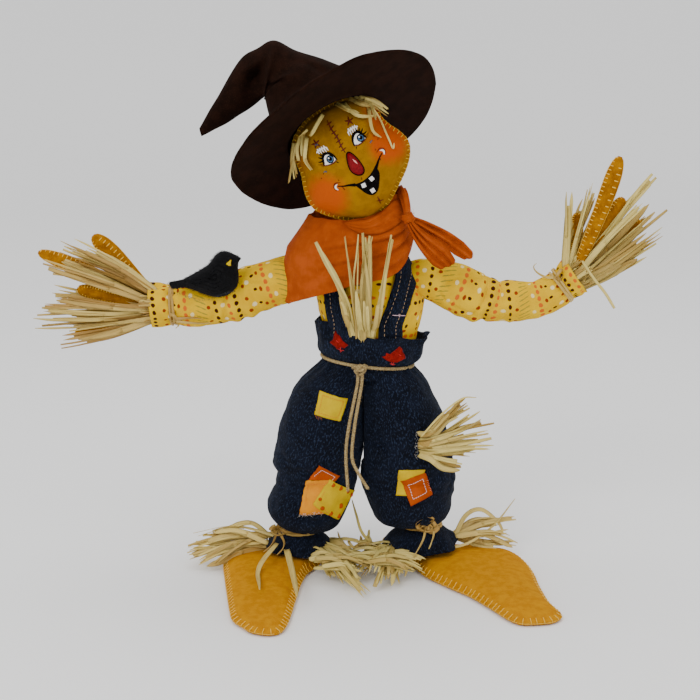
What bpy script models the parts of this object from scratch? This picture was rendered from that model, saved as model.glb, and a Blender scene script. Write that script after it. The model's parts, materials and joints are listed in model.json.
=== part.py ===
"""A posable felt scarecrow doll: a wire figure in shirt and overalls, with straw, hat and crow.

The figure faces -Y. Its right hand points to -X. All lengths are metres.
"""

import math

import bmesh
import bpy
from mathutils import Matrix, Vector
from mathutils.bvhtree import BVHTree

# ------------------------------------------------------------------ driving dimensions
SHIFT = Vector((0.0072, 0.0516, 0.0))  # puts the origin under the middle of the figure
GAP = 0.0004
WIRE_R = 0.0011
BORE_R = 0.0017
TWINE_R = 0.0014
CLOTH = 0.0014
FELT = 0.0026
STRAP_WIDTH = 0.020
STRAP_TOP = 0.012
PATCH = 0.0008

# joints, as points of the standing figure
NECK = Vector((0.0040, -0.0160, 0.3000))
HEAD_PIVOT = Vector((0.0040, -0.0160, 0.3150))
SHOULDER = {"right": Vector((-0.0460, 0, 0.2580)), "left": Vector((0.0720, 0, 0.2580))}
ELBOW = {"right": Vector((-0.0940, 0, 0.2440)), "left": Vector((0.1180, 0, 0.2392))}
HIP = {"right": Vector((-0.0200, 0, 0.1500)), "left": Vector((0.0340, 0, 0.1500))}
KNEE = {"right": Vector((-0.0300, 0, 0.0945)), "left": Vector((0.0480, 0, 0.0945))}
ANKLE = {"right": Vector((-0.0450, 0, 0.0180)), "left": Vector((0.0650, 0, 0.0180))}

# head: centre, roll towards the figure's right, and half outline from chin to crown
HEAD = Vector((0.0016, -0.0300, 0.3604))
HEAD_ROLL = math.radians(-30)
HEAD_OUTLINE = (
    (0.0, -0.0480), (0.0110, -0.0465), (0.0210, -0.0415), (0.0320, -0.0345),
    (0.0410, -0.0275), (0.0465, -0.0190), (0.0470, -0.0090), (0.0440, 0.0010),
    (0.0420, 0.0100), (0.0415, 0.0190), (0.0390, 0.0290), (0.0330, 0.0380),
    (0.0220, 0.0445), (0.0110, 0.0475), (0.0, 0.0485),
)
HEAD_PILLOW = ((1.0, 0.0), (0.93, 0.012), (0.78, 0.021), (0.52, 0.0275), (0.25, 0.0305))

# hat: it sits back on the head, with the front of its brim raised
HAT_TILT = math.radians(30)
HAT_RISE = 0.0290
HAT_BACK = 0.0100
BRIM_R = 0.0940
BRIM_HOLE = 0.0455

# torso sections: height, centre x, centre y, half width, half depth
SHIRT = (
    (0.184, 0.0145, 0.000, 0.0362, 0.0272), (0.200, 0.0165, 0.000, 0.0405, 0.0300),
    (0.216, 0.0185, 0.000, 0.0475, 0.0340), (0.235, 0.0175, 0.000, 0.0470, 0.0345),
    (0.252, 0.0140, 0.000, 0.0410, 0.0320), (0.266, 0.0100, -0.002, 0.0340, 0.0280),
    (0.279, 0.0075, -0.006, 0.0260, 0.0220), (0.291, 0.0055, -0.010, 0.0165, 0.0150),
)
OVERALLS = (
    (0.1765, 0.0125, 0.0, 0.0410, 0.0320), (0.1835, 0.0145, 0.0, 0.0386, 0.0296),
    (0.1900, 0.0150, 0.0, 0.0392, 0.0302), (0.2000, 0.0168, 0.0, 0.0444, 0.0354),
    (0.2130, 0.0190, 0.0, 0.0508, 0.0400),
)
WAISTBAND = 0.1765
RUFFLE_SLOPE = -0.11

# sleeves: centre x, centre z, radius, from the shoulder's dome to the cuff
UPPER_SLEEVE = {
    "right": (
        (-0.0300, 0.2580, 0.0055), (-0.0345, 0.2580, 0.0118), (-0.0420, 0.2580, 0.0158),
        (-0.0520, 0.2575, 0.0182), (-0.0640, 0.2545, 0.0200), (-0.0760, 0.2495, 0.0208),
        (-0.0840, 0.2465, 0.0180), (-0.0885, 0.2452, 0.0120),
    ),
    "left": (
        (0.0560, 0.2580, 0.0055), (0.0605, 0.2580, 0.0118), (0.0680, 0.2580, 0.0158),
        (0.0770, 0.2550, 0.0185), (0.0870, 0.2508, 0.0200), (0.0980, 0.2458, 0.0202),
        (0.1080, 0.2416, 0.0172), (0.1125, 0.2402, 0.0118),
    ),
}
FOREARM_SLEEVE = {
    "right": (
        (-0.0995, 0.2428, 0.0120), (-0.1040, 0.2412, 0.0182), (-0.1140, 0.2388, 0.0212),
        (-0.1280, 0.2370, 0.0212), (-0.1400, 0.2360, 0.0203), (-0.1480, 0.2353, 0.0175),
        (-0.1515, 0.2350, 0.0165), (-0.1560, 0.2348, 0.0175), (-0.1705, 0.2345, 0.0190),
    ),
    "left": (
        (0.1235, 0.2385, 0.0118), (0.1278, 0.2380, 0.0162), (0.1360, 0.2377, 0.0178),
        (0.1480, 0.2382, 0.0168), (0.1600, 0.2402, 0.0160), (0.1700, 0.2440, 0.0158),
        (0.1775, 0.2488, 0.0150), (0.1810, 0.2513, 0.0145), (0.1850, 0.2542, 0.0152),
        (0.1920, 0.2598, 0.0172),
    ),
}
WRIST = {
    "right": (Vector((-0.1515, 0, 0.2350)), Vector((-1, 0, -0.05)), 0.0165),
    "left": (Vector((0.1810, 0, 0.2513)), Vector((0.80, 0, 0.60)), 0.0145),
}
FINGERS = {
    "right": (
        (-0.1712, 0.2475), (-0.1860, 0.2640), (-0.2125, 0.2925), (-0.2190, 0.2935),
        (-0.2235, 0.2870), (-0.2040, 0.2620), (-0.2580, 0.2835), (-0.2655, 0.2800),
        (-0.2615, 0.2725), (-0.2070, 0.2460), (-0.2265, 0.2505), (-0.2325, 0.2455),
        (-0.2275, 0.2390), (-0.1900, 0.2285), (-0.1712, 0.2255),
    ),
    "left": (
        (0.1900, 0.2690), (0.1970, 0.2850), (0.2205, 0.3600), (0.2268, 0.3640),
        (0.2325, 0.3590), (0.2130, 0.3000), (0.2258, 0.3262), (0.2305, 0.3280),
        (0.2355, 0.3240), (0.2190, 0.2900), (0.2420, 0.3060), (0.2480, 0.3060),
        (0.2500, 0.3000), (0.2150, 0.2715), (0.2045, 0.2575),
    ),
}
HAND_STRAW = {
    "right": (
        (-0.1712, 0.2350, 0.0140, 0.0055), (-0.2000, 0.2365, 0.0260, 0.0072),
        (-0.2350, 0.2385, 0.0380, 0.0076), (-0.2640, 0.2380, 0.0420, 0.0070),
        (-0.2740, 0.2350, 0.0300, 0.0045),
    ),
    "left": (
        (0.1985, 0.2660, 0.0125, 0.0055), (0.2090, 0.2860, 0.0220, 0.0070),
        (0.2240, 0.3070, 0.0320, 0.0074), (0.2370, 0.3270, 0.0370, 0.0068),
        (0.2420, 0.3350, 0.0280, 0.0045),
    ),
}

# trouser legs: height, centre x, half width, half depth
THIGH = {
    "right": (
        (0.1725, -0.0172, 0.0120, 0.0110), (0.1660, -0.0180, 0.0220, 0.0210),
        (0.1500, -0.0237, 0.0290, 0.0300), (0.1300, -0.0277, 0.0330, 0.0340),
        (0.1145, -0.0302, 0.0358, 0.0360), (0.1070, -0.0290, 0.0305, 0.0306),
        (0.1010, -0.0290, 0.0198, 0.0198),
    ),
    "left": (
        (0.1725, 0.0330, 0.0150, 0.0110), (0.1660, 0.0360, 0.0285, 0.0210),
        (0.1500, 0.0404, 0.0336, 0.0300), (0.1300, 0.0440, 0.0374, 0.0345),
        (0.1145, 0.0466, 0.0400, 0.0365), (0.1070, 0.0476, 0.0345, 0.0310),
        (0.1010, 0.0480, 0.0225, 0.0200),
    ),
}
SHIN = {
    "right": (
        (0.0880, -0.0300, 0.0198, 0.0198), (0.0820, -0.0305, 0.0305, 0.0306),
        (0.0740, -0.0325, 0.0385, 0.0350), (0.0580, -0.0363, 0.0368, 0.0345),
        (0.0480, -0.0385, 0.0342, 0.0310), (0.0400, -0.0420, 0.0260, 0.0240),
        (0.0345, -0.0450, 0.0180, 0.0170), (0.0280, -0.0455, 0.0240, 0.0220),
        (0.0185, -0.0460, 0.0295, 0.0265),
    ),
    "left": (
        (0.0880, 0.0485, 0.0225, 0.0200), (0.0820, 0.0495, 0.0350, 0.0310),
        (0.0740, 0.0510, 0.0405, 0.0350), (0.0600, 0.0535, 0.0368, 0.0340),
        (0.0500, 0.0555, 0.0320, 0.0300), (0.0440, 0.0600, 0.0240, 0.0230),
        (0.0390, 0.0645, 0.0180, 0.0170), (0.0310, 0.0645, 0.0260, 0.0230),
        (0.0185, 0.0640, 0.0325, 0.0280),
    ),
}
ANKLE_TIE_Z = {"right": 0.0345, "left": 0.0390}
KNEE_PATCHES = {  # centre x, centre z, width, height
    "right": (-0.0230, 0.0650, 0.0300, 0.0300),
    "left": (0.0520, 0.0690, 0.0260, 0.0240),
}

# felt feet: half outline from heel to toe, y forward from the ankle, and outer offset
FOOT_OUTLINE = (
    (0.0, 0.0300), (0.0180, 0.0270), (0.0320, 0.0150), (0.0395, 0.0), (0.0410, -0.0180),
    (0.0365, -0.0450), (0.0320, -0.0750), (0.0285, -0.1020), (0.0260, -0.1280),
    (0.0215, -0.1500), (0.0120, -0.1640), (0.0, -0.1680),
)
FOOT_OFFSET = 0.0180
FOOT_HEIGHT = 0.0165
TOE_HEIGHT = 0.0090
FOOT_TURN = {"right": math.radians(-5), "left": math.radians(29)}
OUTWARD = {"right": -1, "left": 1}

# the waist tie's two hanging ends: points of each route
TWINE_ENDS = {
    "waist_tie_end_long": (
        (0.0068, -0.0372, 0.1815), (0.0056, -0.0450, 0.1720), (-0.0010, -0.0530, 0.1400),
        (-0.0034, -0.0555, 0.1164), (-0.0017, -0.0560, 0.0856),
    ),
    "waist_tie_end_short": (
        (0.0104, -0.0372, 0.1815), (0.0092, -0.0450, 0.1720), (0.0040, -0.0535, 0.1426),
        (0.0016, -0.0560, 0.1164), (0.0060, -0.0572, 0.1033), (0.0150, -0.0572, 0.0880),
    ),
}

# straw at the ankles: centre x, y, z and the three half sizes of each section
ANKLE_STRAW = {
    "right": {
        "right_ankle_straw": (
            (-0.0790, 0.0080, 0.0230, 0.0020, 0.0080, 0.0030),
            (-0.0980, 0.0100, 0.0225, 0.0020, 0.0150, 0.0040),
            (-0.1200, 0.0130, 0.0185, 0.0020, 0.0240, 0.0045),
            (-0.1480, 0.0160, 0.0140, 0.0020, 0.0300, 0.0040),
        ),
        "right_foot_straw": (
            (-0.0110, 0.0180, 0.0060, 0.0080, 0.0, 0.0045), (-0.0105, 0.0000, 0.0065, 0.0085, 0.0, 0.0055),
            (-0.0130, -0.0300, 0.0065, 0.0090, 0.0, 0.0055), (-0.0170, -0.0560, 0.0055, 0.0100, 0.0, 0.0045),
            (-0.0190, -0.0780, 0.0045, 0.0100, 0.0, 0.0035),
        ),
    },
    "left": {
        "left_ankle_straw": (
            (0.0990, 0.0180, 0.0240, 0.0, 0.0060, 0.0030), (0.1100, 0.0240, 0.0240, 0.0020, 0.0110, 0.0045),
            (0.1260, 0.0300, 0.0215, 0.0020, 0.0150, 0.0045), (0.1500, 0.0380, 0.0170, 0.0020, 0.0120, 0.0035),
        ),
        "left_foot_straw": (
            (0.0400, 0.0180, 0.0060, 0.0070, 0.0, 0.0045), (0.0350, 0.0000, 0.0065, 0.0080, 0.0, 0.0055),
            (0.0330, -0.0300, 0.0065, 0.0090, 0.0, 0.0055), (0.0330, -0.0560, 0.0055, 0.0100, 0.0, 0.0045),
            (0.0330, -0.0780, 0.0045, 0.0090, 0.0, 0.0035),
        ),
    },
}

GOLD_FELT = (0.72, 0.42, 0.06)
BROWN_FELT = (0.045, 0.022, 0.018)
STRAW = (0.78, 0.62, 0.38)
DENIM = (0.035, 0.055, 0.10)
PRINT = (0.90, 0.62, 0.14)
ORANGE = (0.80, 0.27, 0.06)
TWINE = (0.56, 0.42, 0.24)
YELLOW = (0.92, 0.68, 0.12)
STEEL = (0.55, 0.55, 0.57)

FRONT = Vector((0, -1, 0))


# ------------------------------------------------------------------ scene and placing
def clear_scene():
    for old in list(bpy.data.objects):
        bpy.data.objects.remove(old)


def new_collection(name):
    found = bpy.data.collections.new(name)
    bpy.context.scene.collection.children.link(found)
    return found


def material(name, color, roughness=0.9, metallic=0.0):
    made = bpy.data.materials.new(name)
    made.use_nodes = True
    shader = made.node_tree.nodes["Principled BSDF"]
    shader.inputs["Base Color"].default_value = (*color, 1)
    shader.inputs["Roughness"].default_value = roughness
    shader.inputs["Metallic"].default_value = metallic
    return made


def joint_empty(name, at, parent=None):
    empty = bpy.data.objects.new(name, None)
    empty.empty_display_size = 0.01
    PARTS.objects.link(empty)
    empty.parent = parent
    empty.location = at - PIVOTS[parent.name] if parent else at
    PIVOTS[name] = at
    return empty


def place(data, name, body, color, roughness=0.9, metallic=0.0):
    """An object of a mesh or curve made in the figure's coordinates, carried by a body."""
    data.name = name
    data.transform(Matrix.Translation(-PIVOTS[body.name]))
    made = bpy.data.objects.new(name, data)
    made.data.materials.append(material(name, color, roughness, metallic))
    made.parent = body
    PARTS.objects.link(made)
    return made


def add_cutter(data, name, body):
    data.transform(Matrix.Translation(-PIVOTS[body.name]))
    made = bpy.data.objects.new(name, data)
    made.parent = body
    made.hide_render = True
    made.display_type = "WIRE"
    CUTTERS.objects.link(made)
    return made


def cut(target, cutter):
    step = target.modifiers.new("cut", "BOOLEAN")
    step.operation = "DIFFERENCE"
    step.solver = "EXACT"
    step.object = cutter


def solidify(made, thickness, offset):
    step = made.modifiers.new("thickness", "SOLIDIFY")
    step.thickness = thickness
    step.offset = offset


# ------------------------------------------------------------------ shapes
def oval(centre, across, up, sides, power=2.0):
    """A ring of points; a power over 2 squares the oval's corners."""
    ring = []
    for i in range(sides):
        angle = 2 * math.pi * i / sides
        c = math.cos(angle)
        s = math.sin(angle)
        c = math.copysign(abs(c) ** (2 / power), c)
        s = math.copysign(abs(s) ** (2 / power), s)
        ring.append(centre + across * c + up * s)
    return ring


def loft(rings, start_cap=True, end_cap=True, bore=None):
    """A mesh through rings of equal count; a bore joins its two ends instead of caps."""
    bm = bmesh.new()
    if bore:
        rings = [bore[0], *rings, bore[1]]
    rows = [[bm.verts.new(p) for p in ring] for ring in rings]
    pairs = list(zip(rows, rows[1:]))
    if bore:
        pairs.append((rows[-1], rows[0]))
    for low, high in pairs:
        for i in range(len(low)):
            j = (i + 1) % len(low)
            bm.faces.new((low[i], low[j], high[j], high[i]))
    if not bore and start_cap:
        bm.faces.new(rows[0])
    if not bore and end_cap:
        bm.faces.new(rows[-1])
    bmesh.ops.recalc_face_normals(bm, faces=bm.faces)
    mesh = bpy.data.meshes.new("loft")
    bm.to_mesh(mesh)
    bm.free()
    mesh.shade_smooth()
    return mesh


def level_sections(table, sides=20, grow=0.0, slope=0.0):
    """Rings of a body that stands up; a slope lowers each ring towards +X."""
    rings = []
    for height, x, y, half_width, half_depth in table:
        ring = oval(
            Vector((x, y, height)),
            Vector((half_width + grow, 0, 0)),
            Vector((0, half_depth + grow, 0)),
            sides,
        )
        for p in ring:
            p.z += slope * (p.x - x) * min(1, max(0, (height - WAISTBAND) / 0.007))
        rings.append(ring)
    return rings


def path_sections(table, sides=16):
    """Rings square to a path in the XZ plane, from centre x, centre z and radius."""
    centres = [Vector((x, 0, z)) for x, z, _ in table]
    rings = []
    for i, (centre, row) in enumerate(zip(centres, table)):
        along = (centres[min(i + 1, len(table) - 1)] - centres[max(i - 1, 0)]).normalized()
        across = Vector((-along.z, 0, along.x))
        rings.append(oval(centre, across * row[2], Vector((0, row[2], 0)), sides))
    return rings


def ring_centre(ring):
    return sum(ring, Vector()) / len(ring)


def stuffed(name, rings, wire, body, color):
    """A stuffed limb with a hole along its wire. The wire is (start, end)."""
    start, end = wire
    middle = [
        start + (end - start) * ((ring_centre(r) - start).dot(end - start) / (end - start).length_squared)
        for r in (rings[0], rings[-1])
    ]
    return place(loft(rings, bore=bore_rings(rings, middle)), name, body, color)


def bore_rings(rings, centres):
    """Small rings at the bore's mouths, turned the same way as the end rings."""
    made = []
    for ring, centre in zip((rings[0], rings[-1]), centres):
        middle = ring_centre(ring)
        made.append([centre + (p - middle).normalized() * BORE_R for p in ring])
    return made


def tube(name, points, radius, body, color, closed=False, resolution=2, roughness=0.9, metallic=0.0):
    curve = bpy.data.curves.new(name, "CURVE")
    curve.dimensions = "3D"
    curve.bevel_depth = radius
    curve.bevel_resolution = resolution
    curve.use_fill_caps = not closed
    line = curve.splines.new("POLY")
    line.points.add(len(points) - 1)
    for knot, p in zip(line.points, points):
        knot.co = (*p, 1)
    line.use_cyclic_u = closed
    return place(curve, name, body, color, roughness, metallic)


def wire(name, start, end, body):
    """One straight run of the armature, kept short of the joints at its ends."""
    along = (end - start).normalized() * 0.0010
    return tube(name, (start + along, end - along), WIRE_R, body, STEEL, roughness=0.35, metallic=1.0)


def smooth_route(points, steps):
    """Points on a Catmull-Rom curve through a route."""
    ends = [points[0] * 2 - points[1], *points, points[-1] * 2 - points[-2]]
    route = []
    for a, b, c, d in zip(ends, ends[1:], ends[2:], ends[3:]):
        for i in range(steps):
            t = i / steps
            route.append(
                (b * 2 + (c - a) * t + (a * 2 - b * 5 + c * 4 - d) * t**2 + (b * 3 - a - c * 3 + d) * t**3) / 2
            )
    route.append(points[-1])
    return route


def surface_of(*objects):
    """Trees for casting rays at objects' evaluated surfaces, in figure coordinates."""
    bpy.context.view_layer.update()
    graph = bpy.context.evaluated_depsgraph_get()
    trees = []
    for made in objects:
        seen = made.evaluated_get(graph)
        mesh = seen.to_mesh()
        moved = seen.matrix_world
        trees.append(
            BVHTree.FromPolygons(
                [moved @ v.co - SHIFT for v in mesh.vertices],
                [tuple(p.vertices) for p in mesh.polygons],
            )
        )
        seen.to_mesh_clear()
    return trees


def laid_sheet(name, trees, starts, aims, thickness, body, color, lift=0.0009, roughness=0.9):
    """A thin piece laid on a surface: each row of start points is cast along its aim."""
    bm = bmesh.new()
    grid = []
    for row, aim in zip(starts, aims):
        line = []
        for start in row:
            hits = [tree.ray_cast(start, aim) for tree in trees]
            near = min((hit for hit in hits if hit[0]), key=lambda hit: hit[3])
            side = near[1] if near[1].dot(aim) < 0 else -near[1]
            line.append(bm.verts.new(near[0] + side * lift))
        grid.append(line)
    for low, high in zip(grid, grid[1:]):
        for i in range(len(low) - 1):
            bm.faces.new((low[i], low[i + 1], high[i + 1], high[i]))
    bm.normal_update()
    first = next(iter(bm.faces))
    outward = 1 if first.normal.dot(aims[0]) < 0 else -1
    mesh = bpy.data.meshes.new(name)
    bm.to_mesh(mesh)
    bm.free()
    made = place(mesh, name, body, color, roughness)
    solidify(made, thickness, outward)
    return made


def face_grid(centre, across, up, width, height, columns=5, rows=5):
    """Start points of a flat grid in front of a surface."""
    return [
        [
            centre + across * (width * (i / (columns - 1) - 0.5)) + up * (height * (j / (rows - 1) - 0.5))
            for i in range(columns)
        ]
        for j in range(rows)
    ]


def fan(name, table, body, centre_y, sides=14, lean=0.0):
    """A fan of straw in an upright plane: centre x, centre z, half width, half depth."""
    centres = [Vector((x, centre_y + lean * i, z)) for i, (x, z, _, _) in enumerate(table)]
    rings = []
    for i, (centre, row) in enumerate(zip(centres, table)):
        along = (centres[min(i + 1, len(table) - 1)] - centres[max(i - 1, 0)]).normalized()
        across = Vector((-along.z, 0, along.x)).normalized()
        rings.append(oval(centre, across * row[2], Vector((0, row[3], 0)), sides))
    return place(loft(rings), name, body, STRAW)


# ------------------------------------------------------------------ the figure's parts
def build_torso(body):
    shirt = place(loft(level_sections(SHIRT, 24), False, False), "shirt_body", body, PRINT)
    solidify(shirt, 0.0012, -1)
    core = level_sections(SHIRT, 20, grow=-0.0020)
    spine = (Vector((0.0130, 0, 0.1780)), NECK)
    stuffed("torso_body", core, spine, body, (0.80, 0.75, 0.66))
    wire("spine_wire", *spine, body)

    overalls = place(
        loft(level_sections(OVERALLS, 28, slope=RUFFLE_SLOPE), False, False),
        "overalls_waist", body, DENIM,
    )
    solidify(overalls, CLOTH, -1)
    shirt_tree = surface_of(shirt)
    for side, low_x, top_x in (("right", -0.0120, -0.0195), ("left", 0.0390, 0.0305)):
        starts = []
        aims = []
        for j in range(25):
            angle = math.radians(-26 + 232 * j / 24)
            out = Vector((0, -math.cos(angle), math.sin(angle)))
            share = max(0.0, math.sin(angle))
            x = low_x + (top_x - low_x) * share
            width = STRAP_WIDTH + (STRAP_TOP - STRAP_WIDTH) * share
            starts.append([Vector((x + width * (i / 4 - 0.5), -0.001, 0.2240)) + out * 0.09 for i in range(5)])
            aims.append(-out)
        laid_sheet(f"strap_{side}", shirt_tree, starts, aims, 0.0011, body, DENIM, lift=0.0018)

    waist = level_sections(((0.1868, 0.0148, 0.0, 0.0425, 0.0335),), 40, slope=RUFFLE_SLOPE)[0]
    knot_at = Vector((0.0085, -0.0352, 0.1876))
    ring = [p for p in waist[30:] + waist[:30] if (p - knot_at).length > 0.0072]
    tube("waist_tie", ring, TWINE_R, body, TWINE)
    place(ball(knot_at + Vector((0, -0.0008, 0)), (0.0052, 0.0040, 0.0048)), "waist_tie_knot", body, TWINE)
    for name, route in TWINE_ENDS.items():
        tube(name, smooth_route([Vector(p) for p in route], 6), TWINE_R, body, TWINE)

    overalls_tree = surface_of(overalls)
    for name, x, z in (("red_patch_right", -0.0105, 0.2045), ("red_patch_left", 0.0400, 0.1985)):
        laid_sheet(
            name, overalls_tree,
            face_grid(Vector((x, -0.08, z)), Vector((1, 0, 0)), Vector((0, 0, 1)), 0.015, 0.013),
            [-FRONT] * 6, PATCH, body, (0.55, 0.03, 0.03),
        )
    build_bandana(body)
    rings = [
        oval(Vector((x, y, z)), Vector((w, 0, 0)), Vector((0, d, 0)), 14)
        for x, y, z, w, d in (
            (0.0100, -0.0428, 0.1990, 0.0095, 0.0018), (0.0095, -0.0450, 0.2200, 0.0120, 0.0021),
            (0.0070, -0.0515, 0.2550, 0.0190, 0.0026), (0.0035, -0.0545, 0.2850, 0.0270, 0.0030),
            (0.0030, -0.0550, 0.2995, 0.0230, 0.0018),
        )
    ]
    place(loft(rings), "chest_straw", body, STRAW)


def ball(at, radii, segments=16, rings=10):
    bm = bmesh.new()
    bmesh.ops.create_uvsphere(bm, u_segments=segments, v_segments=rings, radius=1)
    bmesh.ops.transform(bm, matrix=Matrix.Translation(at) @ Matrix.Diagonal((*radii, 1)), verts=bm.verts)
    mesh = bpy.data.meshes.new("ball")
    bm.to_mesh(mesh)
    bm.free()
    mesh.shade_smooth()
    return mesh


def bandana_girth(height):
    """Half width and half depth of the cape at a height."""
    steps = (
        (0.304, 0.0300, 0.0270), (0.286, 0.0480, 0.0390),
        (0.266, 0.0590, 0.0425), (0.243, 0.0625, 0.0435),
    )
    for (z1, w1, d1), (z0, w0, d0) in zip(steps, steps[1:]):
        if height >= z0:
            t = (height - z0) / (z1 - z0)
            return w0 + (w1 - w0) * t, d0 + (d1 - d0) * t
    return steps[-1][1:]


def build_bandana(body):
    """A cape that hangs low at the front and is a narrow roll at the back."""
    columns = 40
    rings = []
    for j in range(7):
        ring = []
        for i in range(columns):
            angle = 2 * math.pi * i / columns
            facing = math.degrees(math.atan2(math.sin(angle), -math.cos(angle + math.pi)))
            front = math.exp(-((facing + 22) / 52) ** 4)
            hem = 0.2865 - 0.0415 * front + 0.0001 * max(facing + 20, 0) * front
            height = 0.304 + (hem - 0.304) * j / 6
            half_width, half_depth = bandana_girth(height)
            ring.append(cape_point(facing, height, half_width, half_depth))
        rings.append(ring)
    made = place(loft(rings, False, False), "bandana", body, ORANGE)
    solidify(made, 0.0014, 1)
    place(ball(Vector((0.0530, -0.0350, 0.3060)), (0.0100, 0.0080, 0.0095)), "bandana_knot", body, ORANGE)
    tails = {
        "bandana_tail_upper": (
            (0.0640, 0.3045, 0.0060), (0.0760, 0.2985, 0.0085),
            (0.0900, 0.2895, 0.0105), (0.1020, 0.2800, 0.0085),
        ),
        "bandana_tail_lower": (
            (0.0600, 0.2920, 0.0050), (0.0660, 0.2850, 0.0070),
            (0.0750, 0.2765, 0.0075), (0.0820, 0.2695, 0.0060),
        ),
    }
    for name, table in tails.items():
        centres = [Vector((x, -0.0350, z)) for x, z, _ in table]
        rings = []
        for i, centre in enumerate(centres):
            along = (centres[min(i + 1, 3)] - centres[max(i - 1, 0)]).normalized()
            rings.append(oval(centre, Vector((-along.z, 0, along.x)) * table[i][2], Vector((0, 0.0016, 0)), 12))
        place(loft(rings), name, body, ORANGE)


def cape_point(facing, height, half_width, half_depth, power=2.8):
    """A point on a squared oval round the neck; facing 0 is the front, 90 is +X."""
    angle = math.radians(facing)
    c = -math.cos(angle)
    s = math.sin(angle)
    x = math.copysign(abs(s) ** (2 / power), s) * half_width
    y = math.copysign(abs(c) ** (2 / power), c) * half_depth
    blend = min(1, max(0, (0.304 - height) / 0.04))
    return Vector((0.0055 + x, -0.0080 + 0.0070 * blend + y, height))


def head_rings(grow=0.0):
    right = Vector((math.cos(HEAD_ROLL), 0, -math.sin(HEAD_ROLL)))
    up = Vector((math.sin(HEAD_ROLL), 0, math.cos(HEAD_ROLL)))
    half = list(HEAD_OUTLINE)
    outline = half + [(-u, v) for u, v in half[-2:0:-1]]
    levels = [(s, -d) for s, d in reversed(HEAD_PILLOW[1:])] + list(HEAD_PILLOW)
    rings = []
    for scale, depth in levels:
        out = depth + math.copysign(grow, depth) if depth else 0
        ring = []
        for u, v in outline:
            flat = right * u + up * v
            ring.append(HEAD + flat * scale + flat.normalized() * grow + Vector((0, out, 0)))
        rings.append(ring)
    return rings, right, up


def build_head(body):
    rings, right, up = head_rings()
    head = place(loft(rings), "head", body, GOLD_FELT)
    hole = bpy.data.meshes.new("head_wire_hole")
    bm = bmesh.new()
    bmesh.ops.create_cone(bm, cap_ends=True, segments=12, radius1=BORE_R, radius2=BORE_R, depth=0.060)
    bmesh.ops.translate(bm, vec=HEAD_PIVOT + Vector((0, 0, 0.0120)), verts=bm.verts)
    bm.to_mesh(hole)
    bm.free()
    cut(head, add_cutter(hole, "head_wire_hole", body))
    wire("head_wire", HEAD_PIVOT, HEAD_PIVOT + Vector((0, 0, 0.0260)), body)

    nose = place(nose_mesh(right, up), "nose", body, (0.45, 0.02, 0.03), 0.5)
    grown, _, _ = head_rings(GAP)
    cut(nose, add_cutter(loft(grown), "nose_seat", body))

    tilt_up = up * math.cos(HAT_TILT) - FRONT * math.sin(HAT_TILT)
    forward = FRONT * math.cos(HAT_TILT) + up * math.sin(HAT_TILT)
    hat = HEAD + up * HAT_RISE + Vector((0, HAT_BACK, 0))
    rings = []
    for radius in (BRIM_HOLE, 0.058, 0.070, 0.082, BRIM_R):
        ring = oval(hat, right * radius, forward * radius, 40)
        share = (radius - BRIM_HOLE) / (BRIM_R - BRIM_HOLE)
        for i, p in enumerate(ring):
            p += tilt_up * brim_wave(2 * math.pi * i / 40) * share**1.5
        rings.append(ring)
    brim = place(loft(rings, False, False), "hat_brim", body, BROWN_FELT)
    solidify(brim, FELT, 0)

    crown_skin = loft(crown_rings(hat, right, forward, tilt_up), False, True)
    crown = place(crown_skin, "hat_crown", body, BROWN_FELT)
    solidify(crown, FELT, -1)

    head_tree = surface_of(head)
    for name, u, v, width, height in (
        ("hair_straw_right", -0.0285, 0.0160, 0.0150, 0.0260),
        ("hair_straw_left", 0.0190, 0.0270, 0.0250, 0.0120),
    ):
        middle = HEAD + right * u + up * v + FRONT * 0.08
        laid_sheet(
            name, head_tree, face_grid(middle, right, up, width, height),
            [-FRONT] * 6, 0.0016, body, STRAW, lift=0.0016,
        )


def brim_wave(angle):
    """How far the brim's edge rises; an angle of 90 degrees is the front."""
    return 0.0045 * math.sin(2 * angle + 0.6) - 0.0035 * math.sin(angle)


def nose_mesh(right, up):
    at = HEAD + up * -0.0030 + FRONT * 0.0300
    rings = []
    for v, half, deep in (
        (0.0105, 0.0006, 0.0020), (0.0070, 0.0030, 0.0045), (0.0020, 0.0056, 0.0070),
        (-0.0030, 0.0066, 0.0080), (-0.0080, 0.0046, 0.0062), (-0.0108, 0.0012, 0.0030),
    ):
        rings.append(oval(at + up * v, right * half, FRONT * deep, 14))
    return loft(rings)


def crown_rings(hat, right, forward, axis):
    """A cone whose top is folded over to the figure's right and hangs beside the brim."""
    rows = (
        (hat + axis * 0.0022, right, 0.0480, forward, 0.0480),
        (hat + axis * 0.0300, right, 0.0455, forward, 0.0440),
        (Vector((-0.0400, 0.0080, 0.4215)), Vector((0.86, 0, 0.50)), 0.0370, Vector((-0.15, -0.93, 0.25)), 0.032),
        (Vector((-0.0560, 0.0120, 0.4330)), Vector((0.60, 0, 0.80)), 0.0290, Vector((-0.05, -0.97, 0.10)), 0.023),
        (Vector((-0.0690, 0.0130, 0.4300)), Vector((0.15, 0, 0.99)), 0.0240, FRONT, 0.0170),
        (Vector((-0.0830, 0.0130, 0.4215)), Vector((-0.42, 0, 0.91)), 0.0200, FRONT, 0.0130),
        (Vector((-0.1000, 0.0120, 0.4070)), Vector((-0.70, 0, 0.71)), 0.0135, FRONT, 0.0095),
        (Vector((-0.1150, 0.0100, 0.3905)), Vector((-0.78, 0, 0.62)), 0.0080, FRONT, 0.0070),
        (Vector((-0.1245, 0.0090, 0.3800)), Vector((-0.78, 0, 0.62)), 0.0045, FRONT, 0.0042),
    )
    return [oval(at, a.normalized() * wide, b.normalized() * deep, 24) for at, a, wide, b, deep in rows]


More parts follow.
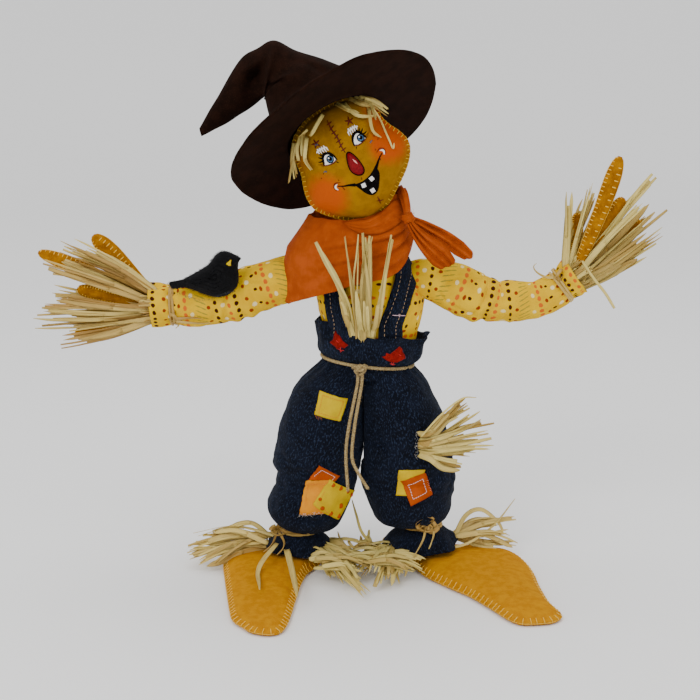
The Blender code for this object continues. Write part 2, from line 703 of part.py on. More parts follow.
def build_arm(side, upper, forearm):
    armature = (SHOULDER[side], ELBOW[side], WRIST[side][0] + WRIST[side][1].normalized() * 0.0150)
    sleeve = path_sections(UPPER_SLEEVE[side])
    lower = path_sections(FOREARM_SLEEVE[side])
    stuffed(f"{side}_upper_sleeve", sleeve, armature[:2], upper, PRINT)
    wire(f"{side}_upper_arm_wire", *armature[:2], upper)
    mouths = (armature[1] + (armature[2] - armature[1]) * 0.02, armature[2])
    place(loft(lower, bore=bore_rings(lower, mouths)), f"{side}_forearm_sleeve", forearm, PRINT)
    wire(f"{side}_forearm_wire", armature[1], armature[2], forearm)

    at, along, radius = WRIST[side]
    along = along.normalized()
    across = Vector((-along.z, 0, along.x))
    ring = oval(at, across * (radius + 0.0022), Vector((0, radius + 0.0022, 0)), 24)
    tube(f"{side}_wrist_tie", ring, TWINE_R, forearm, TWINE, closed=True)

    outline = bpy.data.curves.new("hand", "CURVE")
    outline.dimensions = "2D"
    outline.fill_mode = "BOTH"
    outline.extrude = 0.0022
    line = outline.splines.new("POLY")
    line.points.add(len(FINGERS[side]) - 1)
    for knot, (x, z) in zip(line.points, FINGERS[side]):
        knot.co = (x, z, 0, 1)
    line.use_cyclic_u = True
    flat = bpy.data.objects.new("hand", outline)
    PARTS.objects.link(flat)
    bpy.context.view_layer.update()
    mesh = bpy.data.meshes.new_from_object(flat.evaluated_get(bpy.context.evaluated_depsgraph_get()))
    bpy.data.objects.remove(flat)
    bm = bmesh.new()
    bm.from_mesh(mesh)
    bmesh.ops.remove_doubles(bm, verts=bm.verts, dist=0.00005)
    bm.to_mesh(mesh)
    bm.free()
    mesh.transform(Matrix.Translation((0, 0.0045, 0)) @ Matrix.Rotation(math.pi / 2, 4, "X"))
    place(mesh, f"{side}_hand", forearm, GOLD_FELT)
    fan(f"{side}_hand_straw", HAND_STRAW[side], forearm, -0.0070)


def build_crow(body):
    rings = [
        oval(Vector((x, -0.0225, z)), Vector((0, 0, tall)), Vector((0, wide, 0)), 14)
        for x, z, tall, wide in (
            (-0.1525, 0.2575, 0.0018, 0.0060), (-0.1420, 0.2610, 0.0038, 0.0075),
            (-0.1330, 0.2650, 0.0085, 0.0100), (-0.1230, 0.2685, 0.0125, 0.0120),
            (-0.1130, 0.2715, 0.0128, 0.0120), (-0.1060, 0.2750, 0.0102, 0.0102),
            (-0.1010, 0.2768, 0.0088, 0.0090), (-0.0965, 0.2772, 0.0056, 0.0056),
            (-0.0915, 0.2775, 0.0014, 0.0014),
        )
    ]
    place(loft(rings), "crow", body, (0.006, 0.006, 0.007))


def build_leg(side, thigh, shin, foot):
    sign = OUTWARD[side]
    upper = [(z, x, 0.0, w, d) for z, x, w, d in THIGH[side]]
    lower = [(z, x, 0.0, w, d) for z, x, w, d in SHIN[side]]
    sock = ANKLE[side]
    trouser = stuffed(f"{side}_trouser_thigh", level_sections(upper, 22), (HIP[side], KNEE[side]), thigh, DENIM)
    wire(f"{side}_thigh_wire", HIP[side] + (HIP[side] - KNEE[side]).normalized() * 0.0150, KNEE[side], thigh)
    calf = place(
        loft(level_sections(lower, 22), bore=bore_rings(level_sections(lower, 22), [KNEE[side], sock])),
        f"{side}_trouser_shin", shin, DENIM,
    )
    wire(f"{side}_shin_wire", KNEE[side], sock, shin)
    tie_z = ANKLE_TIE_Z[side]
    row = next(r for r in lower if abs(r[0] - tie_z) < 1e-6)
    ring = level_sections(((tie_z, row[1], 0.0, row[3] + 0.0034, row[4] + 0.0034),), 24)[0]
    tube(f"{side}_ankle_tie", ring, TWINE_R, shin, TWINE, closed=True)

    across, up = Vector((1, 0, 0)), Vector((0, 0, 1))
    knee_x, knee_z, wide, tall = KNEE_PATCHES[side]
    laid_sheet(
        f"{side}_knee_patches", surface_of(calf),
        face_grid(Vector((knee_x, -0.08, knee_z)), across, up, wide, tall, 6, 6),
        [-FRONT] * 6, PATCH, shin, ORANGE, lift=0.0012,
    )
    if side == "right":
        tip = math.radians(-14)
        laid_sheet(
            "right_thigh_patch", surface_of(trouser),
            face_grid(
                Vector((-0.0175, -0.08, 0.1440)),
                Vector((math.cos(tip), 0, math.sin(tip))), Vector((-math.sin(tip), 0, math.cos(tip))),
                0.0220, 0.0210,
            ),
            [-FRONT] * 6, PATCH, thigh, YELLOW,
        )
    else:
        fan("left_thigh_straw", (
            (0.0590, 0.1205, 0.0100, 0.0022), (0.0720, 0.1225, 0.0160, 0.0040),
            (0.0880, 0.1260, 0.0240, 0.0055), (0.1080, 0.1290, 0.0310, 0.0060),
            (0.1200, 0.1300, 0.0240, 0.0040),
        ), thigh, -0.0400, lean=-0.0025)

    build_foot(side, sign, foot)


def build_foot(side, sign, body):
    turn = Matrix.Rotation(FOOT_TURN[side], 4, "Z")
    half = list(FOOT_OUTLINE)
    outline = half + [(-x, y) for x, y in half[-2:0:-1]]
    middle = Vector((0, -0.055, 0))
    rings = []
    for scale, lift in ((0.90, None), (1.0, 0.0), (0.97, 0.45), (0.82, 0.82), (0.55, 0.97), (0.25, 1.0)):
        ring = []
        for x, y in outline:
            flat = middle + (Vector((x, y, 0)) - middle) * scale
            share = min(1, max(0, (0.02 - flat.y) / 0.17))
            tall = FOOT_HEIGHT + (TOE_HEIGHT - FOOT_HEIGHT) * share
            rim = 0.0045
            height = 0.0 if lift is None else rim + (tall - rim) * lift
            spot = turn @ Vector((flat.x + sign * FOOT_OFFSET, flat.y, 0))
            ring.append(Vector((ANKLE[side].x + spot.x, spot.y, height)))
        rings.append(ring)
    place(loft(rings), f"{side}_foot", body, GOLD_FELT)

    for name, table in ANKLE_STRAW[side].items():
        rings = [
            oval(Vector((x, y, z)), Vector((dx, dy, 0)), Vector((0, 0, tall)), 12)
            for x, y, z, dx, dy, tall in table
        ]
        place(loft(rings), name, body, STRAW)


PIVOTS = {}
clear_scene()
PARTS = new_collection("scarecrow_figure")
CUTTERS = new_collection("cutters")

figure = joint_empty("figure", Vector((0, 0, 0)))
figure.location = SHIFT
neck = joint_empty("neck_pivot", NECK, figure)
head_pivot = joint_empty("head_pivot", HEAD_PIVOT, neck)
build_torso(figure)
wire("neck_wire", NECK, HEAD_PIVOT, neck)
build_head(head_pivot)
for side in ("right", "left"):
    shoulder = joint_empty(f"{side}_shoulder_pivot", SHOULDER[side], figure)
    elbow = joint_empty(f"{side}_elbow_pivot", ELBOW[side], shoulder)
    build_arm(side, shoulder, elbow)
    if side == "right":
        build_crow(elbow)
    hip = joint_empty(f"{side}_hip_pivot", HIP[side], figure)
    knee = joint_empty(f"{side}_knee_pivot", KNEE[side], hip)
    ankle = joint_empty(f"{side}_ankle_pivot", ANKLE[side], knee)
    build_leg(side, hip, knee, ankle)
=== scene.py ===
"""Looks of the felt scarecrow figure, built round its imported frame.

Shapes are made in the figure's own coordinates, in metres: x to the viewer's right, the figure
facing -Y, z up. FIGURE moves them to the frame. right_ is the side at -X, and left_ at +X.
"""

import json
import math
import random

import bmesh
import bpy
import numpy as np
from mathutils import Euler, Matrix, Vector, noise
from mathutils.bvhtree import BVHTree


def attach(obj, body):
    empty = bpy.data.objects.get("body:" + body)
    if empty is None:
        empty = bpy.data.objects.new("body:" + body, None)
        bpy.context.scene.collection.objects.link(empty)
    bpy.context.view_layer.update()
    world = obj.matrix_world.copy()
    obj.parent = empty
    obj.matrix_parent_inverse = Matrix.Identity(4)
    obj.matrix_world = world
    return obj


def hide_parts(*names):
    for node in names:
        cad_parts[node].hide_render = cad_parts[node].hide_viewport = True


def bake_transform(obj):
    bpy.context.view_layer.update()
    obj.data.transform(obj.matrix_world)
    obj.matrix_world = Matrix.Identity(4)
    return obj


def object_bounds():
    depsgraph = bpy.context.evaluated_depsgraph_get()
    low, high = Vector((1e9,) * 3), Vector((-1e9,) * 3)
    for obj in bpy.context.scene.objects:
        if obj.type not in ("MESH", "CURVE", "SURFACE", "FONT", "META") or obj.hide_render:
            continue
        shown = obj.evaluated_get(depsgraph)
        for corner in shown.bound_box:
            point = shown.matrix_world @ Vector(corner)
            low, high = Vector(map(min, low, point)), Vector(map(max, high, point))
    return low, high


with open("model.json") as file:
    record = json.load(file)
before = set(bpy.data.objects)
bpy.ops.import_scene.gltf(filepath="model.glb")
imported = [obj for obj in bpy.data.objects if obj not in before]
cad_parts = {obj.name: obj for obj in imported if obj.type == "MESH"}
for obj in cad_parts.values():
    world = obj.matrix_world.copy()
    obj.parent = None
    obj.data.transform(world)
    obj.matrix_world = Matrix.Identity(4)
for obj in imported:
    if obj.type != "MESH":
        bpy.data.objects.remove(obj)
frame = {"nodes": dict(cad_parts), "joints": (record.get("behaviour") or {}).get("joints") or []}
CAD_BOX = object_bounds()
NECK = Vector((0.0040, -0.0160, 0.3000))
FIGURE = Vector(next(j for j in frame["joints"] if j["name"] == "neck_turn")["pos_m"]) - NECK
FRONT = np.array((0.0, -1.0, 0.0))
FAR_AHEAD = 0.30  # where rays that are cast at the figure's front start
SUNK = 0.0002  # how far the edge of a painted mark goes into what it is painted on
RAFFIA_THICK = 0.00038
THREAD_SIDES = 6
FUZZ_R = 0.00007
COTTON_THREAD = 0.00042

# ------------------------------------------------------------------ camera
camera = bpy.data.objects.new("camera", bpy.data.cameras.new("camera"))
camera.data.sensor_width = 36.0
camera.data.lens = 73.03
camera.data.clip_start = 0.01
camera.location = FIGURE + Vector((0, -1.2, 0.45))
camera.rotation_euler = Euler((math.radians(78), 0, 0))
bpy.context.scene.collection.objects.link(camera)
bpy.context.scene.camera = camera


# ------------------------------------------------------------------ shapes
def unit(v):
    v = np.asarray(v, float)
    return v / max(np.linalg.norm(v), 1e-12)


def vec(*v):
    return np.array(v, float)


def circle(count):
    """Angles evenly spread round a full turn."""
    return np.linspace(0, 2 * math.pi, count, endpoint=False)


def hump(off, width):
    """1 at off 0, falling smoothly to nothing on both sides."""
    return math.exp(-((off / width) ** 2))


def scatter(rng):
    """A point somewhere in a cube from -1 to 1."""
    return vec(rng.uniform(-1, 1), rng.uniform(-1, 1), rng.uniform(-1, 1))


def run(path):
    """How far along a path each of its points is."""
    return np.concatenate(((0,), np.cumsum(np.linalg.norm(np.diff(path, axis=0), axis=1))))


def spread(line, count, closed=False):
    """Points evenly spread along a line; a closed line's last point, which is its first, is left out."""
    far = run(line)
    at = np.linspace(0, far[-1], count + 1 if closed else count)
    if closed:
        at = at[:-1]
    return np.stack([np.interp(at, far, line[:, k]) for k in range(line.shape[1])], axis=1)


def smooth(points, count, closed=False):
    """Points evenly spread along a Catmull-Rom curve through a route of any dimension."""
    p = np.asarray(points, float)
    if closed:
        p = np.vstack((p[-1], p, p[0], p[1]))
    else:
        p = np.vstack((2 * p[0] - p[1], p, 2 * p[-1] - p[-2]))
    t = np.linspace(0, 1, 13)[:-1, None]
    runs = [
        (2 * b + (c - a) * t + (2 * a - 5 * b + 4 * c - d) * t**2 + (3 * b - a - 3 * c + d) * t**3) / 2
        for a, b, c, d in zip(p, p[1:], p[2:], p[3:])
    ]
    return spread(np.vstack((*runs, p[-2])), count, closed)


def through(rows, count):
    """Rows of numbers in between, on a curve through the given rows, spread by row and not by length."""
    p = np.asarray(rows, float)
    p = np.vstack((2 * p[0] - p[1], p, 2 * p[-1] - p[-2]))
    made = []
    for s in np.linspace(0, len(rows) - 1, count):
        i = min(int(s), len(rows) - 2)
        t = s - i
        a, b, c, d = p[i:i + 4]
        made.append((2 * b + (c - a) * t + (2 * a - 5 * b + 4 * c - d) * t**2 + (3 * b - a - 3 * c + d) * t**3) / 2)
    return np.array(made)


def wobble(p, scale, seed=0.0):
    """Smooth noise from about -1 to 1 at a point, with features about 1/scale across."""
    return noise.noise(Vector((p[0] * scale + seed * 7.3, p[1] * scale - seed * 3.1, p[2] * scale + seed * 1.7)))


class Shape:
    """Points, faces and UVs in metres, gathered before they become one mesh."""

    def __init__(self):
        self.points = []
        self.faces = []
        self.uvs = []
        self.tones = []
        self.count = 0

    def add(self, points, faces, uvs, tone=0.5):
        points = np.asarray(points, float).reshape(-1, 3)
        start = self.count
        self.points.append(points)
        self.faces += [tuple(start + i for i in face) for face in faces]
        self.uvs += uvs
        self.tones.append(np.full(len(points), tone) if np.isscalar(tone) else np.asarray(tone, float))
        self.count += len(points)
        return self

    def net(self, rows, closed=True, caps=(False, False), tone=0.5, uv_at=(0.0, 0.0)):
        """A surface through rows of points; closed joins each row's ends, and caps close the net's."""
        rows = np.asarray(rows, float)
        count, across = rows.shape[:2]
        around = across if closed else across - 1
        ring = np.concatenate((rows, rows[:, :1]), axis=1) if closed else rows
        step = np.linalg.norm(np.diff(ring, axis=1), axis=2).sum(1).mean() / around
        ups = np.linalg.norm(np.diff(rows, axis=0), axis=2).mean(1)
        v = np.concatenate(((0,), np.cumsum(ups))) + uv_at[1]
        u = np.arange(around + 1) * step + uv_at[0]
        faces = []
        uvs = []
        for r in range(count - 1):
            for c in range(around):
                d = (c + 1) % across
                face = (r * across + c, r * across + d, (r + 1) * across + d, (r + 1) * across + c)
                corner = ((u[c], v[r]), (u[c + 1], v[r]), (u[c + 1], v[r + 1]), (u[c], v[r + 1]))
                faces.append(face)
                uvs.append(corner)
        for cap, r in zip(caps, (0, count - 1)):
            if cap:
                faces.append(tuple(r * across + c for c in range(across)))
                uvs.append(tuple((u[c], v[r]) for c in range(across)))
        return self.add(rows, faces, uvs, tone)

    def slab(self, top, bottom):
        """A thin closed piece between two grids of points of the same size."""
        return self.net([np.vstack((a, b[::-1])) for a, b in zip(top, bottom)], caps=(True, True))

    def all(self):
        return np.concatenate(self.points)


class Skin:
    """A surface that other pieces are laid on by casting rays at it."""

    def __init__(self, shape):
        self.tree = BVHTree.FromPolygons(shape.all().tolist(), shape.faces)

    def cast(self, start, aim, lift=0.0):
        """Where a ray meets the surface, or the nearest place to its start, raised by lift."""
        spot, side = self.tree.ray_cast(Vector(start), Vector(aim))[:2]
        if spot is None:
            spot, side = self.tree.find_nearest(Vector(start))[:2]
        if side.dot(Vector(aim)) >= 0:
            side = -side
        return np.array(spot + side * lift)

    def front(self, x, z, lift=0.0):
        return self.cast((x, -FAR_AHEAD, z), (0, 1, 0), lift)


def from_front(u, v):
    """The ray that lays a point of a flat outline on what faces the viewer."""
    return vec(u, -FAR_AHEAD, v), vec(0, 1, 0)


def emit(name, shape, look, body=None, blend=None, replaces=(), slot=None, thick=0.0, offset=1.0, outward=True):
    """A mesh object of a shape, with its rest place kept for its material, carried by its body; given a blend, it is
    left in place and carried by nothing.
    """
    mesh = bpy.data.meshes.new(name)
    points = shape.all()
    mesh.from_pydata((points + np.array(FIGURE)).tolist(), [], shape.faces)
    layer = mesh.uv_layers.new(name="cloth")
    layer.data.foreach_set("uv", np.array([c for face in shape.uvs for uv in face for c in uv], np.float32))
    mesh.attributes.new("rest", "FLOAT_VECTOR", "POINT").data.foreach_set("vector", points.astype(np.float32).ravel())
    mesh.attributes.new("tone", "FLOAT", "POINT").data.foreach_set(
        "value", np.concatenate(shape.tones).astype(np.float32),
    )
    if outward:
        bm = bmesh.new()
        bm.from_mesh(mesh)
        bmesh.ops.recalc_face_normals(bm, faces=bm.faces)
        bm.to_mesh(mesh)
        bm.free()
    mesh.shade_smooth()
    mesh.materials.append(look)
    made = bpy.data.objects.new(name, mesh)
    bpy.context.scene.collection.objects.link(made)
    if thick:
        step = made.modifiers.new("thickness", "SOLIDIFY")
        step.thickness = thick
        step.offset = offset
        step.use_even_offset = False
        bpy.context.view_layer.update()
        seen = bpy.data.meshes.new_from_object(made.evaluated_get(bpy.context.evaluated_depsgraph_get()))
        made.modifiers.clear()
        made.data = seen
        seen.name = name
    if blend:
        tuple(FIGURE + Vector(blend[2]))
        tuple(FIGURE + Vector(blend[3]))
        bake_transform(made)
    else:
        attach(made, body)
    if replaces:
        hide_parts(*replaces)
    return made


def frames(path, facing):
    """Along, side and face directions at each point of a path; facing is one direction or one for each point."""
    along = np.gradient(path, axis=0)
    along /= np.maximum(np.linalg.norm(along, axis=1), 1e-12)[:, None]
    facing = np.broadcast_to(np.asarray(facing, float), path.shape)
    side = np.cross(along, facing)
    side /= np.maximum(np.linalg.norm(side, axis=1), 1e-9)[:, None]
    face = np.cross(side, along)
    return along, side, face


def ribbon(shape, path, width, facing, tone=0.5, twist=0.0, curl=0.25, ends=(0.6, 0.15), start_twist=0.0):
    """A flat strand of raffia, a little hollow across, with narrowed ends."""
    path = np.asarray(path, float)
    _, side, face = frames(path, facing)
    count = len(path)
    t = np.linspace(0, 1, count)
    grow = np.minimum(1, ends[0] + (1 - ends[0]) * np.minimum(1, t / 0.12))
    fade = np.minimum(1, ends[1] + (1 - ends[1]) * np.minimum(1, (1 - t) / 0.22) ** 0.7)
    half = width / 2 * grow * fade
    turn = start_twist + twist * t
    across = side * np.cos(turn)[:, None] + face * np.sin(turn)[:, None]
    up = face * np.cos(turn)[:, None] - side * np.sin(turn)[:, None]
    section = ((-1, 0), (-0.5, 1), (0.5, 1), (1, 0), (0.5, -1), (-0.5, -1))
    rows = []
    for i in range(count):
        rows.append([
            path[i] + across[i] * (s * half[i]) + up[i] * (h * RAFFIA_THICK / 2 + curl * half[i] * s * s)
            for s, h in section
        ])
    shape.net(rows, caps=(True, True), tone=tone, uv_at=(tone * 3.1, tone * 1.7))


def thread(shape, points, radius, facing=(0.13, -1, 0.21)):
    """A round thread along a path."""
    path = np.asarray(points, float)
    _, side, face = frames(path, facing)
    rows = []
    for i, p in enumerate(path):
        rows.append([p + (side[i] * math.cos(a) + face[i] * math.sin(a)) * radius for a in circle(THREAD_SIDES)])
    shape.net(rows, caps=(True, True))


def twine(shape, path, radius, axis, closed=False, pitch=0.0085, plies=3, tone=0.5, around=15):
    """Twisted cord: a lobed section that turns as it goes along."""
    path = np.asarray(path, float)
    if closed:
        whole = np.vstack((path[-1], path, path[0]))
        _, side, face = frames(whole, axis)
        side, face = side[1:-1], face[1:-1]
    else:
        _, side, face = frames(path, axis)
    far = run(path)
    length = far[-1] + (np.linalg.norm(path[0] - path[-1]) if closed else 0)
    turns = max(1, round(length / pitch)) if closed else length / pitch
    angles = circle(around)
    rows = []
    for i, p in enumerate(path):
        spin = 2 * math.pi * turns * far[i] / length
        ring = []
        for a in angles:
            lobe = abs(math.cos((a - spin) * plies / 2)) ** 0.7
            r = radius * (0.74 + 0.30 * lobe) * (1 + 0.05 * wobble(p, 900, a))
            ring.append(p + (side[i] * math.cos(a) + face[i] * math.sin(a)) * r)
        rows.append(ring)
    if closed:
        rows.append(rows[0])
        shape.net(rows, tone=tone)
    else:
        shape.net(rows, caps=(True, True), tone=tone)


def hair(shape, start, way, length, radius, tone=0.5, bend=None):
    """One fibre: a pointed sliver that may bend."""
    start = np.asarray(start, float)
    way = unit(way)
    side = unit(np.cross(way, (0.31, 0.27, 0.91)))
    face = np.cross(side, way)
    ring = [start + (side * math.cos(a) + face * math.sin(a)) * radius for a in (0.0, 2.1, 4.2)]
    tip = start + way * length + (np.asarray(bend, float) if bend is not None else 0)
    if bend is None:
        points = [*ring, tip]
        faces = [(0, 1, 3), (1, 2, 3), (2, 0, 3), (2, 1, 0)]
    else:
        middle = start + way * length * 0.55 + np.asarray(bend, float) * 0.25
        ring2 = [middle + (side * math.cos(a) + face * math.sin(a)) * radius * 0.8 for a in (0.0, 2.1, 4.2)]
        points = [*ring, *ring2, tip]
        faces = [(0, 1, 4, 3), (1, 2, 5, 4), (2, 0, 3, 5), (3, 4, 6), (4, 5, 6), (5, 3, 6), (2, 1, 0)]
    uvs = [tuple((0.001 * k, 0.001 * len(f)) for k in range(len(f))) for f in faces]
    shape.add(points, faces, uvs, tone)


def fuzz(shape, path, radius, count, length, seed):
    """Loose fibres standing off a cord."""
    rng = random.Random(seed)
    path = np.asarray(path, float)
    along, side, face = frames(path, (0.2, 0.9, 0.3))
    for _ in range(count):
        i = rng.randrange(len(path) - 1)
        a = rng.uniform(0, 2 * math.pi)
        out = side[i] * math.cos(a) + face[i] * math.sin(a)
        way = out + along[i] * rng.uniform(-1.6, 1.6)
        hair(
            shape, path[i] + out * radius * 0.8, way, length * rng.uniform(0.4, 1.0), FUZZ_R,
            0.5 + rng.uniform(-0.2, 0.2), bend=along[i] * length * rng.uniform(-0.4, 0.4),
        )


def blob(shape, skin, place, outline, lift, thick=0.00025, count=40, sharp=False):
    """A flat piece of any star-shaped outline laid on a surface. place turns an outline point to a ray."""
    flat = np.asarray(outline, float)
    flat = spread(np.vstack((flat, flat[0])), count, True) if sharp else smooth(flat, count, True)
    middle = flat.mean(0)
    rows = []
    for scale, height in ((1.0, -SUNK), (1.0, thick * 0.55), (0.92, thick), (0.6, thick), (0.25, thick)):
        rows.append([skin.cast(*place(u, v), lift + height) for u, v in middle + (flat - middle) * scale])
    shape.net(rows, caps=(True, True))


def stroke(shape, skin, place, points, widths, lift, thick=0.00022, count=None):
    """A painted line of changing width laid on a surface."""
    flat = np.asarray(points, float)
    count = count or max(8, int(len(flat) * 8))
    line = smooth(flat, count) if len(flat) > 2 else np.linspace(flat[0], flat[-1], count)
    wide = np.interp(np.linspace(0, 1, count), np.linspace(0, 1, len(widths)), widths)
    way = np.gradient(line, axis=0)
    way /= np.maximum(np.linalg.norm(way, axis=1), 1e-12)[:, None]
    side = np.stack((-way[:, 1], way[:, 0]), axis=1)
    section = (
        (-0.5, -SUNK), (-0.5, thick * 0.4), (-0.25, thick), (0.25, thick), (0.5, thick * 0.4), (0.5, -SUNK),
    )
    rows = []
    for p, s, w in zip(line, side, wide):
        rows.append([skin.cast(*place(*(p + s * w * share)), lift + height) for share, height in section])
    shape.net(rows, caps=(True, True))


# ------------------------------------------------------------------ materials
class Look:
    """A material's nodes, made and joined by short calls."""

    def __init__(self, name, roughness=0.9, sheen=0.0, specular=0.3, metallic=0.0, tint=(1, 1, 1)):
        self.material = bpy.data.materials.new(name)
        self.material.use_nodes = True
        self.tree = self.material.node_tree
        self.shader = self.tree.nodes["Principled BSDF"]
        self.shader.inputs["Roughness"].default_value = roughness
        self.shader.inputs["Metallic"].default_value = metallic
        self.shader.inputs["Specular IOR Level"].default_value = specular
        if sheen:
            self.shader.inputs["Sheen Weight"].default_value = sheen
            self.shader.inputs["Sheen Roughness"].default_value = 0.5
            self.shader.inputs["Sheen Tint"].default_value = (*tint, 1)
        self.place = self.node("ShaderNodeAttribute", attribute_name="rest").outputs["Vector"]
        self.tone = self.node("ShaderNodeAttribute", attribute_name="tone").outputs["Fac"]
        self.uv = self.node("ShaderNodeUVMap", uv_map="cloth").outputs["UV"]

    def node(self, kind, inputs=None, **settings):
        made = self.tree.nodes.new(kind)
        for key, value in settings.items():
            setattr(made, key, value)
        for key, value in (inputs or {}).items():
            self.put(made.inputs[key], value)
        return made

    def put(self, socket, value):
        if isinstance(value, bpy.types.NodeSocket):
            self.tree.links.new(value, socket)
        elif isinstance(value, (tuple, list)) and socket.type == "RGBA" and len(value) == 3:
            socket.default_value = (*value, 1)
        else:
            socket.default_value = value

    def noise(self, scale, detail=3.0, vector=None, stretch=None, seed=0.0, color=False):
        vector = vector or self.place
        if stretch or seed:
            vector = self.node(
                "ShaderNodeMapping",
                {"Vector": vector, "Scale": stretch or (1, 1, 1), "Location": (seed, seed * 0.7, 0)}
            ).outputs["Vector"]
        made = self.node(
            "ShaderNodeTexNoise", {"Vector": vector, "Scale": scale, "Detail": detail, "Roughness": 0.55}
        )
        return made.outputs["Color" if color else "Fac"]

    def ramp(self, value, low, high, to=(0.0, 1.0)):
        return self.node(
            "ShaderNodeMapRange",
            {"Value": value, "From Min": low, "From Max": high, "To Min": to[0], "To Max": to[1]},
            interpolation_type="SMOOTHSTEP", clamp=True,
        ).outputs["Result"]

    def math(self, kind, a, b=0.0):
        made = self.node("ShaderNodeMath", operation=kind)
        self.put(made.inputs[0], a)
        self.put(made.inputs[1], b)
        return made.outputs[0]

    def plus(self, a, b):
        return self.math("ADD", a, b)

    def minus(self, a, b):
        return self.math("SUBTRACT", a, b)

    def times(self, a, b):
        return self.math("MULTIPLY", a, b)

    def far(self, x, y):
        """The length of x, y."""
        return self.math("SQRT", self.plus(self.times(x, x), self.times(y, y)))

    def mix(self, share, a, b):
        """Colour a, with a share of colour b over it."""
        made = self.node("ShaderNodeMix", data_type="RGBA")
        self.put(made.inputs[0], share)
        self.put(made.inputs[6], a)
        self.put(made.inputs[7], b)
        return made.outputs[2]

    def split(self, vector):
        made = self.node("ShaderNodeSeparateXYZ", {"Vector": vector})
        return made.outputs

    def uv_scaled(self, across, along):
        """The cloth's UVs, scaled so that one turn of noise is 1/across by 1/along."""
        return self.node("ShaderNodeMapping", {"Vector": self.uv, "Scale": (across, along, 1)}).outputs["Vector"]

    def bump(self, height, distance, strength=1.0):
        made = self.node("ShaderNodeBump", {"Height": height, "Distance": distance, "Strength": strength})
        return made.outputs["Normal"]

    def done(self, color, normal=None):
        self.put(self.shader.inputs["Base Color"], color)
        if normal:
            self.put(self.shader.inputs["Normal"], normal)
        return self.material


def srgb(*color):
    return tuple(c / 12.92 if c <= 0.04045 else ((c + 0.055) / 1.055) ** 2.4 for c in color)


def felt_bump(look):
    fine = look.noise(2600, 2.0)
    fibres = look.noise(900, 3.0, stretch=(1, 1, 2.4))
    return look.bump(look.plus(fine, fibres), 0.00035, 0.55)


def felt(name, color, deep, light, sheen=0.05, mottle=150):
    look = Look(name, roughness=0.96, sheen=sheen, specular=0.05, tint=light)
    base = look.mix(look.ramp(look.noise(mottle, 4.0), 0.34, 0.68), deep, color)
    fleck = look.ramp(look.noise(1100, 3.0, stretch=(1, 1.6, 0.7)), 0.52, 0.74)
    base = look.mix(look.times(fleck, 0.35), base, light)
    return look.done(base, felt_bump(look))


def face_felt():
    """Mustard felt, rubbed with orange red on the cheeks, with painted shade near the hair: orange red at the temples
    and brown at the top of the forehead.
    """
    look = Look("face_felt", roughness=0.95, sheen=0.03, specular=0.05, tint=(0.9, 0.6, 0.2))
    base = look.mix(look.ramp(look.noise(130, 4.0), 0.35, 0.68), srgb(0.535, 0.365, 0.0), srgb(0.60, 0.42, 0.02))
    fleck = look.ramp(look.noise(1200, 3.0, stretch=(1, 1.4, 0.8)), 0.54, 0.76)
    base = look.mix(look.times(fleck, 0.24), base, srgb(0.70, 0.53, 0.06))
    u, v, _ = look.split(look.node("ShaderNodeUVMap", uv_map="face").outputs["UV"])
    ragged = look.times(look.minus(look.noise(230, 4.0, seed=2.0), 0.5), 0.0065)

    # cheek blush, then painted shade near the hair: u, v, full and outer reach, strength, colour, and how far each is
    # stretched along v
    for at_u, at_v, near, outer, strength, color, squeeze in (
        (-0.0315, -0.0145, 0.0085, 0.0225, 0.97, srgb(0.71, 0.29, 0.03), 0.9),
        (0.0325, -0.0015, 0.0085, 0.0215, 0.97, srgb(0.70, 0.28, 0.03), 0.95),
        # the last three are painted shade near the hair, at the temples and the top of the forehead
        (0.0365, 0.0230, 0.0050, 0.0130, 0.90, srgb(0.64, 0.25, 0.04), 0.6),
        (-0.0370, 0.0240, 0.0030, 0.0110, 0.65, srgb(0.52, 0.27, 0.05), 0.6),
        (-0.0040, 0.0400, 0.0020, 0.0130, 0.45, srgb(0.44, 0.26, 0.02), 0.8),
    ):
        far = look.far(look.minus(u, at_u), look.times(look.minus(v, at_v), squeeze))
        base = look.mix(look.ramp(look.plus(far, ragged), near, outer, (strength, 0.0)), base, color)
    return look.done(base, felt_bump(look))


def paint(name, color, other, roughness=0.55, scale=700, specular=0.15):
    """Hobby paint on cloth: a little uneven, with the cloth's fibres under it."""
    look = Look(name, roughness=roughness, specular=specular)
    base = look.mix(look.ramp(look.noise(scale, 3.0), 0.35, 0.68), color, other)
    return look.done(base, look.bump(look.noise(2400, 2.0), 0.0001, 0.5))


def thread_paint(name, color, other):
    return paint(name, color, other, 0.8, 1500)


TWILL_STEP = 0.00125


def denim():
    """Dark indigo twill with pale weft specks along the diagonal."""
    look = Look("denim", roughness=0.92, sheen=0.04, specular=0.10, tint=(0.45, 0.55, 0.8))
    u, v, _ = look.split(look.uv)
    twill = look.math("SINE", look.times(look.plus(u, look.times(v, 1.35)), 2 * math.pi / TWILL_STEP))
    twill = look.plus(look.times(twill, 0.5), 0.5)
    turned = look.node(
        "ShaderNodeMapping", {"Vector": look.uv, "Rotation": (0, 0, math.radians(36.5)), "Scale": (900, 380, 1)},
    )
    speck = look.noise(1.0, 2.0, vector=turned.outputs["Vector"])
    base = look.mix(look.ramp(look.noise(70, 5.0), 0.3, 0.7), srgb(0.022, 0.034, 0.070), srgb(0.046, 0.067, 0.118))
    base = look.mix(look.times(look.ramp(speck, 0.50, 0.70), look.times(twill, 0.66)), base, srgb(0.24, 0.30, 0.43))
    slub = look.ramp(look.noise(1.0, 3.0, vector=look.uv_scaled(1500, 60)), 0.56, 0.78)
    base = look.mix(look.times(slub, 0.30), base, srgb(0.22, 0.26, 0.34))
    wool = look.noise(1700, 2.0)
    height = look.plus(look.times(twill, 0.7), look.times(wool, 0.6))
    return look.done(base, look.bump(height, 0.00030, 0.8))


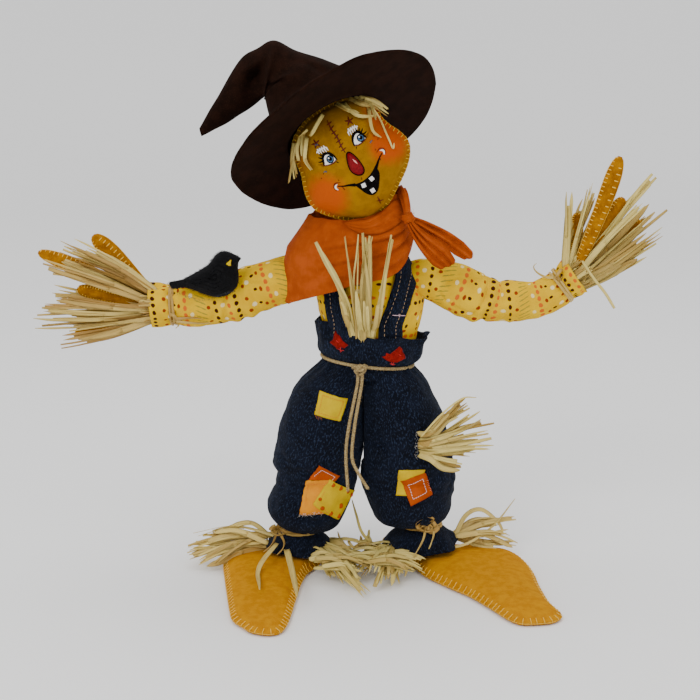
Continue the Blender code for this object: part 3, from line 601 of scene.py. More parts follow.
def cotton(name, color, deep, light):
    look = Look(name, roughness=0.86, sheen=0.04, specular=0.10, tint=light)
    u, v, _ = look.split(look.uv)
    base = look.mix(look.ramp(look.noise(75, 5.0), 0.32, 0.7), deep, color)
    warp = look.math("SINE", look.times(u, 2 * math.pi / COTTON_THREAD))
    weft = look.math("SINE", look.times(v, 2 * math.pi / COTTON_THREAD))
    weave = look.times(warp, weft)
    uneven = look.ramp(look.noise(1.0, 3.0, vector=look.uv_scaled(1600, 150)), 0.5, 0.8)
    base = look.mix(look.times(uneven, 0.30), base, light)
    height = look.plus(look.times(weave, 0.30), look.times(look.noise(1900, 2.0), 0.6))
    return look.done(base, look.bump(height, 0.00018, 0.7))


PRINT_REPEAT = 0.0740


def printed(name, shift=(0.0, 0.0)):
    """Yellow cotton printed with rows of dots and dashes that run round the sleeve."""
    look = Look(name, roughness=0.86, sheen=0.02, specular=0.08, tint=(1.0, 0.9, 0.5))
    moved = look.node("ShaderNodeMapping", {"Vector": look.uv, "Location": (shift[0], shift[1], 0)}).outputs["Vector"]
    wander = look.node(
        "ShaderNodeVectorMath", {0: look.noise(90, 2.0, color=True), 1: (0.5, 0.5, 0.5)}, operation="SUBTRACT",
    ).outputs[0]
    wander = look.node("ShaderNodeVectorMath", {0: wander, "Scale": 0.0016}, operation="SCALE").outputs[0]
    moved = look.node("ShaderNodeVectorMath", {0: moved, 1: wander}, operation="ADD").outputs[0]
    u, v, _ = look.split(moved)
    base = look.mix(look.ramp(look.noise(60, 4.0), 0.3, 0.7), srgb(0.83, 0.65, 0.0), srgb(0.89, 0.72, 0.02))
    row = look.math("FLOORED_MODULO", v, PRINT_REPEAT)

    dark = srgb(0.22, 0.07, 0.03)
    red = srgb(0.55, 0.20, 0.06)
    orange = srgb(0.80, 0.38, 0.10)
    pale = srgb(0.93, 0.88, 0.68)
    green = srgb(0.42, 0.44, 0.22)
    # rows of marks: how far along, spacing round the sleeve, half size, colour, length, strength, lean, phase
    for at, step, half, color, tall, strength, lean, phase in (
        (0.0040, 0.0062, 0.00190, dark, 1.05, 1.0, 0.0, 0.0), (0.0110, 0.0066, 0.00185, orange, 1.1, 1.0, 0.0, 0.002),
        (0.0165, 0.0148, 0.00190, pale, 1.0, 0.7, 0.0, 0.004), (0.0225, 0.0068, 0.00180, dark, 1.15, 1.0, 0.0, 0.001),
        (0.0285, 0.0150, 0.00170, red, 1.0, 1.0, 0.0, 0.005), (0.0330, 0.0044, 0.00135, green, 0.5, 0.75, 0.5, 0.0),
        (0.0372, 0.0044, 0.00125, green, 0.5, 0.65, 0.5, 0.0022), (0.0430, 0.0156, 0.00190, pale, 1.1, 0.7, 0.0, 0.002),
        (0.0485, 0.0062, 0.00205, orange, 1.15, 1.0, 0.0, 0.003), (0.0540, 0.0140, 0.00170, red, 1.2, 1.0, 0.0, 0.006),
        (0.0585, 0.0120, 0.00150, dark, 0.85, 1.0, 0.0, 0.002), (0.0640, 0.0195, 0.00215, pale, 1.0, 0.8, 0.0, 0.009),
        (0.0685, 0.0105, 0.00180, red, 1.0, 1.0, 0.0, 0.004),
    ):
        down = look.minus(row, at)
        along = look.plus(u, look.plus(look.times(down, lean), phase))
        cell = look.minus(look.math("FLOORED_MODULO", along, step), step / 2)
        far = look.far(look.math("DIVIDE", cell, half * tall), look.math("DIVIDE", down, half / tall))
        edge = look.plus(far, look.times(look.minus(look.noise(1300, 2.0), 0.5), 0.55))
        base = look.mix(look.ramp(edge, 0.78, 1.08, (strength, 0.0)), base, color)
    height = look.times(look.noise(1900, 2.0), 0.6)
    return look.done(base, look.bump(height, 0.00016, 0.6))


def raffia(name, pale, tan, dark):
    """Dried palm leaf: fine fibres along each strand, and each strand its own tone."""
    look = Look(name, roughness=0.55, specular=0.35)
    fibre = look.noise(1.0, 3.0, vector=look.uv_scaled(3200, 55))
    patch = look.noise(1.0, 2.0, vector=look.uv_scaled(300, 45))
    base = look.mix(look.ramp(look.tone, 0.1, 0.9), tan, pale)
    base = look.mix(look.times(look.ramp(fibre, 0.5, 0.72), 0.50), base, dark)
    base = look.mix(look.times(look.ramp(patch, 0.54, 0.76), 0.38), base, tan)
    return look.done(base, look.bump(fibre, 0.00022, 0.9))


def jute():
    look = Look("jute", roughness=0.88, specular=0.2, sheen=0.05)
    base = look.mix(look.ramp(look.noise(900, 3.0), 0.36, 0.66), srgb(0.46, 0.37, 0.22), srgb(0.68, 0.59, 0.40))
    base = look.mix(look.times(look.ramp(look.noise(2600, 2.0), 0.5, 0.75), 0.5), base, srgb(0.80, 0.73, 0.55))
    base = look.mix(look.times(look.ramp(look.noise(120, 2.0), 0.55, 0.8), 0.5), base, srgb(0.38, 0.28, 0.15))
    return look.done(base, look.bump(look.noise(2600, 2.0), 0.0003, 0.9))


def plush():
    look = Look("black_plush", roughness=0.92, sheen=0.05, specular=0.15, tint=(0.5, 0.5, 0.6))
    base = look.mix(look.ramp(look.noise(700, 3.0), 0.45, 0.75), srgb(0.028, 0.028, 0.032), srgb(0.085, 0.085, 0.095))
    return look.done(base, look.bump(look.noise(1500, 3.0), 0.0005, 0.9))


def steel():
    look = Look("steel_wire", roughness=0.35, metallic=1.0)
    base = look.mix(look.ramp(look.noise(500, 3.0), 0.4, 0.7), srgb(0.60, 0.60, 0.62), srgb(0.74, 0.74, 0.76))
    return look.done(base, look.bump(look.noise(1200, 2.0, stretch=(1, 1, 0.1)), 0.0001, 0.4))


FACE_FELT = face_felt()
GOLD_FELT = felt("gold_felt", srgb(0.76, 0.52, 0.0), srgb(0.70, 0.45, 0.0), srgb(0.83, 0.61, 0.06))
# the gold felt made darker for the hands: painted shade, for the shadow the hands are in
HAND_FELT_SHADED = felt("hand_felt_painted_shade", srgb(0.66, 0.43, 0.0), srgb(0.54, 0.33, 0.0), srgb(0.78, 0.56, 0.06))
BROWN_FELT = felt("brown_felt", srgb(0.125, 0.062, 0.036), srgb(0.085, 0.040, 0.022), srgb(0.24, 0.15, 0.11), 0.05, 90)
RED_FELT = felt("red_felt", srgb(0.56, 0.10, 0.09), srgb(0.44, 0.07, 0.06), srgb(0.68, 0.22, 0.18), 0.08, 300)
DENIM = denim()
ORANGE = cotton("orange_cotton", srgb(0.68, 0.30, 0.07), srgb(0.59, 0.24, 0.04), srgb(0.76, 0.40, 0.15))
PRINT_BODY = printed("printed_body", (0.003, 0.013))
PRINT_ARM = printed("printed_arm")
YELLOW_CLOTH = cotton("yellow_cotton", srgb(0.83, 0.71, 0.0), srgb(0.76, 0.62, 0.0), srgb(0.88, 0.78, 0.12))
AMBER_CLOTH = cotton("amber_cotton", srgb(0.88, 0.57, 0.09), srgb(0.82, 0.49, 0.06), srgb(0.92, 0.66, 0.24))
RUST_CLOTH = cotton("rust_cotton", srgb(0.71, 0.30, 0.05), srgb(0.62, 0.24, 0.03), srgb(0.80, 0.42, 0.15))
PALE_STRAW = raffia("pale_straw", srgb(0.85, 0.77, 0.44), srgb(0.68, 0.55, 0.26), srgb(0.47, 0.34, 0.13))
TAN_STRAW = raffia("tan_straw", srgb(0.85, 0.75, 0.42), srgb(0.66, 0.51, 0.24), srgb(0.45, 0.31, 0.12))
JUTE = jute()
PLUSH = plush()
STEEL = steel()
WHITE_PAINT = paint("white_paint", srgb(0.88, 0.87, 0.84), srgb(0.96, 0.95, 0.93))
BLACK_PAINT = paint("black_paint", srgb(0.012, 0.008, 0.008), srgb(0.045, 0.030, 0.028), 0.7, specular=0.04)
MAROON_PAINT = paint("maroon_paint", srgb(0.28, 0.06, 0.03), srgb(0.40, 0.12, 0.06))
GREY_PAINT = paint("grey_paint", srgb(0.20, 0.23, 0.27), srgb(0.34, 0.37, 0.40))
BLUE_PAINT = paint("blue_paint", srgb(0.16, 0.27, 0.40), srgb(0.29, 0.41, 0.54), specular=0.06)
CRIMSON_PAINT = paint("crimson_paint", srgb(0.42, 0.01, 0.05), srgb(0.50, 0.03, 0.07), 0.5, specular=0.12)
DARK_THREAD = thread_paint("dark_thread", srgb(0.76, 0.57, 0.10), srgb(0.86, 0.70, 0.24))
PALE_THREAD = thread_paint("pale_thread", srgb(0.86, 0.66, 0.22), srgb(0.93, 0.77, 0.36))
TAN_THREAD = thread_paint("tan_thread", srgb(0.62, 0.50, 0.38), srgb(0.74, 0.63, 0.50))
PINK_THREAD = thread_paint("pink_thread", srgb(0.78, 0.62, 0.68), srgb(0.88, 0.76, 0.78))
RED_THREAD = thread_paint("red_thread", srgb(0.66, 0.10, 0.12), srgb(0.80, 0.22, 0.22))
RUST_THREAD = thread_paint("rust_thread", srgb(0.80, 0.45, 0.12), srgb(0.88, 0.55, 0.20))
WHITE_THREAD = thread_paint("white_thread", srgb(0.86, 0.84, 0.80), srgb(0.95, 0.93, 0.90))


# ------------------------------------------------------------------ head
HEAD = vec(0.0016, -0.0300, 0.3604)
ROLL = math.radians(-30)
RIGHT = vec(math.cos(ROLL), 0, -math.sin(ROLL))
UP = vec(math.sin(ROLL), 0, math.cos(ROLL))
HALF_HEAD = (
    (0.0, -0.0495), (0.0110, -0.0497), (0.0215, -0.0448), (0.0322, -0.0370),
    (0.0410, -0.0275), (0.0465, -0.0190), (0.0470, -0.0090), (0.0446, 0.0005),
    (0.0412, 0.0095), (0.0400, 0.0190), (0.0390, 0.0290), (0.0330, 0.0380),
    (0.0220, 0.0445), (0.0110, 0.0475), (0.0, 0.0485),
)
CHIN = [(0.0, -0.0484), (0.0105, -0.0440), (0.0200, -0.0378), (0.0302, -0.0310), (0.0384, -0.0242), (0.0446, -0.0166)]
HEAD_DEPTH = 0.0308
HEAD_SEAM = 0.957  # the outline's share at which the two faces of felt meet
FACE_RAY = 0.09
STITCHES = 74  # round the head's edge


def head_place(u, v):
    """The ray that lays a point of the face on the head."""
    return HEAD + RIGHT * u + UP * v + FRONT * FACE_RAY, -FRONT


def build_head():
    temple = [(u - 0.0028 * hump(v - 0.019, 0.011), v) for u, v in HALF_HEAD[6:]]
    outline = smooth(CHIN + temple + [(-u, v) for u, v in HALF_HEAD[-2:0:-1]], 216, True)
    out = outline - np.roll(outline, 1, axis=0)
    normal = np.stack((out[:, 1], -out[:, 0]), axis=1)
    normal /= np.linalg.norm(normal, axis=1)[:, None]
    gather = np.cos(np.linspace(0, 2 * math.pi * STITCHES, len(outline), endpoint=False))
    profile = []
    for s in (0.10, 0.22, 0.34, 0.46, 0.57, 0.67, 0.76, 0.83, 0.89, 0.935, 0.965, 0.985):
        profile.append((s, HEAD_DEPTH * math.sqrt(1 - s**2.3)))
    profile.append((1.0, 0.0026))
    rows = []
    flat_rows = []

    def ring(scale, depth, grow, side):
        points = []
        flats = []
        near_seam = math.exp(-(1 - scale) / 0.05)
        for (u, v), n, g in zip(outline, normal, gather):
            flat = vec(u, v) * scale * HEAD_SEAM
            flat = flat + n * grow
            flat = flat + n * (-0.0006 * g * near_seam if grow else 0)
            deep = depth - 0.00035 * g * near_seam * (1 if not grow else 0)
            p = HEAD + RIGHT * flat[0] + UP * flat[1]
            if not grow:
                deep += 0.0006 * wobble(p, 45, side) * min(1.0, depth / 0.01)
            points.append(p + FRONT * deep * side)
            flats.append(flat)
        rows.append(points)
        flat_rows.append(flats)

    for s, d in profile:
        ring(s, d, 0.0, 1)
    for grow, depth in ((0.0009, 0.0014), (0.0021, 0.0013), (0.0026, 0.0008), (0.0022, 0.0002)):
        ring(1.0, depth, grow, 1)
    for grow, depth in ((0.0025, 0.0008), (0.0020, 0.0013), (0.0008, 0.0014)):
        ring(1.0, depth, grow, -1)
    for s, d in reversed(profile):
        ring(s, d, 0.0, -1)
    shape = Shape().net(rows, caps=(True, True))
    made = emit("head_pillow", shape, FACE_FELT, "head", replaces=("head",), slot="gold_felt")
    flats = np.array(flat_rows).reshape(-1, 2)
    layer = made.data.uv_layers.new(name="face")
    loops = np.zeros(len(made.data.loops), np.int32)
    made.data.loops.foreach_get("vertex_index", loops)
    layer.data.foreach_set("uv", flats[loops].astype(np.float32).ravel())

    edge = Shape()
    step = len(outline) / STITCHES
    for k in range(STITCHES):
        i, j = int(k * step) % len(outline), int((k + 1) * step) % len(outline)
        n, m = normal[i], normal[j]
        a = outline[i] * HEAD_SEAM
        b = outline[j] * HEAD_SEAM
        for side in (1, -1):
            def at(flat, deep):
                return HEAD + RIGHT * flat[0] + UP * flat[1] + FRONT * deep * side
            thread(edge, [
                at(a - n * 0.0006, 0.0030), at(a + n * 0.0006, 0.0018), at(a + n * 0.0019, 0.0015),
                at(a + n * 0.0026, 0.0008), at(a + n * 0.0026, 0.0),
            ], 0.00040)
        rim = [
            HEAD + RIGHT * f[0] + UP * f[1]
            for f in (a + n * 0.0026, (a + b) / 2 + (n + m) / 2 * 0.0028, b + m * 0.0026)
        ]
        thread(edge, rim, 0.00034)
    emit("head_edge_stitches", edge, DARK_THREAD, "head", slot="gold_felt")
    return Skin(shape)


def mm(*points):
    """Face outlines are given in millimetres."""
    return [(u / 1000, v / 1000) for u, v in points]


def build_face(skin):
    white, black, maroon, grey, blue = Shape(), Shape(), Shape(), Shape(), Shape()

    def lay(shape, outline, lift, **more):
        blob(shape, skin, head_place, mm(*outline), lift, **more)

    def line(shape, points, widths, lift, **more):
        stroke(shape, skin, head_place, mm(*points), [w / 1000 for w in widths], lift, **more)

    eye = (
        (-4.6, -2.4), (-3.8, 1.2), (-1.6, 3.6), (0.8, 3.9), (2.4, 2.3), (3.4, -0.6), (4.1, -2.2), (1.6, -3.0),
        (-1.2, -3.3), (-3.2, -3.2),
    )
    for side, (x, y), size in ((-1, (-15.0, 11.4), 1.10), (1, (14.3, 13.8), 1.10)):
        def e(*points):
            return [(x + u * size * side, y + v * size) for u, v in points]
        lay(grey, e(*[(u * 1.10, v * 1.10 - 0.1) for u, v in eye]), 0.00008, thick=0.00012)
        lay(white, e(*eye), 0.00020, thick=0.00014)
        turn = circle(14)
        for shape, cx, cy, wide, tall, lift in (
            (black, 1.4, -0.2, 3.1, 3.3, 0.00030), (blue, 1.5, -0.3, 2.35, 2.5, 0.00038),
            (black, 1.6, 0.0, 1.45, 1.6, 0.00048), (white, 0.8, 1.1, 0.62, 0.70, 0.00058),
        ):
            lay(
                shape, [(x + cx + wide * math.cos(a), y + cy + tall * math.sin(a)) for a in turn], lift, thick=0.00010,
                count=24,
            )
        line(
            black, e((-5.6, -3.0), (-4.6, 0.9), (-2.4, 4.0), (0.6, 4.9), (2.7, 3.6), (4.2, 0.2), (5.2, -2.4)),
            (0.5, 1.4, 2.1, 2.1, 1.8, 1.3, 0.5), 0.00034,
        )
        line(
            maroon, e((-4.8, -2.6), (-2.2, -3.7), (1.4, -3.4), (4.4, -2.3), (7.0, -1.2)), (0.7, 0.9, 0.7, 0.5, 0.2),
            0.00060,
        )
        for a, b in (
            ((2.2, 4.2), (4.0, 6.8)), ((3.2, 3.0), (5.8, 5.0)), ((4.2, 1.2), (7.4, 1.9)), ((0.9, 4.9), (1.6, 7.4)),
        ):
            line(black, e(a, ((a[0] + b[0]) / 2 + 0.2, (a[1] + b[1]) / 2 - 0.2), b), (1.25, 1.0, 0.35), 0.00024)
        line(maroon, e((5.0, -0.6), (6.9, -0.4), (8.6, 0.4)), (0.3, 0.4, 0.15), 0.00022)
        line(black, e((-4.4, -4.0), (-5.4, -5.6)), (0.8, 0.25), 0.00022)
        line(grey, e((5.4, -7.0), (6.8, -6.1), (7.8, -6.5)), (1.2, 1.0, 0.5), 0.00022)

    for side, (x, y) in ((-1, (-15.9, 20.8)), (1, (13.4, 22.6))):
        def b(*points):
            return [(x + u * side, y + v) for u, v in points]
        lay(
            white,
            b(
                (-4.7, -0.6), (-4.2, 0.4), (-1.8, 1.1), (0.4, 1.5), (2.4, 1.4), (4.6, 0.6), (4.7, -0.5), (2.6, 0.0),
                (0.2, 0.3), (-2.4, 0.0),
            ),
            0.00014, thick=0.00035,
        )
        for k in range(5):
            u = -4.0 + 1.85 * k
            line(
                white, b((u, 0.2), (u - 0.2, -1.4), (u - 0.5, -3.0 - 0.6 * (k % 2) + 0.25 * k)), (1.3, 0.95, 0.5),
                0.00012, thick=0.00032,
            )
        for k in range(4):
            u = -3.0 + 1.9 * k
            line(white, b((u, 0.8), (u + 0.3, 2.3)), (1.2, 0.7), 0.00012, thick=0.00030)

    for x, y, turn in ((-17.6, 27.2, 0.3), (14.4, 29.4, 0.1)):
        for k in range(5):
            a = turn + math.pi * k / 2.5
            line(
                maroon,
                (
                    (x, y), (x + 1.9 * math.cos(a), y + 1.9 * math.sin(a)),
                    (x + 3.8 * math.cos(a), y + 3.8 * math.sin(a)),
                ),
                (0.9, 1.5, 0.4), 0.00012,
            )
    line(grey, ((-16.4, 25.6), (-17.6, 26.6), (-19.0, 26.0)), (1.0, 1.6, 0.6), 0.00014)

    line(
        maroon, ((-0.7, 38.6), (-1.2, 31.0), (-0.2, 23.0), (-0.9, 16.0), (-0.6, 9.8)), (0.7, 1.1, 1.1, 1.1, 0.7),
        0.00014,
    )
    for k, v in enumerate((35.6, 31.6, 27.8, 24.0, 20.2, 16.4, 12.6)):
        tilt = 0.9 if k % 2 else 0.3
        line(maroon, ((-2.9, v - tilt), (-0.5, v), (1.9, v + tilt)), (0.5, 1.15, 0.5), 0.00018)

    smile_left = ((-19.2, -10.6), (-15.0, -12.9), (-11.0, -14.3), (-6.4, -16.6))
    smile_right = ((24.6, -5.4), (20.4, -8.0), (16.6, -11.4), (12.4, -15.0))
    line(black, smile_left, (0.7, 1.1, 1.7, 2.8), 0.00016, count=28)
    line(black, smile_right, (0.7, 1.1, 2.0, 3.4), 0.00016, count=28)
    mouth = (
        (-7.4, -15.9), (-3.0, -16.7), (0.8, -16.9), (6.6, -15.9), (11.6, -13.6), (14.4, -12.4), (15.2, -16.6),
        (13.6, -20.8), (10.7, -25.2), (6.4, -30.2), (1.4, -31.0), (-2.4, -27.2), (-4.8, -21.6), (-6.4, -17.8),
    )
    lay(black, mouth, 0.00020, thick=0.00014, count=60)
    for x, y, tilt in ((-0.9, -20.2, -0.10), (7.2, -18.8, 0.16), (3.2, -27.6, 0.06)):
        c, s = math.cos(tilt), math.sin(tilt)
        corners = [
            (x + u * c - v * s, y + u * s + v * c)
            for u, v in ((-1.75, 1.75), (1.75, 1.65), (1.65, -1.75), (-1.7, -1.7))
        ]
        lay(white, corners, 0.00036, thick=0.00040, count=24, sharp=True)
    for side, (x, y), turn in ((-1, (-19.4, -11.2), 0.0), (1, (24.4, -5.0), 0.12)):
        line(
            maroon,
            (
                (x - 3.4 * side, y + 2.2), (x + 0.4 * side, y + 3.6), (x + 2.9 * side, y + 1.4),
                (x + 2.6 * side, y - 2.2),
            ),
            (0.35, 0.8, 0.9, 0.4), 0.00018,
        )
        line(
            white,
            (
                (x - 0.6 * side, y + 2.3), (x + 1.5 * side, y + 1.4), (x + 1.9 * side, y - 0.4),
                (x + 1.0 * side, y - 2.2),
            ),
            (0.4, 1.4, 1.4, 0.4), 0.00024,
        )
        line(maroon, ((x - 2.9 * side, y - 1.0), (x - 3.6 * side, y - 4.6)), (0.3, 0.8), 0.00020)
        line(maroon, ((x - 3.4 * side, y + 4.0), (x - 2.9 * side, y + 5.2)), (0.6, 0.3), 0.00020)
    line(maroon, ((3.9, -34.4), (3.7, -37.6), (3.0, -41.0)), (0.5, 1.3, 0.6), 0.00014)
    line(maroon, ((1.4, -37.2), (4.0, -38.6), (6.6, -39.6)), (0.4, 1.0, 0.4), 0.00018)
    line(maroon, ((0.2, -15.4), (0.8, -13.6)), (0.8, 0.4), 0.00018)
    for u, v in ((-24.4, 3.6), (-27.6, 1.2), (27.2, 5.6), (25.6, 9.2)):
        lay(
            maroon, [(u + 0.5 * math.cos(a), v + 0.5 * math.sin(a)) for a in (0, 1.3, 2.5, 3.8, 5.0)], 0.00012,
            thick=0.0001, count=8,
        )

    for name, shape, look in (
        ("face_white", white, WHITE_PAINT), ("face_black", black, BLACK_PAINT), ("face_maroon", maroon, MAROON_PAINT),
        ("face_grey", grey, GREY_PAINT), ("face_blue", blue, BLUE_PAINT),
    ):
        emit(name, shape, look, "head", slot="gold_felt")

    nose, rim, glow = Shape(), Shape(), Shape()
    flat = smooth(
        mm(
            (1.8, 8.4), (3.8, 5.4), (5.0, 1.4), (5.8, -3.6), (5.7, -8.2), (4.2, -10.8), (1.8, -11.4), (-1.2, -9.8),
            (-3.4, -6.0), (-3.5, -1.4), (-2.0, 3.6), (-0.2, 7.4),
        ),
        60, True,
    )
    middle = flat.mean(0)
    rows = []
    for s, h in (
        (1.0, -0.0006), (1.0, 0.0005), (0.97, 0.0013), (0.88, 0.0024), (0.72, 0.0034), (0.50, 0.0042), (0.25, 0.0046),
        (0.08, 0.0047),
    ):
        ring = []
        for p in middle + (flat - middle) * s:
            ring.append(skin.cast(*head_place(*p)) + FRONT * h)
        rows.append(ring)
    nose.net(rows, caps=(True, True))
    emit("nose_bead", nose, CRIMSON_PAINT, "head", replaces=("nose",), slot="red_felt")
    ring = []
    for p in middle + (flat - middle) * 1.045:
        ring.append(skin.cast(*head_place(*p), 0.00035))
    ring = np.array(ring)
    rows = []
    for i, p in enumerate(ring):
        along = unit(ring[(i + 1) % len(ring)] - ring[i - 1])
        side = unit(np.cross(along, FRONT))
        face = np.cross(side, along)
        rows.append([p + side * 0.00055 * math.cos(a) + face * 0.00045 * math.sin(a) for a in circle(8)])
    rows.append(rows[0])
    rim.net(rows)
    emit("nose_outline", rim, BLACK_PAINT, "head", slot="gold_felt")
    top = Skin(nose)
    stroke(
        glow, top, head_place, mm((2.0, 2.6), (3.0, -0.4), (3.5, -2.6)), (0.0003, 0.0012, 0.0003), 0.00005,
        thick=0.00012,
    )
    emit(
        "nose_highlight", glow, paint("pink_paint", srgb(0.88, 0.52, 0.50), srgb(0.93, 0.64, 0.60), 0.4), "head",
        slot="gold_felt",
    )


# ------------------------------------------------------------------ hat
TILT = math.radians(30)
HAT = HEAD + UP * 0.0290 + vec(0, 0.0100, 0)
HAT_UP = UP * math.cos(TILT) - FRONT * math.sin(TILT)
HAT_FRONT = FRONT * math.cos(TILT) + UP * math.sin(TILT)
BRIM_R = 0.0940
BRIM_HOLE = 0.0455
BRIM_HALF = 0.0013  # half its thickness, except at its rounded edge


def brim_rise(angle, share):
    """How far the brim stands above its plane; its back droops beside the figure's right cheek."""
    droop = 0.0195 * hump(angle - 3.98, 0.66)
    return (0.0045 * math.sin(2 * angle + 0.6) - 0.0035 * math.sin(angle) - droop) * share**1.5


def build_hat():
    columns = 220
    top, bottom = [], []
    radii = list(np.linspace(BRIM_HOLE - 0.0030, BRIM_R - 0.0012, 20)) + [BRIM_R - 0.0004, BRIM_R]
    for k, radius in enumerate(radii):
        share = max(0.0, (radius - BRIM_HOLE) / (BRIM_R - BRIM_HOLE))
        upper, lower = [], []
        for i in range(columns):
            a = 2 * math.pi * i / columns
            way = (math.cos(a), math.sin(a), 0)
            r = radius + (0.0005 * wobble(way, 5.5, 3) + 0.00018 * wobble(way, 30, 5)) * share
            p = HAT + RIGHT * (r * math.cos(a)) + HAT_FRONT * (r * math.sin(a))
            p = p + HAT_UP * (brim_rise(a, share) + 0.0012 * wobble(p, 26, 9) * share)
            half = {len(radii) - 2: 0.0010, len(radii) - 1: 0.0004}.get(k, BRIM_HALF)
            upper.append(p + HAT_UP * half)
            lower.append(p - HAT_UP * half)
        top.append(upper)
        bottom.append(lower)
    brim = Shape().net(top + bottom[::-1] + top[:1])
    emit("hat_brim_felt", brim, BROWN_FELT, "head", replaces=("hat_brim",), slot="brown_felt")

    keys = [
        np.concatenate((HAT + HAT_UP * up, RIGHT * wide, HAT_FRONT * deep))
        for up, wide, deep in ((0.0008, 0.0486, 0.0484), (0.0060, 0.0478, 0.0474), (0.0200, 0.0462, 0.0445))
    ]
    # the folded top: lower edge x, z, upper edge x, z, middle y and half depth
    for x0, z0, x1, z1, y, deep in (
        (-0.0680, 0.3930, 0.0030, 0.4310, 0.0100, 0.0390), (-0.0712, 0.4070, -0.0200, 0.4400, 0.0120, 0.0310),
        (-0.0716, 0.4095, -0.0440, 0.4484, 0.0120, 0.0240), (-0.0724, 0.4095, -0.0635, 0.4560, 0.0115, 0.0180),
        (-0.0800, 0.4040, -0.0780, 0.4500, 0.0120, 0.0150), (-0.0930, 0.3950, -0.0915, 0.4415, 0.0125, 0.0128),
        (-0.1060, 0.3868, -0.1060, 0.4190, 0.0120, 0.0102), (-0.1170, 0.3812, -0.1180, 0.3990, 0.0100, 0.0068),
        (-0.1252, 0.3778, -0.1268, 0.3838, 0.0090, 0.0030),
    ):
        low, high = vec(x0, y, z0), vec(x1, y, z1)
        lean = FRONT if x1 < -0.03 else unit(FRONT + HAT_FRONT * 0.6)
        keys.append(np.concatenate(((low + high) / 2, (high - low) / 2, lean * deep)))
    rings = through(keys, 120)
    fold = 6.0 / 11
    rows = []
    for j, row in enumerate(rings):
        t = j / (len(rings) - 1)
        centre, a, b = row[:3], row[3:6], row[6:9]
        ring = []
        for i in range(120):
            angle = 2 * math.pi * i / 120
            p = centre + a * math.cos(angle) + b * math.sin(angle)
            out = unit(p - centre)
            facing = max(0.0, math.sin(angle))
            dent = 0.0
            inner = hump(t - fold - 0.085, 0.055) / (1 + math.exp(-(t - fold - 0.012) / 0.006))
            dent -= 0.0125 * inner * facing / (1 + math.exp(-(angle - 1.22) / 0.07)) * hump(max(0, angle - 2.0), 0.6)
            dent += 0.0028 * hump(t - fold + 0.012, 0.018) * facing
            dent += 0.0018 * hump(angle - 1.12, 0.10) * hump(t - fold - 0.09, 0.07)
            dent -= 0.0030 * hump(angle - 1.95 - 2.0 * (t - 0.40), 0.11) * hump(t - 0.42, 0.09)
            dent += 0.0016 * hump(angle - 1.70 - 2.0 * (t - 0.40), 0.13) * hump(t - 0.42, 0.09)
            dent -= 0.0022 * hump(angle - 0.95, 0.12) * hump(t - 0.30, 0.10)
            dent += 0.0010 * wobble(p, 55, 4) * min(1.0, t * 8)
            ring.append(p + out * dent)
        rows.append(ring)
    crown = Shape().net(rows, caps=(False, True))
    emit(
        "hat_crown_felt", crown, BROWN_FELT, "head", replaces=("hat_crown",), slot="brown_felt", thick=0.0022,
        offset=-1.0,
    )

    seam = Shape()
    for k in range(64):
        a = 2 * math.pi * k / 64
        out = RIGHT * math.cos(a) + HAT_FRONT * math.sin(a)
        ahead = RIGHT * math.cos(a + 0.05) + HAT_FRONT * math.sin(a + 0.05)
        thread(
            seam,
            [
                HAT + out * 0.0482 + HAT_UP * 0.0030, HAT + out * 0.0492 + HAT_UP * 0.0019,
                HAT + ahead * 0.0506 + HAT_UP * 0.0015,
            ],
            0.00025,
        )
    emit("hat_seam_stitches", seam, BROWN_FELT, "head", slot="brown_felt")


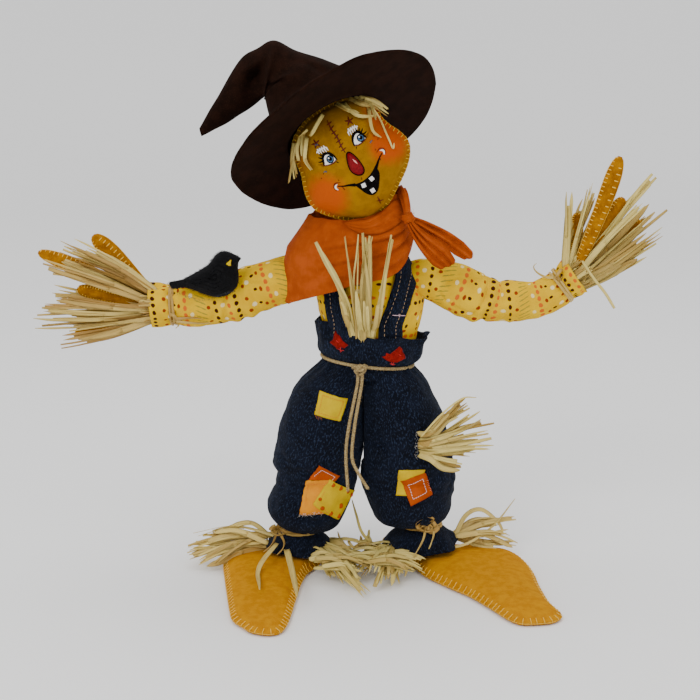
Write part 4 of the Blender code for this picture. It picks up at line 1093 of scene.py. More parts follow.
def build_hair(skin):
    rng = random.Random(11)
    shape = Shape()
    # width, then the strand's u, v points, all in millimetres of the face's plane
    strands = (
        (3.2, (-1.5, 44.0), (-9.0, 40.0), (-18.4, 34.3)), (2.6, (-22.3, 39.5), (-28.0, 32.0), (-32.5, 24.5)),
        (3.4, (-21.5, 35.0), (-27.5, 27.0), (-32.6, 20.0)), (2.8, (-29.0, 26.0), (-31.9, 19.0), (-31.3, 10.9)),
        (2.6, (-33.8, 35.6), (-39.5, 28.0), (-44.6, 20.6)), (1.5, (-31.7, 34.9), (-43.0, 22.0), (-52.8, 10.1)),
        (1.3, (-42.0, 22.5), (-45.5, 16.5), (-48.1, 10.2)), (2.2, (-17.7, 39.8), (-23.0, 38.6), (-27.4, 37.7)),
        (3.0, (-26.0, 38.0), (-33.0, 31.0), (-37.0, 22.0)), (2.4, (-36.0, 33.0), (-41.0, 24.0), (-45.0, 13.0)),
        (2.4, (27.0, 43.0), (37.5, 31.0), (44.1, 17.2)), (2.8, (30.3, 41.4), (38.5, 33.0), (43.3, 24.9)),
        (3.6, (17.3, 44.3), (22.0, 31.0), (34.2, 22.5)), (3.4, (15.6, 44.3), (17.0, 39.0), (24.7, 31.3)),
        (3.0, (33.0, 30.0), (27.4, 14.5), (30.4, 5.6)), (2.8, (32.6, 38.3), (35.0, 30.0), (33.1, 19.4)),
        (2.6, (23.0, 44.0), (29.0, 36.0), (38.0, 28.0)), (3.0, (12.0, 46.0), (15.0, 42.0), (20.0, 34.5)),
        (2.2, (36.0, 37.0), (42.0, 29.0), (45.5, 21.5)),
    )
    for width, *points in strands:
        for twin in range(2):
            shift = vec(rng.uniform(-1, 1), rng.uniform(-0.6, 0.6)) * (0.5 + 1.2 * twin)
            path = []
            lift = rng.uniform(0.0006, 0.0034)
            for k, (u, v) in enumerate(smooth([vec(*p) + shift for p in points], 12)):
                start, aim = head_place(u / 1000, v / 1000)
                hit = skin.tree.ray_cast(Vector(start), Vector(aim))[0]
                base = np.array(hit) if hit is not None else start - FRONT * FACE_RAY
                path.append(base + FRONT * (lift + 0.0020 * math.sin(math.pi * k / 11) + 0.0006 * k / 11))
            ribbon(
                shape, path, width * (0.55 if twin else 0.95) / 1000, FRONT,
                rng.uniform(0.0, 0.5) if twin else rng.uniform(0.5, 1.0),
                twist=rng.uniform(-0.8, 0.8), curl=0.4, ends=(1.0, rng.choice((0.9, 0.5, 0.2))),
            )
    long_one = []
    for u, v in smooth([(33, 34), (34.8, 22), (34.2, 8), (32.9, -7.1)], 16):
        start, aim = head_place(u / 1000, v / 1000)
        long_one.append(skin.cast(start, aim, 0.0016))
    hook = long_one[-1]
    ribbon(shape, long_one, 0.0016, FRONT, 0.95, curl=0.2, ends=(1.0, 0.8))
    ribbon(
        shape,
        [
            hook, hook + RIGHT * 0.0012 + UP * 0.0010 + FRONT * 0.0005,
            hook + RIGHT * 0.0030 + UP * 0.0036 + FRONT * 0.0012,
        ],
        0.0015, FRONT, 0.95, ends=(1.0, 0.4),
    )
    emit("hair_straw", shape, PALE_STRAW, "head", replaces=("hair_straw_right", "hair_straw_left"), slot="straw")


skin_of_head = build_head()
build_face(skin_of_head)
build_hat()
build_hair(skin_of_head)


# ------------------------------------------------------------------ torso
def oval(centre, half_width, half_depth, sides, power=2.0):
    """A level ring, starting at +X and turning through +Y; a power over 2 squares it."""
    a = circle(sides)
    c = np.sign(np.cos(a)) * np.abs(np.cos(a)) ** (2 / power)
    s = np.sign(np.sin(a)) * np.abs(np.sin(a)) ** (2 / power)
    return np.stack((centre[0] + c * half_width, centre[1] + s * half_depth, np.full(sides, centre[2])), axis=1)


SHIRT = (
    (0.176, 0.0145, 0.000, 0.0350, 0.0262), (0.184, 0.0145, 0.000, 0.0362, 0.0272),
    (0.200, 0.0165, 0.000, 0.0385, 0.0300), (0.216, 0.0180, 0.000, 0.0405, 0.0330),
    (0.228, 0.0180, 0.000, 0.0440, 0.0345), (0.242, 0.0170, 0.000, 0.0465, 0.0348),
    (0.254, 0.0150, 0.000, 0.0435, 0.0322), (0.266, 0.0130, -0.002, 0.0385, 0.0282),
    (0.279, 0.0125, -0.006, 0.0320, 0.0222), (0.291, 0.0100, -0.010, 0.0235, 0.0165),
    (0.300, 0.0080, -0.010, 0.0150, 0.0120),
)


def build_shirt():
    rows = []
    for z, x, y, w, d in through(SHIRT, 60):
        ring = []
        for i, p in enumerate(oval((x, y, z), w, d, 120)):
            out = unit(p - vec(x, y, z))
            gather = hump(z - 0.186, 0.016)
            angle = 2 * math.pi * i / 120
            fold = 0.0012 * gather * math.sin(17 * angle + 2.0 * math.sin(3 * angle))
            fold += 0.0016 * wobble(vec(p[0], p[1], p[2] * 0.45), 60, 2) + 0.0007 * wobble(p, 130, 6)
            ring.append(p + out * fold)
        rows.append(ring)
    shape = Shape().net(rows, caps=(True, True))
    emit("shirt_cloth", shape, PRINT_BODY, "torso", replaces=("shirt_body", "torso_body"), slot="printed_cotton")
    return shape


WAIST_Z = 0.1868
WAIST_SLOPE = -0.11
OVERALLS = (
    (0.1740, 0.0138, 0.0, 0.0376, 0.0290), (0.1800, 0.0144, 0.0, 0.0368, 0.0290), (0.1835, 0.0147, 0.0, 0.0361, 0.0288),
    (0.1868, 0.0150, 0.0, 0.0357, 0.0286), (0.1892, 0.0156, 0.0, 0.0384, 0.0312), (0.1920, 0.0166, 0.0, 0.0420, 0.0348),
    (0.1955, 0.0172, 0.0, 0.0440, 0.0370), (0.2000, 0.0176, 0.0, 0.0440, 0.0378), (0.2050, 0.0178, 0.0, 0.0434, 0.0376),
    (0.2105, 0.0192, 0.0, 0.0424, 0.0376),
)


RIM_RISE = (  # x, and how far the torn rim of the waist stands up there
    (-0.0264, -0.0092, 0.0084, 0.0250, 0.0418, 0.0641),
    (0.0050, 0.0122, 0.0020, 0.0044, 0.0015, -0.0022),
)


def build_waist():
    rows = []
    table = through(OVERALLS, 34)
    for z, x, y, w, d in table:
        ring = []
        up = max(0.0, (z - WAIST_Z) / 0.0237)
        for i, p in enumerate(oval((x, y, z), w, d, 200)):
            angle = 2 * math.pi * i / 200
            out = unit((p - vec(x, y, z)) * (1, 1.3, 0))
            wave = math.sin(9 * angle + 1.1 * math.sin(2 * angle)) + 0.5 * math.sin(16 * angle + 1)
            pleat = 0.0007 * math.sin(34 * angle + 3 * math.sin(5 * angle)) * hump(z - WAIST_Z, 0.008)
            move = 0.0016 * wave * up**1.4 + pleat + 0.0009 * wobble(p, 90, 1)
            centre_dip = -0.0034 * hump(math.degrees(angle) - 255, 9) * min(1, up * 1.6)
            q = p + out * (move + centre_dip)
            q[2] += WAIST_SLOPE * (q[0] - x) * min(1, max(0, (z - 0.1765) / 0.007)) * (1 - 0.55 * up)
            q[2] -= 0.0010 * up**2 * hump(math.degrees(angle) - 258, 17)
            q[2] += float(np.interp(q[0], *RIM_RISE)) * up**2
            q[2] += (0.0016 * math.sin(7 * angle + 2) + 0.0012 * wobble(p, 70, 8)) * up**2
            q[2] += up**3 * (0.0030 * hump(p[0] - x - w, 0.008) + 0.0040 * hump(p[0] - x + w, 0.007))
            q = q + out * 0.0050 * up**4 * hump(abs(p[0] - x) - w, 0.008)
            ring.append(q)
        rows.append(ring)
    shape = Shape().net(rows)
    emit(
        "overalls_waist_cloth", shape, DENIM, "torso", replaces=("overalls_waist",), slot="denim", thick=0.0013,
        offset=0.6,
    )
    edge = Shape()
    rng = random.Random(4)
    top = np.array(rows[-1])
    for i in range(0, 200, 2):
        for _ in range(2):
            p = top[i] + vec(rng.uniform(-0.0006, 0.0006), rng.uniform(-0.0006, 0.0006), -0.0004)
            hair(
                edge, p, (rng.uniform(-1, 1), rng.uniform(-1, 1), rng.uniform(0.4, 1.6)), rng.uniform(0.0007, 0.0019),
                0.00009, rng.random(),
            )
    emit(
        "overalls_waist_fray", edge, paint("denim_fray", srgb(0.22, 0.27, 0.38), srgb(0.55, 0.60, 0.70), 0.9, 1800),
        "torso", slot="denim",
    )
    return shape


STRAP_AXIS = (-0.001, 0.2240)  # y, z of the line that both straps bend round
STRAP_RAY = 0.09


def build_straps(shirt):
    skin = Skin(shirt)
    strap, stitches = Shape(), Shape()
    for low_x, top_x in ((-0.0066, -0.0130), (0.0330, 0.0462)):
        top, bottom = [], []
        lines = {-0.25: [], 0.22: []}
        for j in range(61):
            angle = math.radians(-30 + 240 * j / 60)
            out = vec(0, -math.cos(angle), math.sin(angle))
            share = max(0.0, math.sin(angle))
            x = low_x + (top_x - low_x) * share
            width = 0.0185 + (0.0165 - 0.0185) * share
            upper, lower = [], []
            for k in range(13):
                s = k / 12 - 0.5
                start = vec(x + width * s, *STRAP_AXIS) + out * STRAP_RAY
                lift = 0.0030 + 0.0003 * math.cos(4 * math.pi * s)
                lift += 0.0004 * wobble(start, 60, 2)
                spot = skin.cast(start, -out, lift)
                edge = 0.0006 if k in (0, 12) else 0.0
                upper.append(spot - out * edge)
                lower.append(spot - out * 0.0014)
            top.append(upper)
            bottom.append(lower)
            for s in lines:
                spot = skin.cast(vec(x + width * s, *STRAP_AXIS) + out * STRAP_RAY, -out, 0.0033)
                lines[s].append(spot)
        strap.slab(top, bottom)
        for s, line in lines.items():
            line = smooth(line, 96)
            for k in range(0, 94, 2):
                a, b = line[k], line[k + 1]
                out = unit(a - vec(a[0], 0, 0.2300)) * 0.00035
                thread(
                    stitches,
                    [a - out, a + (b - a) * 0.2 + out * 0.3, (a + b) / 2 + out, b - (b - a) * 0.2 + out * 0.3, b - out],
                    0.00025,
                )
    emit("straps", strap, DENIM, "torso", replaces=("strap_right", "strap_left"), slot="denim")
    emit("strap_topstitch", stitches, TAN_THREAD, "torso", slot="twine")
    cross = Shape()
    on = Skin(strap)
    for a, b in (((0.0352, 0.2324), (0.0462, 0.2308)), ((0.0408, 0.2330), (0.0410, 0.2302))):
        points = [on.front(a[0] + (b[0] - a[0]) * t, a[1] + (b[1] - a[1]) * t, 0.00035) for t in np.linspace(0, 1, 7)]
        thread(cross, points, 0.00032)
    emit("strap_cross_stitch", cross, PINK_THREAD, "torso", slot="twine")


PATCH_THICK = 0.0007
PATCH_CELLS = 16
STITCH_GAP = 0.35


def patch(shape, skin, corners, lift, ragged=0.0005, seed=0, crease=0.0):
    """A cut piece of cloth laid on another. Corners are x, z, in order round it. Gives its place at s, t."""
    c = np.asarray(corners, float)

    def flat(s, t):
        return c[0] * (1 - s) * (1 - t) + c[1] * s * (1 - t) + c[2] * s * t + c[3] * (1 - s) * t

    top, bottom = [], []
    for j in range(PATCH_CELLS + 1):
        upper, lower = [], []
        for i in range(PATCH_CELLS + 1):
            s, t = i / PATCH_CELLS, j / PATCH_CELLS
            x, z = flat(s, t)
            if i in (0, PATCH_CELLS) or j in (0, PATCH_CELLS):
                x += ragged * noise.noise(Vector((x * 900, z * 900, seed)))
                z += ragged * noise.noise(Vector((x * 900, seed + 9.0, z * 900)))
            edge = min(s, 1 - s, t, 1 - t)
            lump = noise.noise(Vector((x * 160, z * 160, seed + 4.0)))
            puff = PATCH_THICK * (0.65 if edge == 0 else 1.0) + crease * lump
            near = skin.front(x, z, lift)
            upper.append(near + FRONT * puff)
            lower.append(near - FRONT * 0.0003)
        top.append(upper)
        bottom.append(lower)
    shape.slab(top, bottom)
    return lambda s, t: skin.front(*flat(s, t), lift) + FRONT * PATCH_THICK


def running_stitches(shape, at, route, pitch, radius=0.00022):
    """Stitches along straight runs between points s, t of a patch."""
    for (s0, t0), (s1, t1) in zip(route, route[1:]):
        a, b = at(s0, t0), at(s1, t1)
        count = max(2, round(np.linalg.norm(b - a) / pitch))
        for k in range(count):
            p = at(s0 + (s1 - s0) * k / count, t0 + (t1 - t0) * k / count)
            q = at(s0 + (s1 - s0) * (k + 1 - STITCH_GAP) / count, t0 + (t1 - t0) * (k + 1 - STITCH_GAP) / count)
            thread(
                shape,
                [
                    p + FRONT * -0.0001, (p * 3 + q) / 4 + FRONT * 0.00022, (p + q * 3) / 4 + FRONT * 0.00022,
                    q + FRONT * -0.0001,
                ],
                radius,
            )


def build_red_patches(waist):
    skin = Skin(waist)
    shape, stitches = Shape(), Shape()
    for outline in (
        (
            (-0.0112, 0.2172), (-0.0098, 0.2147), (-0.0076, 0.2135), (-0.0056, 0.2097), (-0.0010, 0.2067),
            (-0.0044, 0.2033), (-0.0066, 0.2049), (-0.0100, 0.2017), (-0.0114, 0.2037), (-0.0164, 0.2065),
            (-0.0132, 0.2093), (-0.0124, 0.2133),
        ),
        (
            (0.0408, 0.2051), (0.0428, 0.2025), (0.0434, 0.1997), (0.0456, 0.1967), (0.0460, 0.1941), (0.0428, 0.1933),
            (0.0392, 0.1915), (0.0362, 0.1923), (0.0328, 0.1929), (0.0260, 0.1973), (0.0298, 0.1979), (0.0302, 0.2005),
            (0.0334, 0.1993), (0.0362, 0.2017),
        ),
    ):
        blob(shape, skin, from_front, outline, 0.0008, thick=0.0012, count=56, sharp=True)
    for (x0, z0), (x1, z1) in (
        ((-0.0076, 0.2039), (-0.0062, 0.2005)), ((-0.0090, 0.2023), (-0.0044, 0.2017)),
        ((-0.0066, 0.2047), (-0.0074, 0.2001)), ((-0.0106, 0.2097), (-0.0084, 0.2079)),
        ((0.0348, 0.1923), (0.0364, 0.1895)), ((0.0334, 0.1915), (0.0376, 0.1903)),
        ((0.0364, 0.1929), (0.0348, 0.1899)), ((0.0398, 0.1987), (0.0420, 0.1971)),
    ):
        thread(
            stitches,
            [
                skin.front(x0 + (x1 - x0) * t, z0 + (z1 - z0) * t, 0.0016 + 0.0006 * math.sin(math.pi * t))
                for t in np.linspace(0, 1, 6)
            ],
            0.00030,
        )
    emit("red_patches", shape, RED_FELT, "torso", replaces=("red_patch_right", "red_patch_left"), slot="red_felt")
    emit("red_patch_thread", stitches, RED_THREAD, "torso", slot="red_felt")


def build_chest_straw():
    rng = random.Random(21)
    shape = Shape()
    strands = (
        # foot x, middle x, z and front, tip x, z, width
        (0.0040, -0.0080, 0.2560, -0.0271, 0.2967, 0.0034), (0.0052, -0.0020, 0.2460, -0.0262, 0.2950, 0.0020),
        (0.0060, 0.0020, 0.2550, -0.0049, 0.3012, 0.0018), (0.0072, 0.0022, 0.2440, -0.0040, 0.3016, 0.0015),
        (0.0085, 0.0036, 0.2600, 0.0074, 0.3030, 0.0021), (0.0098, 0.0060, 0.2500, 0.0066, 0.3000, 0.0014),
        (0.0108, 0.0118, 0.2620, 0.0098, 0.3042, 0.0046), (0.0118, 0.0090, 0.2560, 0.0160, 0.3016, 0.0028),
        (0.0130, 0.0105, 0.2700, 0.0186, 0.3012, 0.0030), (0.0142, 0.0150, 0.2520, 0.0148, 0.2995, 0.0050),
        (0.0155, 0.0160, 0.2380, 0.0112, 0.2880, 0.0030), (0.0168, 0.0230, 0.2420, 0.0328, 0.3024, 0.0034),
        (0.0178, 0.0262, 0.2500, 0.0340, 0.2990, 0.0022), (0.0188, 0.0250, 0.2360, 0.0318, 0.2960, 0.0026),
        (0.0030, -0.0030, 0.2300, -0.0090, 0.2520, 0.0050), (0.0100, 0.0070, 0.2300, 0.0040, 0.2560, 0.0052),
        (0.0150, 0.0130, 0.2280, 0.0120, 0.2480, 0.0040), (0.0186, 0.0210, 0.2260, 0.0230, 0.2450, 0.0038),
    )
    for k, (fx, mx, mz, tx, tz, width) in enumerate(strands):
        for twin in range(2 if width > 0.003 else 1):
            dx = rng.uniform(-0.0010, 0.0010) + twin * 0.0015
            y0 = -0.0316 - 0.0004 * (k % 3)
            y1 = -0.0520 - 0.0020 * rng.random()
            y2 = -0.0560 - 0.0030 * rng.random()
            route = [
                (fx, y0, 0.1980), (fx + (mx - fx) * 0.15 + dx * 0.4, y0 - 0.0010, 0.2090),
                (fx + (mx - fx) * 0.30 + dx * 0.5, y0 - 0.0050, 0.2190), (mx + dx, y1 + 0.004, mz),
                ((mx * 0.4 + tx * 0.6) + dx, y2, mz * 0.4 + tz * 0.6), (tx + dx, y2 - 0.001, tz - twin * 0.004),
            ]
            ribbon(
                shape, smooth(route, 26), width * (0.75 if twin else 1.0), FRONT, rng.uniform(0.3, 1.0),
                twist=rng.uniform(-0.7, 0.7), start_twist=rng.uniform(-0.4, 0.4),
                ends=(0.5, rng.choice((0.25, 0.5, 0.8))), curl=rng.uniform(0.1, 0.5),
            )
    emit("chest_straw_strands", shape, PALE_STRAW, "torso", replaces=("chest_straw",), slot="straw")


TWINE_R = 0.0014
WAIST_ENDS = {
    "long": (
        (0.0068, -0.0372, 0.1815), (0.0056, -0.0450, 0.1720), (-0.0010, -0.0530, 0.1400), (-0.0034, -0.0555, 0.1164),
        (-0.0017, -0.0560, 0.0856),
    ),
    "short": (
        (0.0104, -0.0372, 0.1815), (0.0092, -0.0450, 0.1720), (0.0040, -0.0535, 0.1426), (0.0016, -0.0560, 0.1164),
        (0.0060, -0.0572, 0.1033), (0.0150, -0.0572, 0.0880),
    ),
}


def build_waist_tie():
    # the two free ends first, since they are cords with a real length
    for name, route in WAIST_ENDS.items():
        path = smooth(route, 110)
        shape = Shape()
        twine(shape, path, TWINE_R, (0, 1, 0), pitch=0.0078)
        loose = Shape()
        fuzz(loose, path, TWINE_R, 120, 0.0034, seed=len(name))
        tip = path[-1]
        way = unit(path[-1] - path[-4])
        rng = random.Random(len(name) + 40)
        for _ in range(26):
            a = rng.uniform(0, 2 * math.pi)
            out = vec(math.cos(a), math.sin(a) * 0.6, 0) * rng.uniform(0, 0.9)
            hair(
                loose, tip - way * 0.0012 + out * 0.0009, way + out * 0.45, rng.uniform(0.0020, 0.0036), 0.00012,
                rng.random(),
            )
        made = emit(
            f"waist_tie_end_{name}_twine", shape, JUTE, "torso", replaces=(f"waist_tie_end_{name}",), slot="twine",
        )
        fibres = emit(f"waist_tie_end_{name}_fibres", loose, JUTE, "torso", slot="twine")

    shape = Shape()
    ring = oval((0.0150, 0.0, WAIST_Z), 0.0395, 0.0325, 200)
    ring[:, 2] += WAIST_SLOPE * (ring[:, 0] - 0.0148)
    ring = np.roll(ring, -150, axis=0)
    twine(shape, ring, 0.0015, (0, 0, 1), closed=True, pitch=0.0078)
    fuzz(shape, ring, TWINE_R, 90, 0.0030, seed=5)
    knot = vec(0.0085, -0.0365, 0.1872)
    loops = (
        (
            (-0.0062, 0.0030, -0.0004), (-0.0040, -0.0012, 0.0012), (0.0, -0.0030, 0.0026), (0.0038, -0.0016, 0.0010),
            (0.0040, 0.0004, -0.0020), (0.0008, -0.0008, -0.0048), (-0.0016, -0.0006, -0.0058),
        ),
        (
            (0.0062, 0.0030, 0.0), (0.0036, -0.0008, 0.0022), (-0.0006, -0.0032, 0.0006), (-0.0034, -0.0020, -0.0016),
            (-0.0028, -0.0004, -0.0042), (0.0010, -0.0006, -0.0058), (0.0019, -0.0006, -0.0060),
        ),
        (
            (-0.0044, -0.0008, -0.0018), (-0.0016, -0.0040, -0.0014), (0.0018, -0.0042, -0.0006),
            (0.0044, -0.0010, 0.0004),
        ),
    )
    for loop in loops:
        path = smooth(knot + np.array(loop), 40)
        twine(shape, path, 0.00145, (0.1, 1, 0.2), pitch=0.0070)
    fuzz(shape, smooth(knot + np.array(loops[0]), 20), 0.0016, 40, 0.0034, seed=7)
    emit("waist_tie_twine", shape, JUTE, "torso", replaces=("waist_tie", "waist_tie_knot"), slot="twine")


# ------------------------------------------------------------------ bandana
LEVELS = (0.243, 0.266, 0.286, 0.304, 0.316)
GIRTH = {-1: (0.0585, 0.0592, 0.0562, 0.0440, 0.0345), 1: (0.0600, 0.0570, 0.0515, 0.0452, 0.0392)}
DEPTH = (0.0435, 0.0425, 0.0390, 0.0320, 0.0290)
RIM_AT = (-180, -150, -120, -90, -70, -50, -25, 0, 20, 38, 54, 68, 84, 100, 120, 150, 180)
RIM = (
    (0.004, 0.024, 0.3180), (-0.014, 0.021, 0.3165), (-0.027, 0.012, 0.3146), (-0.0335, -0.002, 0.3130),
    (-0.0325, -0.014, 0.3122), (-0.026, -0.026, 0.3118), (-0.014, -0.034, 0.3114), (-0.001, -0.0375, 0.3116),
    (0.012, -0.0365, 0.3138), (0.0225, -0.032, 0.3185), (0.0300, -0.0265, 0.3246), (0.0355, -0.0200, 0.3300),
    (0.0400, -0.0120, 0.3318), (0.0415, -0.0030, 0.3300), (0.0385, 0.0080, 0.3265), (0.025, 0.0200, 0.3220),
    (0.004, 0.0240, 0.3180),
)


CAPE_POWER = 2.8  # over 2, so that the shoulders are squarer than an oval


def cape(facing, height, lift):
    """A point of the cloth on the shoulders; facing 0 is the front, 90 is +X."""
    a = math.radians(facing)
    c, s = -math.cos(a), math.sin(a)
    share = 0.5 + 0.5 * math.tanh(s * 4)
    w = np.interp(height, LEVELS, GIRTH[-1]) * (1 - share) + np.interp(height, LEVELS, GIRTH[1]) * share
    d = np.interp(height, LEVELS, DEPTH)
    x = math.copysign(abs(s) ** (2 / CAPE_POWER), s) * (w + lift)
    y = math.copysign(abs(c) ** (2 / CAPE_POWER), c) * (d + lift)
    blend = min(1, max(0, (0.304 - height) / 0.04))
    return vec(0.0055 + x, -0.0080 + 0.0070 * blend + y, height)


def build_bandana():
    columns = 170
    hem_at = (-180, -120, -86, -70, -60, -30, -9, 1, 8, 17, 28, 43, 58, 72, 95, 130, 180)
    hem_z = (
        0.2760, 0.2600, 0.2402, 0.2390, 0.2420, 0.2486, 0.2540, 0.2600, 0.2628, 0.2650, 0.2700, 0.2792, 0.2885, 0.2955,
        0.2960, 0.2860, 0.2760,
    )
    rim = np.array(
        [
            [np.interp(-180 + 360 * i / columns, RIM_AT, [row[k] for row in RIM]) for k in range(3)]
            for i in range(columns)
        ]
    )
    rows = []
    for j in range(54):
        t = j / 53
        ring = []
        for i in range(columns):
            facing = -180 + 360 * i / columns
            hem = float(np.interp(facing, hem_at, hem_z)) + 0.0006 * wobble((facing / 30, 0, 0), 1.0, 2)
            top = 0.3040 + 0.0100 * hump(facing - 70, 34)
            share = min(1.0, t / 0.24)
            share = share * share * (3 - 2 * share)
            height = top + (hem - top) * max(0.0, t - 0.12) / 0.88
            # folds that run from the knot on the figure's left across the chest
            drape = 0.0
            reach = hump(facing - 22, 40)
            for level, slope, size, width in (
                (0.2975, 0.00022, 0.0034, 0.0026), (0.2860, 0.00034, 0.0032, 0.0030), (0.2740, 0.00040, 0.0026, 0.0036),
            ):
                off = (height - level - slope * (facing - 10)) / width
                drape += size * reach * (math.exp(-off * off) - 0.7 * math.exp(-((off + 1.5) ** 2)))
            pleats = 0.0012 * math.sin(math.radians(facing) * 13 + 2) * hump(t, 0.22)
            flat = 0.0009 * wobble((facing / 26, height * 40, 0), 1.0, 5)
            flat += 0.0014 * wobble((facing / 60, height * 25, 3), 1.0, 9)
            flare = 0.0020 * t * math.sin(math.radians(facing) * 3 + 0.7)
            spot = cape(facing, height, drape + flat + flare + 0.0016)
            edge = rim[i] + unit((rim[i] - vec(0.004, -0.006, rim[i][2])) * (1, 1, 0)) * pleats
            ring.append(edge * (1 - share) + spot * share)
        rows.append(ring)
    shape = Shape().net(rows)
    cloth = emit(
        "bandana_cloth", shape, ORANGE, "torso", replaces=("bandana",), slot="orange_cotton", thick=0.0008, offset=1.0,
    )

    edge = Shape()
    rng = random.Random(8)
    for i in range(columns):
        for _ in range(2):
            hair(
                edge, np.array(rows[-1][i]) + vec(rng.uniform(-1, 1), rng.uniform(-1, 1), 0.6) * 0.0007,
                (rng.uniform(-1, 1), rng.uniform(-1, 1), -1.5), rng.uniform(0.0007, 0.0016), 0.00008, rng.random(),
            )
    fray = paint("orange_fray", srgb(0.70, 0.33, 0.10), srgb(0.84, 0.48, 0.22), 0.9, 1500)

    # the end of the cloth that crosses the chest from the knot, folded over the rest
    skin = Skin(shape)
    high = smooth(
        (
            (-0.0060, 0.3108), (0.0080, 0.3116), (0.0180, 0.3140), (0.0280, 0.3202), (0.0360, 0.3262), (0.0415, 0.3240),
            (0.0455, 0.3175),
        ),
        60,
    )
    low = smooth(
        (
            (-0.0060, 0.3102), (0.0010, 0.3050), (0.0110, 0.3010), (0.0220, 0.3010), (0.0320, 0.3040), (0.0405, 0.3090),
            (0.0450, 0.3135),
        ),
        60,
    )
    top, bottom = [], []
    for i in range(60):
        t = i / 59
        upper, lower = [], []
        for k in range(25):
            s = k / 24
            x, z = high[i] * (1 - s) + low[i] * s
            ripple = abs(math.sin(math.pi * (2.6 * s + 0.5 * t)))
            fold = 0.0020 * ripple * math.sin(math.pi * min(1, 0.12 + t * 0.8)) + 0.0016 * t**3
            near = skin.front(x, z, 0.0009)
            upper.append(near + FRONT * (fold + 0.0012 * math.sin(math.pi * s) + (0.0011 if s > 0.95 else 0.0019)))
            lower.append(near)
        top.append(upper)
        bottom.append(lower)
    band = Shape().slab(top, bottom)
    crossing = emit("bandana_crossing_fold", band, ORANGE, "torso", slot="orange_cotton")

    # the rolled rim of the cloth round the back of the neck, down to the knot on the figure's left
    roll = Shape()
    route = smooth((
        (-0.0300, 0.0060, 0.3130), (-0.0160, 0.0190, 0.3155), (0.0020, 0.0235, 0.3180), (0.0220, 0.0210, 0.3220),
        (0.0370, 0.0100, 0.3270), (0.0425, -0.0030, 0.3310), (0.0432, -0.0130, 0.3325), (0.0448, -0.0220, 0.3290),
        (0.0465, -0.0300, 0.3220), (0.0470, -0.0350, 0.3160),
    ), 90)
    _, side, face = frames(route, (0, 0, 1))
    rings = []
    for i, p in enumerate(route):
        t = i / 89
        r = 0.0041 * min(1.0, 0.35 + t * 5) * (1 - 0.35 * max(0, (t - 0.72) / 0.28) ** 1.5)
        ring = []
        for k in range(36):
            a = 2 * math.pi * k / 36
            fold = 1 + 0.16 * math.sin(4 * a + 2.2 * t + 1.0) + 0.09 * math.sin(7 * a - 5 * t)
            fold += 0.05 * wobble(p, 160, k * 0.2)
            ring.append(p + (side[i] * math.cos(a) * 0.92 + face[i] * math.sin(a) * 1.25) * r * fold)
        rings.append(ring)
    roll.net(rings, caps=(True, True))
    rolled = emit("bandana_neck_roll", roll, ORANGE, "torso", slot="orange_cotton")

    # the knot: cloth wrapped tightly over itself
    knot = Shape()
    centre = vec(0.0475, -0.0395, 0.3140)
    for turn, (wide, tall), off in ((0.5, (0.0036, 0.0056), 0.0), (-0.55, (0.0030, 0.0046), 0.0012)):
        rings = []
        for i in range(41):
            a = math.radians(-150 + 300 * i / 40)
            middle = centre + vec(off, 0, 0) + vec(math.sin(a) * math.cos(turn), 0, math.sin(a) * math.sin(turn)) * wide
            middle = middle + vec(0, -math.cos(a), 0) * 0.0034
            along = vec(math.cos(a) * math.cos(turn), math.sin(a) * 0.8, math.cos(a) * math.sin(turn))
            cross = unit(vec(-math.sin(turn), 0, math.cos(turn)))
            out = unit(np.cross(unit(along), cross))
            ring = []
            for k in range(22):
                b = 2 * math.pi * k / 22
                crease = 1 + 0.20 * math.sin(5 * b + i * 0.12)
                ring.append(middle + cross * math.cos(b) * tall * 0.62 * crease + out * math.sin(b) * 0.0017 * crease)
            rings.append(ring)
        knot.net(rings, caps=(True, True))
    tied = emit("bandana_knot_cloth", knot, ORANGE, "torso", replaces=("bandana_knot",), slot="orange_cotton")
    for _ in range(60):
        p = centre + vec(rng.uniform(-0.003, 0.005), rng.uniform(-0.005, -0.002), rng.uniform(-0.002, 0.006))
        hair(
            edge, p, (rng.uniform(-0.5, 1), rng.uniform(-0.6, 0), rng.uniform(-0.8, 1)), rng.uniform(0.0014, 0.0040),
            0.00009, rng.random(), bend=vec(rng.uniform(-1, 1), 0, rng.uniform(-1, 1)) * 0.0008,
        )

